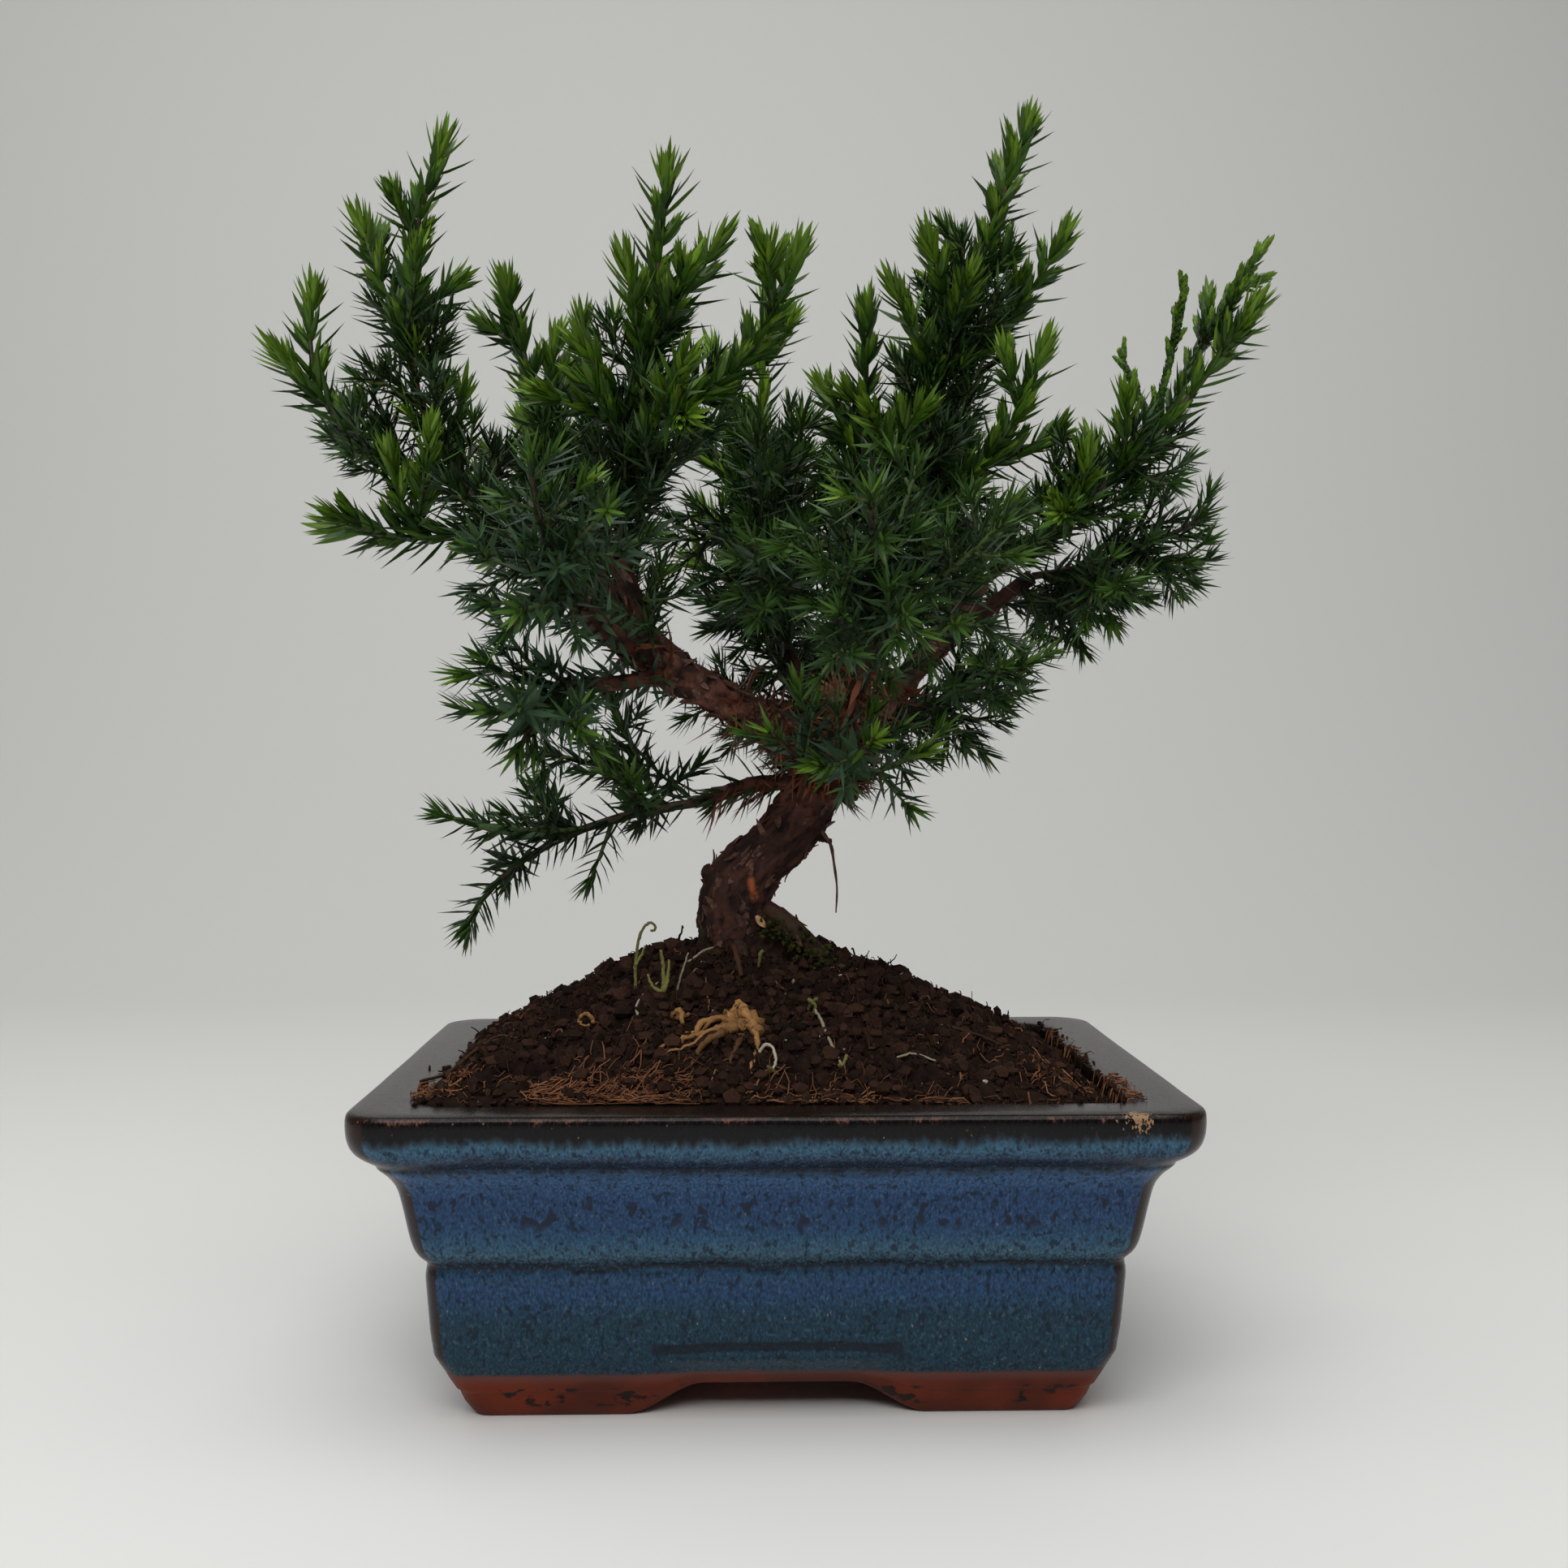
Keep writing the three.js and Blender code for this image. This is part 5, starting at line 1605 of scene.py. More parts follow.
    def _needle_mesh(self, rows: np.ndarray, full: bool) -> tuple[np.ndarray, ...]:
        """Awl-shaped needles with a flat upper face and a keel below.

        Args:
            rows: Start, axis, outward direction, length, width, lean and curve of each.
            full: Whether they are the broader young ones, with one ring more.

        Returns:
            Points, triangles and the finish of each triangle, needle by needle.
        """
        start, axis, radial = rows[:, 0:3], rows[:, 3:6], rows[:, 6:9]
        size, width, lean, curve = rows[:, 9:13].T
        direction = axis * np.cos(lean)[:, None] + radial * np.sin(lean)[:, None]
        side = unit(np.cross(axis, radial))
        up = np.cross(side, direction)
        up *= np.where((up * axis).sum(1) < 0, -1, 1)[:, None]
        shares = self.full if full else self.slim
        widths = self.full_widths if full else self.slim_widths
        rings = []
        for share, wide in zip(shares, widths):
            along = start + direction * (size * share)[:, None]
            along = along + up * (size * curve * share**2)[:, None]
            half = (width * wide / 2)[:, None]
            rings += [along - side * half, along + side * half]
            rings.append(along - up * (width * wide * self.keel)[:, None])
        tip = start + direction * size[:, None] + up * (size * curve)[:, None]
        points = np.stack([*rings, tip], axis=1)
        count = 3 * len(shares) + 1
        faces, finish = [], []
        for ring in range(len(shares) - 1):
            for k, (a, b) in enumerate(((0, 1), (1, 2), (2, 0))):
                a, b = 3 * ring + a, 3 * ring + b
                faces += [(a, b, b + 3), (a, b + 3, a + 3)]
                finish += [self.upper if k == 0 else self.under] * 2
        top = count - 1
        last = top - 3
        faces += [(last, last + 1, top), (last + 1, last + 2, top), (last + 2, last, top)]
        faces.append((0, 2, 1))
        finish += [self.upper, self.under, self.under, self.under]
        turned = np.array(faces)[:, ::-1]
        flip = (np.cross(side, up) * direction).sum(1) > 0
        pattern = np.where(flip[:, None, None], turned[None], np.array(faces)[None])
        triangles = pattern + (np.arange(len(rows)) * count)[:, None, None]
        return points.reshape(-1, 3), triangles.reshape(-1, 3), np.tile(finish, len(rows))

    def _make_twigs(self) -> None:
        """Makes the stems of the shoots and twigs, woody ones apart from green ones."""
        woody, green = Skin(), Skin()
        for spray in self.sprays:
            if spray.has_bark:
                continue
            line = spray.line
            radii = line.radii * spray.stem
            thick = radii[0] > 0.62 and spray.young[0] < 0.4
            points, faces = tube(line.points, radii, 6 if thick else 4)
            (woody if thick else green).add(points, faces)
        brown = Stem("woody_twigs", colour(44, 34, 24), colour(72, 54, 36)).material()
        leafy = Stem("green_twigs", colour(52, 70, 32), colour(80, 96, 44)).material()
        masses = [mass.name for mass in MASSES]
        settle(woody.build("twigs_woody", [brown]), masses)
        settle(green.build("twigs_green", [leafy]), masses)


# Trunk and boughs


def ribbon(points: np.ndarray, across: np.ndarray, widths: np.ndarray, thickness: float) -> Shape:
    """A closed flat strip along a chain of points.

    Args:
        points: The chain.
        across: The direction of its width at each point.
        widths: Its width at each point.
        thickness: Its thickness.

    Returns:
        Its points and its triangles.
    """
    up = unit(np.cross(directions_along(points), across)) * thickness / 2
    half = across * widths[:, None] / 2
    left, right = points - half, points + half
    ring = np.stack([left - up, right - up, right + up, left + up], 1)
    last = (len(points) - 1) * 4
    ends = np.array([[0, 2, 1], [0, 3, 2], [last, last + 1, last + 2], [last, last + 2, last + 3]])
    return ring.reshape(-1, 3), np.concatenate([walls_between(len(points), 4), ends])


@dataclass
class Wood:
    """Trunk, boughs and surface roots in one skin with the relief of flaky bark."""

    tree: Tree
    seed: int = 11
    voxel: float = 0.40
    root_swells: tuple[tuple[float, float], ...] = ((-28, 4.2), (70, 3.4), (165, 1.6), (250, 1.6))
    root_width: float = 26.0
    root_height: float = 4.2
    soil_level: float = 80.0
    foot_depth: float = 5.0
    surface_roots: tuple[tuple[tuple[Triple, float], ...], ...] = (
        (((-2.5, -4.0, 90), 1.6), ((1.0, -5, 87.2), 2.3), ((5.5, -7, 83.4), 2.3),
         ((9.5, -9, 79.5), 1.7), ((12, -11, 75.5), 1.0)),
        (((-10, -4, 83), 1.6), ((-13, -6, 80), 1.3), ((-16, -8, 76.5), 0.8)),
        (((-7, -6, 82), 1.8), ((-6, -11, 79.6), 1.3), ((-7, -16, 75.5), 0.8)),
    )
    scars: tuple[tuple[Triple, Triple, float], ...] = (
        ((-4.6, -8.5, 95.0), (-3.9, -8.0, 91.5), 0.25),
        ((-3.9, -8.0, 91.5), (-3.0, -8.0, 88.0), 0.35),
    )
    plates: Layer = Layer(2.1, 0.50)
    scales: Layer = Layer(1.1, 0.32)
    lumps: Layer = Layer(4.5, 0.60)
    fibres: Layer = Layer(0.75, 0.15)
    fine: Layer = Layer(0.8, 0.10)
    clods: Layer = Layer(2.4, 0.40)
    middle_height: float = 0.45
    flakes: int = 620
    flake_lengths: tuple[float, float] = (1.3, 3.6)
    flake_curls: tuple[float, float] = (0.1, 0.5)
    flake_thickness: float = 0.16
    knobs: tuple[tuple[Triple, Triple, float], ...] = (
        ((-11.6, -2.5, 95.0), (-14.0, -3.0, 96.4), 1.25),
        ((-12.4, -2.5, 92.0), (-14.2, -3.0, 91.2), 0.9),
        ((9.5, 0.5, 103.2), (12.0, 0.0, 102.2), 1.1),
        ((15.0, 0.5, 112.0), (17.2, 0.0, 111.2), 1.2),
    )
    chip: tuple[Triple, Triple] = ((-3.4, -7.9, 87.8), (-1.7, -9.2, 85.6))
    chip_side: Triple = (0.8, -0.2, 0.5)
    chip_widths: tuple[float, ...] = (0.5, 1.3, 1.5, 1.2, 0.3)
    flake_widths: tuple[float, ...] = (0.9, 1.0, 0.85, 0.6, 0.15)
    rootlet: tuple[Triple, ...] = (
        (9.8, -2.5, 104.5), (11.6, -3, 101.8), (12.3, -3.1, 98.0), (12.9, -3.2, 93),
        (12.7, -3.2, 88),
    )

    def __post_init__(self) -> None:
        """Starts the seeded draws."""
        self.random = np.random.default_rng(self.seed)
        self.noise = Noise(self.seed)

    def build(self) -> None:
        """Makes the skin, its flakes and the hanging rootlet."""
        bark = Bark().material()
        limbs = list(self.tree.limbs)
        points, normals, triangles = self._joined()
        places = self._unrolled(points)
        height, marks = self._relief(points, places)
        points = points + normals * height[:, None]
        skin = Skin()
        skin.add(points, triangles)
        settle(skin.build("bark_skin", [bark], marks=marks), limbs)
        peel = Stem("bark_flakes", colour(48, 29, 23), colour(110, 70, 54)).material()
        flakes = Skin()
        for place in self._flake_places(points, places):
            flakes.add(*self._flake(points[place], normals[place], places[0][place]))
        rootlet = smooth_curve(np.array(self.rootlet), 6)
        radii = np.linspace(0.42, 0.16, len(rootlet)) * (1 + 0.15 * np.sin(np.arange(len(rootlet))))
        flakes.add(*tube(rootlet, radii, 6))
        settle(flakes.build("bark_flakes", [peel], smooth=False), limbs)
        splinter, course = Skin(), smooth_curve(np.array(self.chip), 4)
        across = np.broadcast_to(unit(np.array(self.chip_side)), course.shape)
        splinter.add(*ribbon(course, across, np.array(self.chip_widths), 0.3))
        fresh = Stem("raw_wood", colour(150, 104, 70), colour(206, 164, 122)).material()
        settle(splinter.build("bark_splinter", [fresh], smooth=False))

    def _joined(self) -> tuple[np.ndarray, np.ndarray, np.ndarray]:
        """Joins the tubes of all limbs into one closed skin.

        Returns:
            Its points, their normals and its triangles.
        """
        raw = Skin()
        self.lines = [self.tree.fine_limb(name) for name in self.tree.limbs]
        trunk, *boughs = self.lines
        foot = trunk.points[0] - np.array([0, 0, self.foot_depth])
        points, faces = tube(
            np.vstack([foot, trunk.points]), np.append(trunk.radii[0] + 1.5, trunk.radii), 40
        )
        raw.add(self._swollen(points), faces)
        for bough in boughs:
            raw.add(*tube(bough.points, bough.radii, 20))
        for root in self.surface_roots:
            course = smooth_curve(np.array([p for p, _ in root]), 5)
            share = np.linspace(0, 1, len(course))
            radii = np.interp(share, np.linspace(0, 1, len(root)), [r for _, r in root])
            raw.add(*tube(course, radii, 14))
            self.lines.append(Line(course, radii))
        for start, end, radius in self.knobs:
            raw.add(*tube(np.array([start, end]), np.array([radius, radius * 0.6]), 10))
        rough = raw.build("limbs_rough", [])
        remesh = rough.modifiers.new("join", "REMESH")
        remesh.mode, remesh.voxel_size = "VOXEL", self.voxel * MM
        joined = rough.evaluated_get(bpy.context.evaluated_depsgraph_get()).to_mesh()
        joined.calc_loop_triangles()
        points = np.empty(len(joined.vertices) * 3, np.float32)
        normals = np.empty_like(points)
        triangles = np.empty(len(joined.loop_triangles) * 3, np.int32)
        joined.vertices.foreach_get("co", points)
        joined.vertices.foreach_get("normal", normals)
        joined.loop_triangles.foreach_get("vertices", triangles)
        mesh = rough.data
        bpy.data.objects.remove(rough)
        bpy.data.meshes.remove(mesh)
        points = points.reshape(-1, 3).astype(float) / MM
        return points, normals.reshape(-1, 3).astype(float), triangles.reshape(-1, 3)

    def _swollen(self, points: np.ndarray) -> np.ndarray:
        """Widens the foot of the trunk towards its roots."""
        trunk = self.tree.limbs["trunk"]
        away = points - trunk.points[0]
        angle = np.degrees(np.arctan2(away[:, 1], away[:, 0]))
        rise = np.maximum(points[:, 2] - self.soil_level, 0) / self.root_height
        swell = np.zeros(len(points))
        for azimuth, size in self.root_swells:
            turn = (angle - azimuth + 180) % 360 - 180
            swell += size * np.exp(-((turn / self.root_width) ** 2) - rise)
        flat = unit(np.stack([away[:, 0], away[:, 1], np.zeros(len(away))], 1))
        return points + flat * swell[:, None]

    def _unrolled(self, points: np.ndarray) -> tuple[np.ndarray, ...]:
        """Where each point lies on its nearest limb.

        Args:
            points: The points.

        Returns:
            The limb's direction, the place along it, the two parts of the way out from its
            middle, the limb's radius and the limb's number.
        """
        best = np.full(len(points), np.inf)
        way, out = np.zeros_like(points), np.zeros((len(points), 2))
        place, radius = np.zeros(len(points)), np.zeros(len(points))
        number = np.zeros(len(points), int)
        for index, line in enumerate(self.lines):
            along, u, v = frames_along(line.points)
            steps = np.diff(line.points, axis=0)
            lengths = np.linalg.norm(steps, axis=1)
            starts = np.concatenate([[0], np.cumsum(lengths)[:-1]])
            for i, (step, length) in enumerate(zip(steps, lengths)):
                away = points - line.points[i]
                share = np.clip(away @ step / length**2, 0, 1)
                away = away - share[:, None] * step
                gap = np.linalg.norm(away, axis=1) - line.radii[i]
                near = gap < best
                best[near] = gap[near]
                way[near] = along[i]
                out[near, 0] = (away @ u[i])[near]
                out[near, 1] = (away @ v[i])[near]
                place[near] = (starts[i] + share * length)[near]
                radius[near] = line.radii[i]
                number[near] = index
        return way, place, out, radius, number

    def _relief(
        self, points: np.ndarray, places: tuple[np.ndarray, ...]
    ) -> tuple[np.ndarray, dict[str, np.ndarray]]:
        """The bark's relief and its marks.

        Args:
            points: The points of the skin.
            places: Where they lie on the limbs.

        Returns:
            How far each point moves outwards, and the marks that the finish reads.
        """
        _, place, out, radius, number = places
        spot = np.column_stack([out, place * 0.34]) + number[:, None] * 13.7
        plates = smooth_step(-0.1, 0.06, self.noise.layered(spot / self.plates.size, 2))
        scales = smooth_step(-0.06, 0.06, self.noise.layered(spot / self.scales.size + 40, 2))
        spot = np.column_stack([out, place * 0.7])
        lumps = self.noise.layered(spot / self.lumps.size + 80, 2)
        spot = np.column_stack([out, place * 0.16])
        fibres = self.noise.layered(spot / self.fibres.size + 120, 2)
        fine = self.noise.layered(points / self.fine.size, 2)
        clods = np.maximum(self.noise.layered(points / self.clods.size + 160, 2), 0)
        kinds = (self.plates, self.scales, self.lumps, self.fibres, self.fine, self.clods)
        layers = (plates, scales, lumps, fibres, fine, clods)
        relief = sum(kind.depth * layer for kind, layer in zip(kinds, layers))
        names = list(self.tree.limbs)
        flaky = number == names.index("bough_left")
        size = np.clip(radius / 5.5, 0.4, 1.0) * np.where(flaky, 1.35, 1.0)
        height = (relief - self.middle_height) * size
        fresh = np.where(flaky, 0.9, 0.35)
        fresh = np.where(number == 0, 0.1 + 0.5 * smooth_step(104, 116, points[:, 2]), fresh)
        rim = smooth_step(-11.5, -14.0, points[:, 0]) * smooth_step(97, 84, points[:, 2])
        low = smooth_step(85.0, 81.0, points[:, 2]) * 0.5
        root = np.where(number >= len(names), 0.95, 0.0) * smooth_step(92, 88, points[:, 2])
        scar = np.zeros(len(points))
        for start, end, width in self.scars:
            gap = Lines([Line(np.array([start, end]), np.array([width, width * 0.5]))])
            scar = np.maximum(scar, smooth_step(0.75, 0.1, gap.distance(points) + 0.15 * fine))
        marks = {
            "relief": np.clip(0.5 * plates + 0.35 * scales + 0.3 * fibres + 0.1, 0, 1),
            "fresh": fresh,
            "moss": np.maximum(np.maximum(rim * 0.85, low), root * 0.8),
            "scar": scar,
        }
        return height, marks

    def _flake_places(self, points: np.ndarray, places: tuple[np.ndarray, ...]) -> np.ndarray:
        """Numbers of the points where flakes of bark stand off, more of them on thick limbs."""
        weight = np.clip(places[3] / 4, 0.25, 1.3) * (points[:, 2] > self.soil_level + 3)
        weight[places[4] == list(self.tree.limbs).index("bough_left")] *= 4.0
        return self.random.choice(len(points), self.flakes, replace=False, p=weight / weight.sum())

    def _flake(self, place: np.ndarray, normal: np.ndarray, way: np.ndarray) -> Shape:
        """A curled flake whose one end is still on the limb.

        Args:
            place: Where it holds on.
            normal: The direction out of the bark there.
            way: The limb's direction.

        Returns:
            Its points and its triangles.
        """
        turn = self.random.normal(0, 0.5)
        ahead = unit(way - normal * (way @ normal)) * self.random.choice([-1, 1])
        side = np.cross(normal, ahead)
        ahead = unit(ahead * math.cos(turn) + side * math.sin(turn))
        length = self.random.uniform(*self.flake_lengths)
        curl = self.random.uniform(*self.flake_curls)
        t = np.linspace(0, 1, len(self.flake_widths))[:, None]
        course = place + ahead * (t * length) + normal * (curl * length * t**2 - 0.12)
        width = self.random.uniform(0.7, 1.9) * np.array(self.flake_widths)
        across = np.broadcast_to(unit(np.cross(normal, ahead)), course.shape)
        return ribbon(course, across, width, self.flake_thickness)


# Pot


@dataclass
class Pot:
    """Rectangular pot with a stepped wall, a flared lip and corner feet."""

    half_x: float = 75.0
    half_y: float = 59.0
    outside: tuple[tuple[float, float], ...] = (
        (20.6, 0.0), (20.0, 0.25), (19.5, 0.9), (18.2, 3.0), (17.5, 4.9), (16.9, 5.5), (16.7, 5.9),
        (15.9, 7.4), (15.2, 8.9), (14.3, 10.6), (13.5, 12.3), (13.35, 13.3), (13.25, 14.0),
        (13.2, 14.5), (13.1, 15.0), (13.0, 15.8), (12.8, 17.4), (12.2, 24.5),
        (12.05, 26.6), (12.15, 27.8), (12.3, 28.8), (12.05, 29.5), (11.3, 30.3), (10.6, 31.3),
        (10.0, 32.8), (9.4, 35.5), (8.8, 38.8), (8.0, 42.6), (7.2, 44.5), (6.1, 46.0),
        (5.2, 46.9), (4.7, 47.5), (4.5, 48.0), (3.9, 48.5), (2.6, 49.4), (1.4, 50.5), (0.6, 51.8),
        (0.15, 53.4), (0.0, 55.0), (0.0, 56.5), (0.15, 57.3), (0.5, 57.8), (1.1, 58.0),
    )
    rim: tuple[tuple[float, float], ...] = (
        (4.0, 58.05), (6.5, 58.0), (9.0, 57.95), (10.8, 57.9), (11.5, 57.7), (11.9, 57.2),
    )
    inside: tuple[tuple[float, float], ...] = (
        (12.0, 56.4), (12.1, 54.0), (13.6, 48.0), (16.6, 34.0), (19.3, 13.0), (20.5, 11.0),
    )
    corner_radius: float = 8.0
    corner_shrink: float = 0.25
    sharpest: float = 0.8
    foot_inset: float = 29.0
    arch_height: float = 5.6
    front_arch: tuple[float, float] = (13.2, 27.4)
    side_arch: tuple[float, float] = (7.6, 18.5)
    apron: tuple[float, float, float] = (22.0, 14.4, 1.5)
    apron_depth: float = 0.3
    chips: tuple[tuple[Triple, float], ...] = (((61.5, -58.6, 57.5), 4.2), ((-66, 58, 57.6), 1.4))
    lifted: float = 12.0
    arch_span: float = 27.0
    drains: tuple[float, ...] = (-25.0, 25.0)
    drain_radius: float = 5.0
    columns: tuple[int, int, int] = (112, 88, 14)
    clay_top: float = 9.0
    wave: float = 0.16
    wave_seed: int = 21
    wave_sizes: Triple = (22, 22, 14)
    rim_zone: tuple[float, float] = (57.4, 57.9)
    smudge_foot: tuple[float, float] = (1.2, 3.2)
    smudge_top: tuple[float, float] = (6.8, 5.0)
    glaze_fade: float = 6.0

    def build(self) -> None:
        """Makes the pot."""
        rows = smooth_curve(np.array(self.outside), 2).tolist()
        rows += [list(p) for p in self.rim] + [list(p) for p in self.inside]
        rings = [self._ring(inset, z) for inset, z in rows]
        recess = self._ring(self.foot_inset, self.arch_height, lifted=False)
        feet = [self._ring(self.foot_inset, 0.5), self._ring(self.foot_inset - 0.6, 0.0)]
        rings = [recess, *feet, *rings]
        grid = np.stack(rings)
        count = grid.shape[1]
        column = np.arange(count)
        quads = []
        for row in range(len(rings) - 1):
            a, b = row * count + column, row * count + (column + 1) % count
            quads.append(np.stack([a, b, b + count, a + count], 1))
        mesh = bpy.data.meshes.new("pot_rough")
        points = self._waved(grid.reshape(-1, 3))
        mesh.from_pydata(points.tolist(), [], np.concatenate(quads).tolist())
        form = bmesh.new()
        form.from_mesh(mesh)
        form.verts.ensure_lookup_table()
        under = [form.verts[i] for i in column]
        floor = [form.verts[(len(rings) - 1) * count + i] for i in column]
        self._close(form, under, floor)
        bmesh.ops.remove_doubles(form, verts=form.verts, dist=0.02)
        bmesh.ops.dissolve_degenerate(form, edges=form.edges, dist=0.01)
        bmesh.ops.recalc_face_normals(form, faces=form.faces)
        bmesh.ops.triangulate(form, faces=form.faces)
        form.verts.index_update()
        skin = Skin()
        places = np.array([v.co[:] for v in form.verts])
        skin.add(places, np.array([[v.index for v in f.verts] for f in form.faces]))
        form.free()
        bpy.data.meshes.remove(mesh)
        piece = skin.build("glazed_pot", [Glaze().material()], marks=self._marks(places))
        settle(piece, ["pot"])

    def _ring(self, inset: float, z: float, lifted: bool = True) -> np.ndarray:
        """Points round the pot, like a row of its wall.

        Args:
            inset: How far they lie inside the pot's largest outline, seen from above.
            z: Their height where no arch lifts them.
            lifted: Whether the arches lift them.

        Returns:
            The points, against the clock.
        """
        long, deep, arc = self.columns
        radius = max(self.sharpest, self.corner_radius - self.corner_shrink * inset)
        a, b = self.half_x - inset - radius, self.half_y - inset - radius
        turn = np.linspace(0, math.pi / 2, arc + 1)
        edge_x, edge_y = self._edge(a, long), self._edge(b, deep)
        wide, far = radius * np.cos(turn), radius * np.sin(turn)
        inner_x, inner_y = edge_x[1:-1], edge_y[1:-1]
        parts = (
            (a + wide, b + far), (inner_x[::-1], b + radius),
            (-a - far, b + wide), (-a - radius, inner_y[::-1]),
            (-a - wide, -b - far), (inner_x, -b - radius),
            (a + far, -b - wide), (a + radius, inner_y),
        )
        flat = np.concatenate([np.stack(np.broadcast_arrays(x, y), 1) for x, y in parts])
        height = np.full(len(flat), float(z))
        if lifted and z < self.lifted:
            bottom = self._bottom(flat)
            height = bottom + height * (self.lifted - bottom) / self.lifted
        return np.column_stack([flat, height])

    def _edge(self, half: float, count: int) -> np.ndarray:
        """Places along one side: the middle ones are the same for every inset."""
        share = np.linspace(-1, 1, count)
        outer = (np.abs(share) - 0.5) / 0.5
        place = np.where(outer < 0, np.abs(share) * 2 * self.arch_span, 0)
        place = np.where(outer >= 0, self.arch_span + outer * (half - self.arch_span), place)
        place = place if half > self.arch_span else np.abs(share) * half
        return np.sign(share) * place

    def _bottom(self, flat: np.ndarray) -> np.ndarray:
        """How high the lower edge is lifted by the arches."""
        x, y = np.abs(flat[:, 0]), np.abs(flat[:, 1])
        front = 1 - smooth_step(*self.front_arch, x)
        side = 1 - smooth_step(*self.side_arch, y)
        is_front = (self.half_x - x) > (self.half_y - y)
        return self.arch_height * np.where(is_front, front, side)

    def _waved(self, points: np.ndarray) -> np.ndarray:
        """Gives the walls the slight waves of hand-pressed clay and the pressed line."""
        noise = Noise(self.wave_seed)
        away = unit(points * np.array([1, 1, 0]))
        high = smooth_step(2.0, 12.0, points[:, 2])
        wave = noise.layered(points / np.array(self.wave_sizes), 2) * self.wave * high
        dent = self._apron(points) * self.apron_depth
        return points + away * (wave - dent)[:, None] * np.array([1, 1, 0])

    def _apron(self, points: np.ndarray) -> np.ndarray:
        """How far each point lies in the shallow line pressed above the front and back arches."""
        half, level, width = self.apron
        x, y, z = points.T
        end = smooth_step(half - 3, half, np.abs(x))
        level = level - 0.5 * smooth_step(0.4 * half, half, np.abs(x))
        near = smooth_step(width * (1 + 0.8 * end), 0.1, np.abs(z - level))
        on_wall = (self.half_y - np.abs(y) < 15) & (self.half_y - np.abs(y) > 10)
        return near * smooth_step(half + 1.5, half - 1.0, np.abs(x)) * on_wall

    def _close(
        self,
        form: bmesh.types.BMesh,
        under: list[bmesh.types.BMVert],
        floor: list[bmesh.types.BMVert],
    ) -> None:
        """Closes the underside and the floor round the drain holes.

        Args:
            form: The mesh in the making.
            under: The ring of the recess under the pot.
            floor: The ring at the foot of the inner wall.
        """
        low, high = under[0].co.z, floor[0].co.z
        turns = np.linspace(0, 2 * math.pi, 33)[:-1]
        holes = []
        for x in self.drains:
            circle = [(x + self.drain_radius * math.cos(t), self.drain_radius * math.sin(t))
                      for t in turns]
            rings = [[form.verts.new((*place, z)) for place in circle] for z in (low, high)]
            for i, (p, q) in enumerate(zip(*rings)):
                j = (i + 1) % len(turns)
                form.faces.new((p, rings[0][j], rings[1][j], q))
            holes.append(rings)
        for outline, level in ((under, 0), (floor, 1)):
            edges = []
            for ring in [outline] + [hole[level] for hole in holes]:
                for p, q in zip(ring, ring[1:] + ring[:1]):
                    edges.append(form.edges.get((p, q)) or form.edges.new((p, q)))
            bmesh.ops.triangle_fill(form, edges=edges, use_beauty=True)

    def _marks(self, points: np.ndarray) -> dict[str, np.ndarray]:
        """Marks for the finish.

        Args:
            points: The points of the pot.

        Returns:
            By name how strongly each point lies on a corner, on the rim or the wall inside it,
            in the glaze, in the pressed line, on a chip and in the sooty part of the feet.
        """
        x, y, z = points.T
        rows = np.array(self.outside)
        inset = np.interp(z, rows[:, 1], rows[:, 0])
        gap_x, gap_y = self.half_x - inset - np.abs(x), self.half_y - inset - np.abs(y)
        far = np.hypot(np.maximum(gap_x, 0), np.maximum(gap_y, 0))
        radius = np.maximum(self.sharpest, self.corner_radius - self.corner_shrink * inset)
        corner = smooth_step(0.64, 0.44, far / radius)
        inner = np.minimum(self.half_x - np.abs(x), self.half_y - np.abs(y))
        inner_wall = (inner > 11.6) & (z > 10.9) & (inner > inset + 2.5)
        rim = np.maximum(smooth_step(*self.rim_zone, z), inner_wall)
        glazed = smooth_step(self.clay_top - self.glaze_fade, self.clay_top + self.glaze_fade, z)
        glazed = np.where(inner_wall, 1.0, np.where(inner > 21, 0.0, glazed))
        chip = np.zeros(len(points))
        for centre, size in self.chips:
            chip = np.maximum(chip, 1 - np.linalg.norm(points - np.array(centre), axis=1) / size)
        smudge = smooth_step(*self.smudge_foot, z) * smooth_step(*self.smudge_top, z)
        marks = {"corner": corner, "rim": rim, "glazed": glazed, "smudge": smudge}
        return marks | {"apron": self._apron(points), "chip": np.clip(chip, 0, 1)}


# Soil


class Strew(Enum):
    """The kinds of roots, shoots and fibres on the soil: piece, darker and lighter colour."""

    ROOT = ("soil_roots", colour(62, 42, 27), colour(186, 138, 86))
    STICK = ("soil_sticks", colour(46, 31, 25), colour(96, 66, 50))
    PALE = ("soil_rootlets", colour(126, 114, 92), colour(204, 196, 172))
    GREEN = ("soil_sprouts", colour(74, 70, 36), colour(140, 138, 80))
    FIBRE = ("soil_fibres", colour(76, 46, 32), colour(158, 108, 76))
    SHRED = ("soil_shreds", colour(20, 13, 11), colour(66, 43, 33))


@dataclass(frozen=True)
class Strand:
    """One root, shoot or stalk: the height of its points counts from the soil under it.

    An upright one counts all its heights from the soil under its foot.
    """

    course: tuple[Triple, ...]
    radii: tuple[float, float]
    upright: bool = False


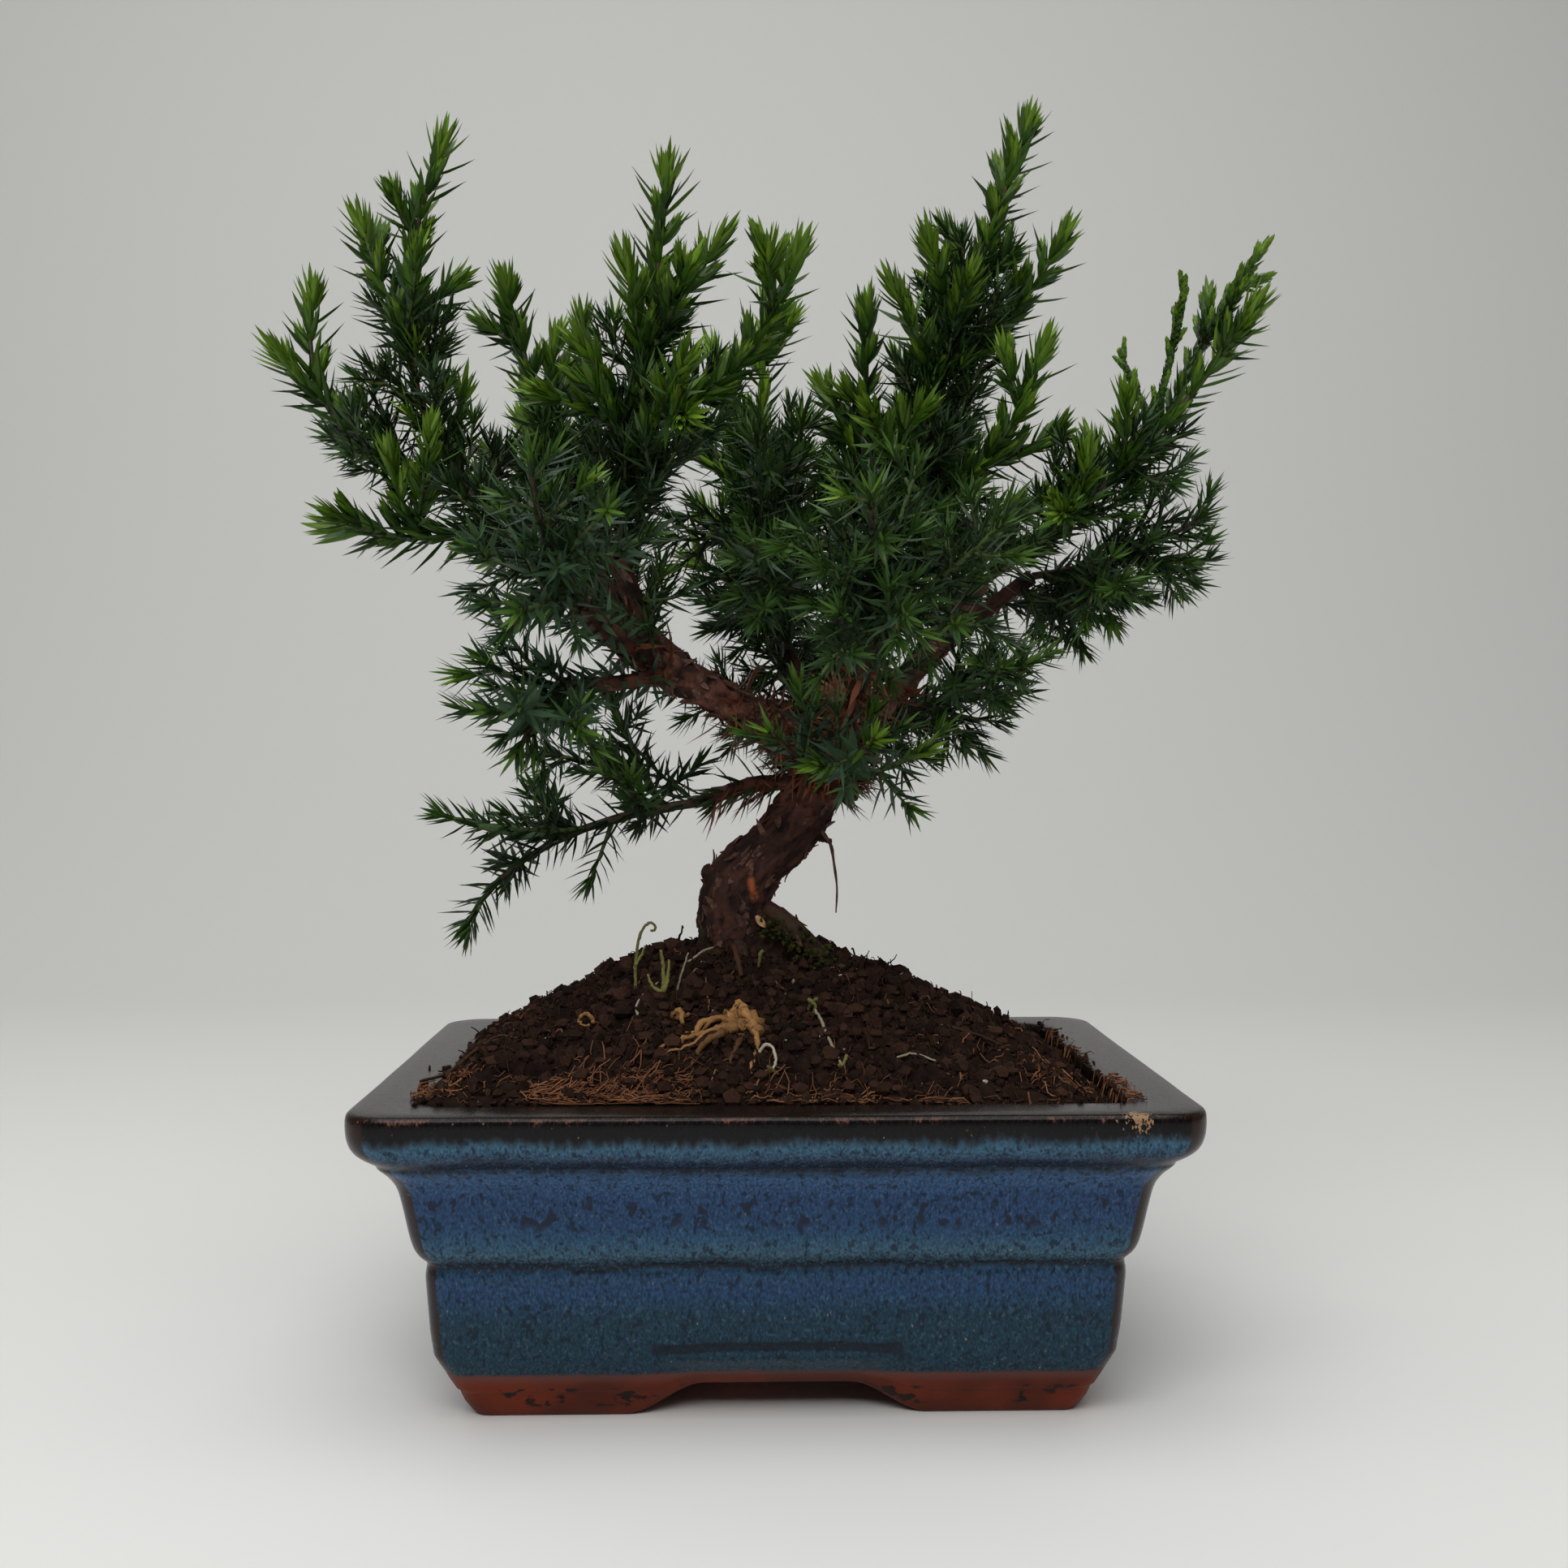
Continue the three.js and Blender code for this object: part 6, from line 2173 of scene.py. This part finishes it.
STRANDS: dict[Strew, tuple[Strand, ...]] = {
    Strew.ROOT: (
        Strand(((-3.4, -35.4, 0.7), (-6.0, -33.8, 1.5), (-10.2, -33.6, 1.4), (-14.5, -33.8, 0.8),
            (-18.3, -35.9, 0.7), (-22.4, -38, 0.2)), (1.5, 0.3)),
        Strand(((-4.0, -33, 1.1), (-8.5, -34, 1.5), (-12, -36, 1.0), (-14.4, -38, 0.8),
            (-15.5, -41, 0.3)), (1.3, 0.3)),
        Strand(((-5.5, -30.5, 0.8), (-8.5, -31, 1.5), (-12.5, -31.6, 1.1), (-15.5, -33.2, 0.8),
            (-18.5, -34.4, 0.3)), (1.2, 0.3)),
        Strand(((-6.5, -29.5, 1.0), (-5.5, -32, 1.9), (-4.2, -35.5, 1.4), (-3.6, -38, 0.8),
            (-4.8, -40.8, 0.3)), (1.2, 0.35)),
        Strand(((-9.5, -33, 1.3), (-12.5, -34.6, 1.0), (-16, -37.2, 0.7), (-20, -38.4, 0.3)),
            (0.7, 0.2)),
        Strand(((-7.0, -32, 1.6), (-11, -32.4, 1.5), (-14.2, -32.2, 1.1), (-17.2, -33.2, 0.4)),
            (0.8, 0.25)),
        Strand(((-8.8, -29.6, 0.8), (-9.6, -32, 1.7), (-10.5, -34.5, 1.2)), (1.0, 0.4)),
        Strand(((-6.2, -35.6, 1.3), (-7.8, -37.6, 1.0), (-8.2, -40.0, 0.3)), (0.8, 0.25)),
        Strand(((-8.0, -30.2, 0.9), (-7.2, -28.6, 1.6), (-5.6, -28.2, 0.6)), (0.9, 0.4)),
        Strand(((-4.6, -31.4, 0.8), (-3.4, -33.0, 1.5), (-2.6, -35.0, 0.5)), (0.9, 0.4)),
        Strand(((-7.5, -30.5, 0.4), (-5.0, -31.0, 1.2), (-3.2, -32.2, 0.5)), (1.5, 1.9)),
        Strand(((-19.6, -28.5, 0.6), (-17.8, -28.9, 1.3), (-16.4, -28.2, 0.5)), (0.9, 0.5)),
        Strand(((-18.6, -27.6, 0.6), (-17.8, -28.4, 1.5), (-17.2, -30.0, 0.4)), (0.7, 0.4)),
        Strand(((-34.3, -26.2, 1.1), (-34.4, -26.2, 2.2), (-35.4, -26.1, 3.1), (-36.6, -26, 2.7),
            (-37.0, -26, 1.7), (-36.2, -26.2, 0.9), (-35.0, -26.6, 1.1)), (0.42, 0.28), True),
    ),
    Strew.PALE: (
        Strand(((-26.0, -24.8, 0.3), (-26.3, -23.4, 1.1), (-25.2, -20.6, 1.2), (-22.4, -16.9, 0.5)),
            (0.36, 0.24)),
        Strand(((-18.9, -20.8, -0.3), (-18.2, -20.6, 3.0), (-17.4, -20.2, 5.6), (-16.6, -20, 8.2)),
            (0.3, 0.2), True),
        Strand(((-17.2, -12.3, 0.5), (-13.1, -10.8, 0.8), (-9.6, -7.4, 0.8)), (0.34, 0.24)),
        Strand(((7.4, -27.8, 1.6), (8.4, -30, 1.2), (9.8, -34.8, 1.0), (11.9, -38.9, 0.5)),
            (0.34, 0.42)),
        Strand(((-3.6, -38.4, 0.5), (-2.2, -38.2, 1.5), (-0.8, -38.6, 1.6), (-0.2, -40.2, 1.1),
            (-0.9, -42.4, 0.6)), (0.42, 0.3)),
        Strand(((22, -37, 0.4), (25, -36, 1.0), (29, -37.5, 0.5)), (0.3, 0.2)),
    ),
    Strew.GREEN: (
        Strand(((-26.6, -17.6, -0.5), (-26.9, -17.8, 3.2), (-26.7, -18, 6.6), (-26.4, -18, 9.6),
            (-25.5, -18, 12.2), (-24.3, -18, 13.6), (-23.2, -18, 13.3), (-23.1, -18, 12.3),
            (-23.9, -18, 12.2)), (0.4, 0.3), True),
        Strand(((-26.9, -18, 5.6), (-25.6, -18.4, 7.6), (-25.0, -18.4, 9.4)), (0.4, 0.2), True),
        Strand(((-21.4, -22.5, -0.4), (-21.2, -22.6, 3.0), (-21.3, -22.6, 6.2),
            (-21.8, -22.6, 9.2)), (0.7, 0.35), True),
        Strand(((-21.2, -22.8, 1.5), (-20.4, -23.0, 4.2), (-20.2, -23.0, 7.6)), (0.6, 0.25), True),
        Strand(((-21.4, -22.9, 1.2), (-23.4, -23.4, 2.8), (-24.2, -23.4, 5.0)), (0.5, 0.2), True),
        Strand(((6.2, -26.6, 0.6), (6.6, -27.2, 2.2), (8.0, -27.6, 3.0)), (0.3, 0.5), True),
        Strand(((7.2, -27.4, 0.8), (7.4, -27.8, 2.4), (6.2, -28.0, 3.4)), (0.3, 0.5), True),
        Strand(((-1.8, -42.6, 0.7), (-0.9, -42.9, 1.0), (0.2, -42.8, 0.7)), (0.5, 0.4)),
        Strand(((11.2, -39.0, 0.6), (12.0, -39.4, 1.0), (12.8, -39.0, 0.6)), (0.4, 0.4)),
        Strand(((-3.0, -14.5, 0.2), (-2.8, -14.8, 2.4), (-2.2, -14.8, 3.6)), (0.3, 0.5), True),
    ),
    Strew.STICK: (
        Strand(((-7.9, -9.5, 0.9), (-7.2, -14.0, 1.2), (-6.4, -19.3, 0.6)), (0.9, 0.5)),
        Strand(((-66.5, -27, 0.5), (-62, -21, 1.0), (-56, -17.6, 1.1), (-50, -16, 0.5)),
            (0.35, 0.5)),
        Strand(((-60, -12, 0.6), (-54, -16, 1.2), (-49, -22, 0.6)), (0.4, 0.3)),
        Strand(((4.6, -6.4, 3.4), (5.0, -6.6, 6.4), (4.5, -6.6, 8.6)), (0.35, 0.22), True),
        Strand(((33, -20, 0.6), (38, -24, 1.4), (43, -25, 0.5)), (0.5, 0.35)),
        Strand(((16, 24, 0.6), (24, 26, 1.4), (33, 22, 0.5)), (0.5, 0.3)),
    ),
}


@dataclass(frozen=True)
class FibrePatch:
    """Fibres matted on the soil: where, how many, which way they lie and how long they are."""

    x: tuple[float, float]
    y: tuple[float, float]
    count: int
    spread: float
    length: tuple[float, float] = (4.0, 11.0)
    thickness: float = 0.26
    kind: Strew = Strew.FIBRE
    lift: float = 0.25


FIBRE_PATCHES = (
    FibrePatch((-46, -20), (-46.5, -41.5), 170, 9, (5, 15), 0.22),
    FibrePatch((-66, -56), (-43, -30), 90, 90, (2, 7)),
    FibrePatch((-8, 30), (-47, -44), 60, 20, (4, 12)),
    FibrePatch((44, 65), (-46, -20), 90, 60, (3, 9)),
    FibrePatch((-64, -52), (-6, 34), 60, 60, (3, 8)),
    FibrePatch((48, 64), (0, 40), 60, 60, (3, 8)),
    FibrePatch((-40, 40), (38, 46.5), 80, 25, (4, 12)),
    FibrePatch((-62, 62), (-46, 46), 230, 180, (2.5, 8)),
    FibrePatch((-62, 62), (-46, 46), 1500, 180, (1.2, 5), 0.3, Strew.SHRED, 0.55),
)


@dataclass
class Mound:
    """Heap of dark crumbly soil that fills the pot, with roots and sprouts on it."""

    half_x: float = 62.7
    half_y: float = 46.7
    edge: float = 57.3
    peak: float = 84.0
    level: float = 79.9
    middle: float = -5.0
    power: float = 1.3
    roundness: float = 0.82
    fall: float = 0.06
    rim_level: float = 58.1
    below: tuple[tuple[float, float], ...] = ((0.99, 54.0), (0.93, 34.0), (0.87, 13.0))
    rings: int = 125
    columns: int = 420
    crumbs: int = 8400
    spilled: int = 340
    moss_line: tuple[Triple, ...] = ((-1, -8, 87), (3, -8.5, 85), (7, -10, 82), (11, -12, 77.5))
    moss_bits: int = 260
    lump_layer: Layer = Layer(8.0, 1.5)
    clod_layer: Layer = Layer(3.0, 1.2)
    grain_layer: Layer = Layer(1.3, 0.7)
    smallest_crumb: float = 0.25
    crumb_growth: float = 1.65
    crumb_rarity: float = 4.0
    pale_share: float = 0.016
    moss_spread: Triple = (1.9, 1.5, 0.9)
    moss_sizes: tuple[float, float] = (0.25, 0.75)
    spilled_sizes: tuple[float, float] = (0.25, 0.8)
    slimness: float = 0.82
    fibre_steps: int = 6
    fibre_bend: float = 0.4
    seed: int = 5

    def __post_init__(self) -> None:
        """Starts the seeded draws."""
        self.random = np.random.default_rng(self.seed)
        self.noise = Noise(self.seed)

    def build(self) -> None:
        """Makes the heap, the crumbs on it and the litter."""
        # The heap's finish paints shade into the hollows of its relief from the heights in the mark
        # high.
        earth = Crumbs("soil_heap", colour(24, 16, 13), colour(56, 37, 28), painted_relief_shade=True)
        points, faces, high = self._heap()
        self._settle(earth, [(points, faces)], True, {"high": high})
        self._scatter_crumbs()
        self._lay_litter()

    @staticmethod
    def _settle(
        finish: Crumbs,
        parts: Iterable[Shape],
        smooth: bool = False,
        marks: Mapping[str, np.ndarray] | None = None,
    ) -> None:
        """Joins one piece of soil, which takes the name of its finish, to the model.

        Args:
            finish: Its finish.
            parts: Points and faces of each of its parts.
            smooth: Whether its faces are shaded as one round skin.
            marks: Numbers kept at each point, by name.
        """
        skin = Skin()
        for points, faces in parts:
            skin.add(points, faces)
        settle(skin.build(finish.name, [finish.material()], smooth, marks), ["soil"])

    def place(self, share: np.ndarray, angle: np.ndarray) -> np.ndarray:
        """Points on the heap without its relief.

        Args:
            share: How far out they are, from 0 to 1.
            angle: The angle round the pot.

        Returns:
            The points.
        """
        x, y = np.cos(angle), np.sin(angle)
        reach_x = self.half_x / np.maximum(np.abs(x), 1e-6)
        reach = np.minimum(reach_x, self.half_y / np.maximum(np.abs(y), 1e-6))
        rect_x, rect_y = x * reach, y * reach
        rounding = np.minimum(1, 3 * (1 - share))
        out_x = rect_x + (self.half_x * x - rect_x) * rounding
        out_y = rect_y + (self.half_y * y - rect_y) * rounding
        px = out_x * share + self.middle * (1 - share)
        py = out_y * share
        dome = (1 - share**self.power) ** self.roundness
        z = self.edge + (self.peak - self.edge) * dome - self.fall * np.maximum(px, 0)
        return np.stack([px, py, np.minimum(z, self.level)], -1)

    def relief(self, points: np.ndarray, share: np.ndarray) -> tuple[np.ndarray, np.ndarray]:
        """How far the crumbly relief lifts each point, and how high it lies beside the next."""
        lump, clod, grain = self.lump_layer, self.clod_layer, self.grain_layer
        lumps = self.noise.layered(points / lump.size, 2) * lump.depth
        clods = 0.55 - 1.6 * np.abs(self.noise.layered(points / clod.size + 30, 2))
        grains = self.noise.layered(points / grain.size + 60, 2)
        high = np.clip(0.5 + 0.55 * clods + 0.4 * grains, 0, 1)
        lift = lumps + clod.depth * clods + grain.depth * grains
        return lift * smooth_step(1.0, 0.93, share), high

    def _heap(self) -> tuple[np.ndarray, np.ndarray, np.ndarray]:
        """The closed heap, whose heights are kept for what lies on it.

        Returns:
            Points, triangles and how high each point lies in the relief, from 0 to 1, which the
            heap's finish uses to paint shade into the hollows.
        """
        shares = np.linspace(0, 1, self.rings + 1)[1:] ** 0.8
        angles = np.linspace(0, 2 * math.pi, self.columns + 1)[:-1]
        share, angle = np.meshgrid(shares, angles, indexing="ij")
        top = self.place(share, angle)
        flat = top.reshape(-1, 3)
        lift, high = self.relief(flat, share.ravel())
        flat[:, 2] += lift
        self.ground = KDTree(len(flat))
        for number, (x, y, _) in enumerate(flat):
            self.ground.insert((x, y, 0), number)
        self.ground.balance()
        self.ground_heights = flat[:, 2].copy()
        outer = top[-1]
        rings = [flat.reshape(top.shape)]
        for shrink, z in self.below:
            ring = outer * np.array([shrink, shrink, 0])
            ring[:, 2] = z
            rings.append(ring[None])
        grid = np.concatenate(rings)
        count = self.columns
        column = np.arange(count)
        walls = walls_between(len(grid), count)[:, ::-1]
        points = grid.reshape(-1, 3)
        centre = self.place(np.array([0.0]), np.array([0.0]))
        centre[:, 2] = self.ground_heights[0]
        base = np.array([[0, 0, self.below[-1][1]]])
        total = len(points)
        cap = np.stack([np.full(count, total), column, (column + 1) % count], 1)
        last = (len(grid) - 1) * count
        foot = np.stack([np.full(count, total + 1), last + (column + 1) % count, last + column], 1)
        high = np.append(high, np.full(len(points) + 2 - len(high), 0.5))
        return np.concatenate([points, centre, base]), np.concatenate([walls, cap, foot]), high

    def height_at(self, x: float, y: float) -> float:
        """The height of the soil, or of the pot's rim beside it, at a place."""
        _, number, _ = self.ground.find((x, y, 0))
        height = float(self.ground_heights[number])
        outside = abs(x) > self.half_x - 0.6 or abs(y) > self.half_y - 0.6
        return max(height, self.rim_level) if outside else height

    def _scatter_crumbs(self) -> None:
        """Makes the loose crumbs, most of them dark and some of them pale or mossy."""
        dark = Crumbs("soil_crumbs", colour(22, 15, 12), colour(70, 47, 36))
        pale = Crumbs("soil_bits", colour(118, 100, 82), colour(214, 206, 190))
        moss = Crumbs("soil_moss", colour(28, 27, 15), colour(72, 72, 34))
        share = np.sqrt(self.random.random(self.crumbs)) * 0.99
        angle = self.random.random(self.crumbs) * 2 * math.pi
        centres = self.place(share, angle)
        centres[:, 2] += self.relief(centres, share)[0] + 0.15
        grown = self.random.random(self.crumbs) ** self.crumb_rarity
        size = self.smallest_crumb + self.crumb_growth * grown
        is_pale = self.random.random(self.crumbs) < self.pale_share
        size = np.where(is_pale, np.minimum(size * 0.5, 0.5), size)
        loose = self._lumps(centres[~is_pale], size[~is_pale])
        self._settle(dark, [loose, self._lumps(*self._spill())])
        self._settle(pale, [self._lumps(centres[is_pale], size[is_pale])])
        line = smooth_curve(np.array(self.moss_line, float), 12)
        on_ridge = line[self.random.integers(0, len(line), self.moss_bits)]
        on_ridge = on_ridge + self.random.normal(0, 1, on_ridge.shape) * np.array(self.moss_spread)
        floor = np.array([self.height_at(x, y) for x, y, _ in on_ridge])
        on_ridge[:, 2] = np.maximum(on_ridge[:, 2] - 1.2, floor + 0.2)
        size = self.random.uniform(*self.moss_sizes, len(on_ridge))
        self._settle(moss, [self._lumps(on_ridge, size)])

    def _spill(self) -> tuple[np.ndarray, np.ndarray]:
        """Middles and half widths of the crumbs along the rim's inner edge."""
        angle = self.random.random(self.spilled) * 2 * math.pi
        centres = self.place(np.ones(self.spilled), angle)
        out = 1 + self.random.exponential(0.012, self.spilled) - 0.01
        centres[:, :2] *= np.minimum(out, 1.08)[:, None]
        centres[:, 2] = self.rim_level + 0.1
        return centres, self.random.uniform(*self.spilled_sizes, self.spilled)

    def _lumps(self, centres: np.ndarray, size: np.ndarray) -> Shape:
        """Small uneven lumps with twenty faces.

        Args:
            centres: Their middles.
            size: Their half widths.

        Returns:
            Their points and their triangles.
        """
        golden = (1 + 5**0.5) / 2
        corners = []
        for a in (-1, 1):
            for b in (-golden, golden):
                corners += [(0, a, b), (a, b, 0), (b, 0, a)]
        ball = unit(np.array(corners, float))
        faces = []
        for i in range(12):
            for j in range(i + 1, 12):
                for k in range(j + 1, 12):
                    sides = [np.linalg.norm(ball[p] - ball[q]) for p, q in ((i, j), (j, k), (i, k))]
                    if max(sides) < 1.2:
                        normal = np.cross(ball[j] - ball[i], ball[k] - ball[i])
                        faces.append((i, j, k) if normal @ ball[i] > 0 else (i, k, j))
        count = len(centres)
        shape = ball[None] * self.random.uniform(0.65, 1.25, (count, 12, 1))
        shape = shape * self.random.uniform(0.6, 1.3, (count, 1, 3))
        points = centres[:, None] + shape * size[:, None, None]
        triangles = np.array(faces)[None] + (np.arange(count) * 12)[:, None, None]
        return points.reshape(-1, 3), triangles.reshape(-1, 3)

    def _lay_litter(self) -> None:
        """Makes the roots, sprouts, sticks and fibres, each kind as one piece."""
        parts: dict[Strew, list[Shape]] = {kind: [] for kind in Strew}
        for kind, strands in STRANDS.items():
            parts[kind] += [self._strand(strand, kind is Strew.ROOT) for strand in strands]
        for patch in FIBRE_PATCHES:
            parts[patch.kind] += [self._fibre(patch) for _ in range(patch.count)]
        for kind in Strew:
            self._settle(Crumbs(*kind.value, roughness=0.8), parts[kind], True)

    def _strand(self, strand: Strand, is_root: bool) -> Shape:
        """One root, sprout or stick.

        Args:
            strand: Its course and its thickness.
            is_root: Whether it is as gnarled as a root.

        Returns:
            Its points and its triangles.
        """
        foot = self.height_at(*strand.course[0][:2])
        course = [
            (x, y, lift + (foot if strand.upright else self.height_at(x, y)))
            for x, y, lift in strand.course
        ]
        points = smooth_curve(np.array(course), 5)
        rough = 0.3 if is_root else 0.12
        sway = 0.3 * min(1.0, strand.radii[0] / 1.5) if is_root else 0.05
        points = points + self.random.normal(0, sway, points.shape)
        radii = np.linspace(*strand.radii, len(points))
        radii = radii * self.random.uniform(1 - rough, 1 + rough, len(points))
        return tube(points, radii * self.slimness, 8)

    def _fibre(self, patch: FibrePatch) -> Shape:
        """One thin fibre that lies on the soil.

        Args:
            patch: The patch that it belongs to.

        Returns:
            Its points and its triangles.
        """
        x, y = self.random.uniform(*patch.x), self.random.uniform(*patch.y)
        turn = self.random.normal(0, math.radians(patch.spread))
        length, steps = self.random.uniform(*patch.length), self.fibre_steps
        lift = self.random.uniform(0.1, 0.5)
        course = []
        for _ in range(steps):
            x = float(np.clip(x, -self.half_x - 3, self.half_x + 3))
            y = float(np.clip(y, -self.half_y - 1.5, self.half_y + 1.5))
            course.append((x, y, self.height_at(x, y) + lift))
            turn += self.random.normal(0, self.fibre_bend)
            x += math.cos(turn) * length / steps
            y += math.sin(turn) * length / steps
            lift = max(0.1, lift + self.random.normal(0, patch.lift))
        radius = patch.thickness * self.random.uniform(0.35, 1.0)
        return tube(np.array(course), np.linspace(radius, radius * 0.5, steps), 4)


# Studio


@dataclass(frozen=True)
class Light:
    """A soft rectangular light: its place, its target, its sides and its power in watts."""

    name: str
    place: Triple
    target: Triple
    wide: float
    deep: float
    power: float

    def build(self) -> None:
        """Makes the light."""
        data = bpy.data.lights.new(self.name, "AREA")
        data.shape = "RECTANGLE"
        data.size, data.size_y = self.wide * MM, self.deep * MM
        data.energy = self.power
        made = bpy.data.objects.new(self.name, data)
        way = Vector(self.target) - Vector(self.place)
        made.location = Vector(self.place) * MM
        made.rotation_euler = way.to_track_quat("-Z", "Y").to_euler()
        bpy.context.scene.collection.objects.link(made)


@dataclass(frozen=True)
class Studio:
    """Pale sweep, soft lights and a camera in front of the pot. Lengths in millimetres."""

    camera: Triple = (-6.7, -353.8, 117.4)
    yaw: float = 0.0254
    pitch: float = 0.0097
    lens: float = 39.93
    sensor: float = 36.0
    half_width: float = 1500.0
    near: float = -1200.0
    curve_start: float = 520.0
    curve_radius: float = 420.0
    wall_top: float = 1700.0
    world: float = 0.07
    lights: tuple[Light, ...] = (
        Light("overhead_light", (-40, -200, 1150), (0, -60, 0), 1300, 900, 8.3),
        Light("front_light", (-180, -820, 860), (0, -60, 30), 1100, 400, 6.3),
    )

    def build(self) -> None:
        """Makes the sweep, the lights, the world and the camera."""
        self._sweep()
        for light in self.lights:
            light.build()
        world = bpy.data.worlds.new("world")
        world.use_nodes = True
        background = world.node_tree.nodes["Background"]
        background.inputs["Color"].default_value = (1, 1, 1, 1)
        background.inputs["Strength"].default_value = self.world
        scene = bpy.context.scene
        scene.world = world
        scene.view_settings.view_transform = "Standard"
        data = bpy.data.cameras.new("camera")
        data.sensor_width = self.sensor
        data.lens = self.lens
        data.clip_start, data.clip_end = 0.01, 20
        made = bpy.data.objects.new("camera", data)
        made.location = [v * MM for v in self.camera]
        made.rotation_euler = (math.pi / 2 - self.pitch, 0, -self.yaw)
        scene.collection.objects.link(made)
        scene.camera = made

    def _sweep(self) -> None:
        """Makes the floor, which curves up into the backdrop."""
        angles = np.linspace(0, math.pi / 2, 17)
        y = self.curve_start + self.curve_radius * np.sin(angles)
        z = self.curve_radius * (1 - np.cos(angles))
        y = np.concatenate([[self.near], y, [y[-1]]])
        z = np.concatenate([[0], z, [self.wall_top]])
        ends = (-self.half_width, self.half_width)
        sides = [np.stack([np.full_like(y, x), y, z], 1) for x in ends]
        row = np.arange(len(y) - 1)
        faces = np.stack([row, row + len(y), row + len(y) + 1, row + 1], 1)
        skin = Skin()
        skin.add(np.concatenate(sides), faces)
        skin.build("sweep", [Paper().material()])


def main() -> None:
    """Builds the model and its studio."""
    logging.basicConfig(level=logging.INFO, format="%(message)s")
    tree = Tree()
    Pot().build()
    Mound().build()
    Wood(tree).build()
    Foliage(tree).build()
    Studio().build()


if __name__ == "__main__":
    main()
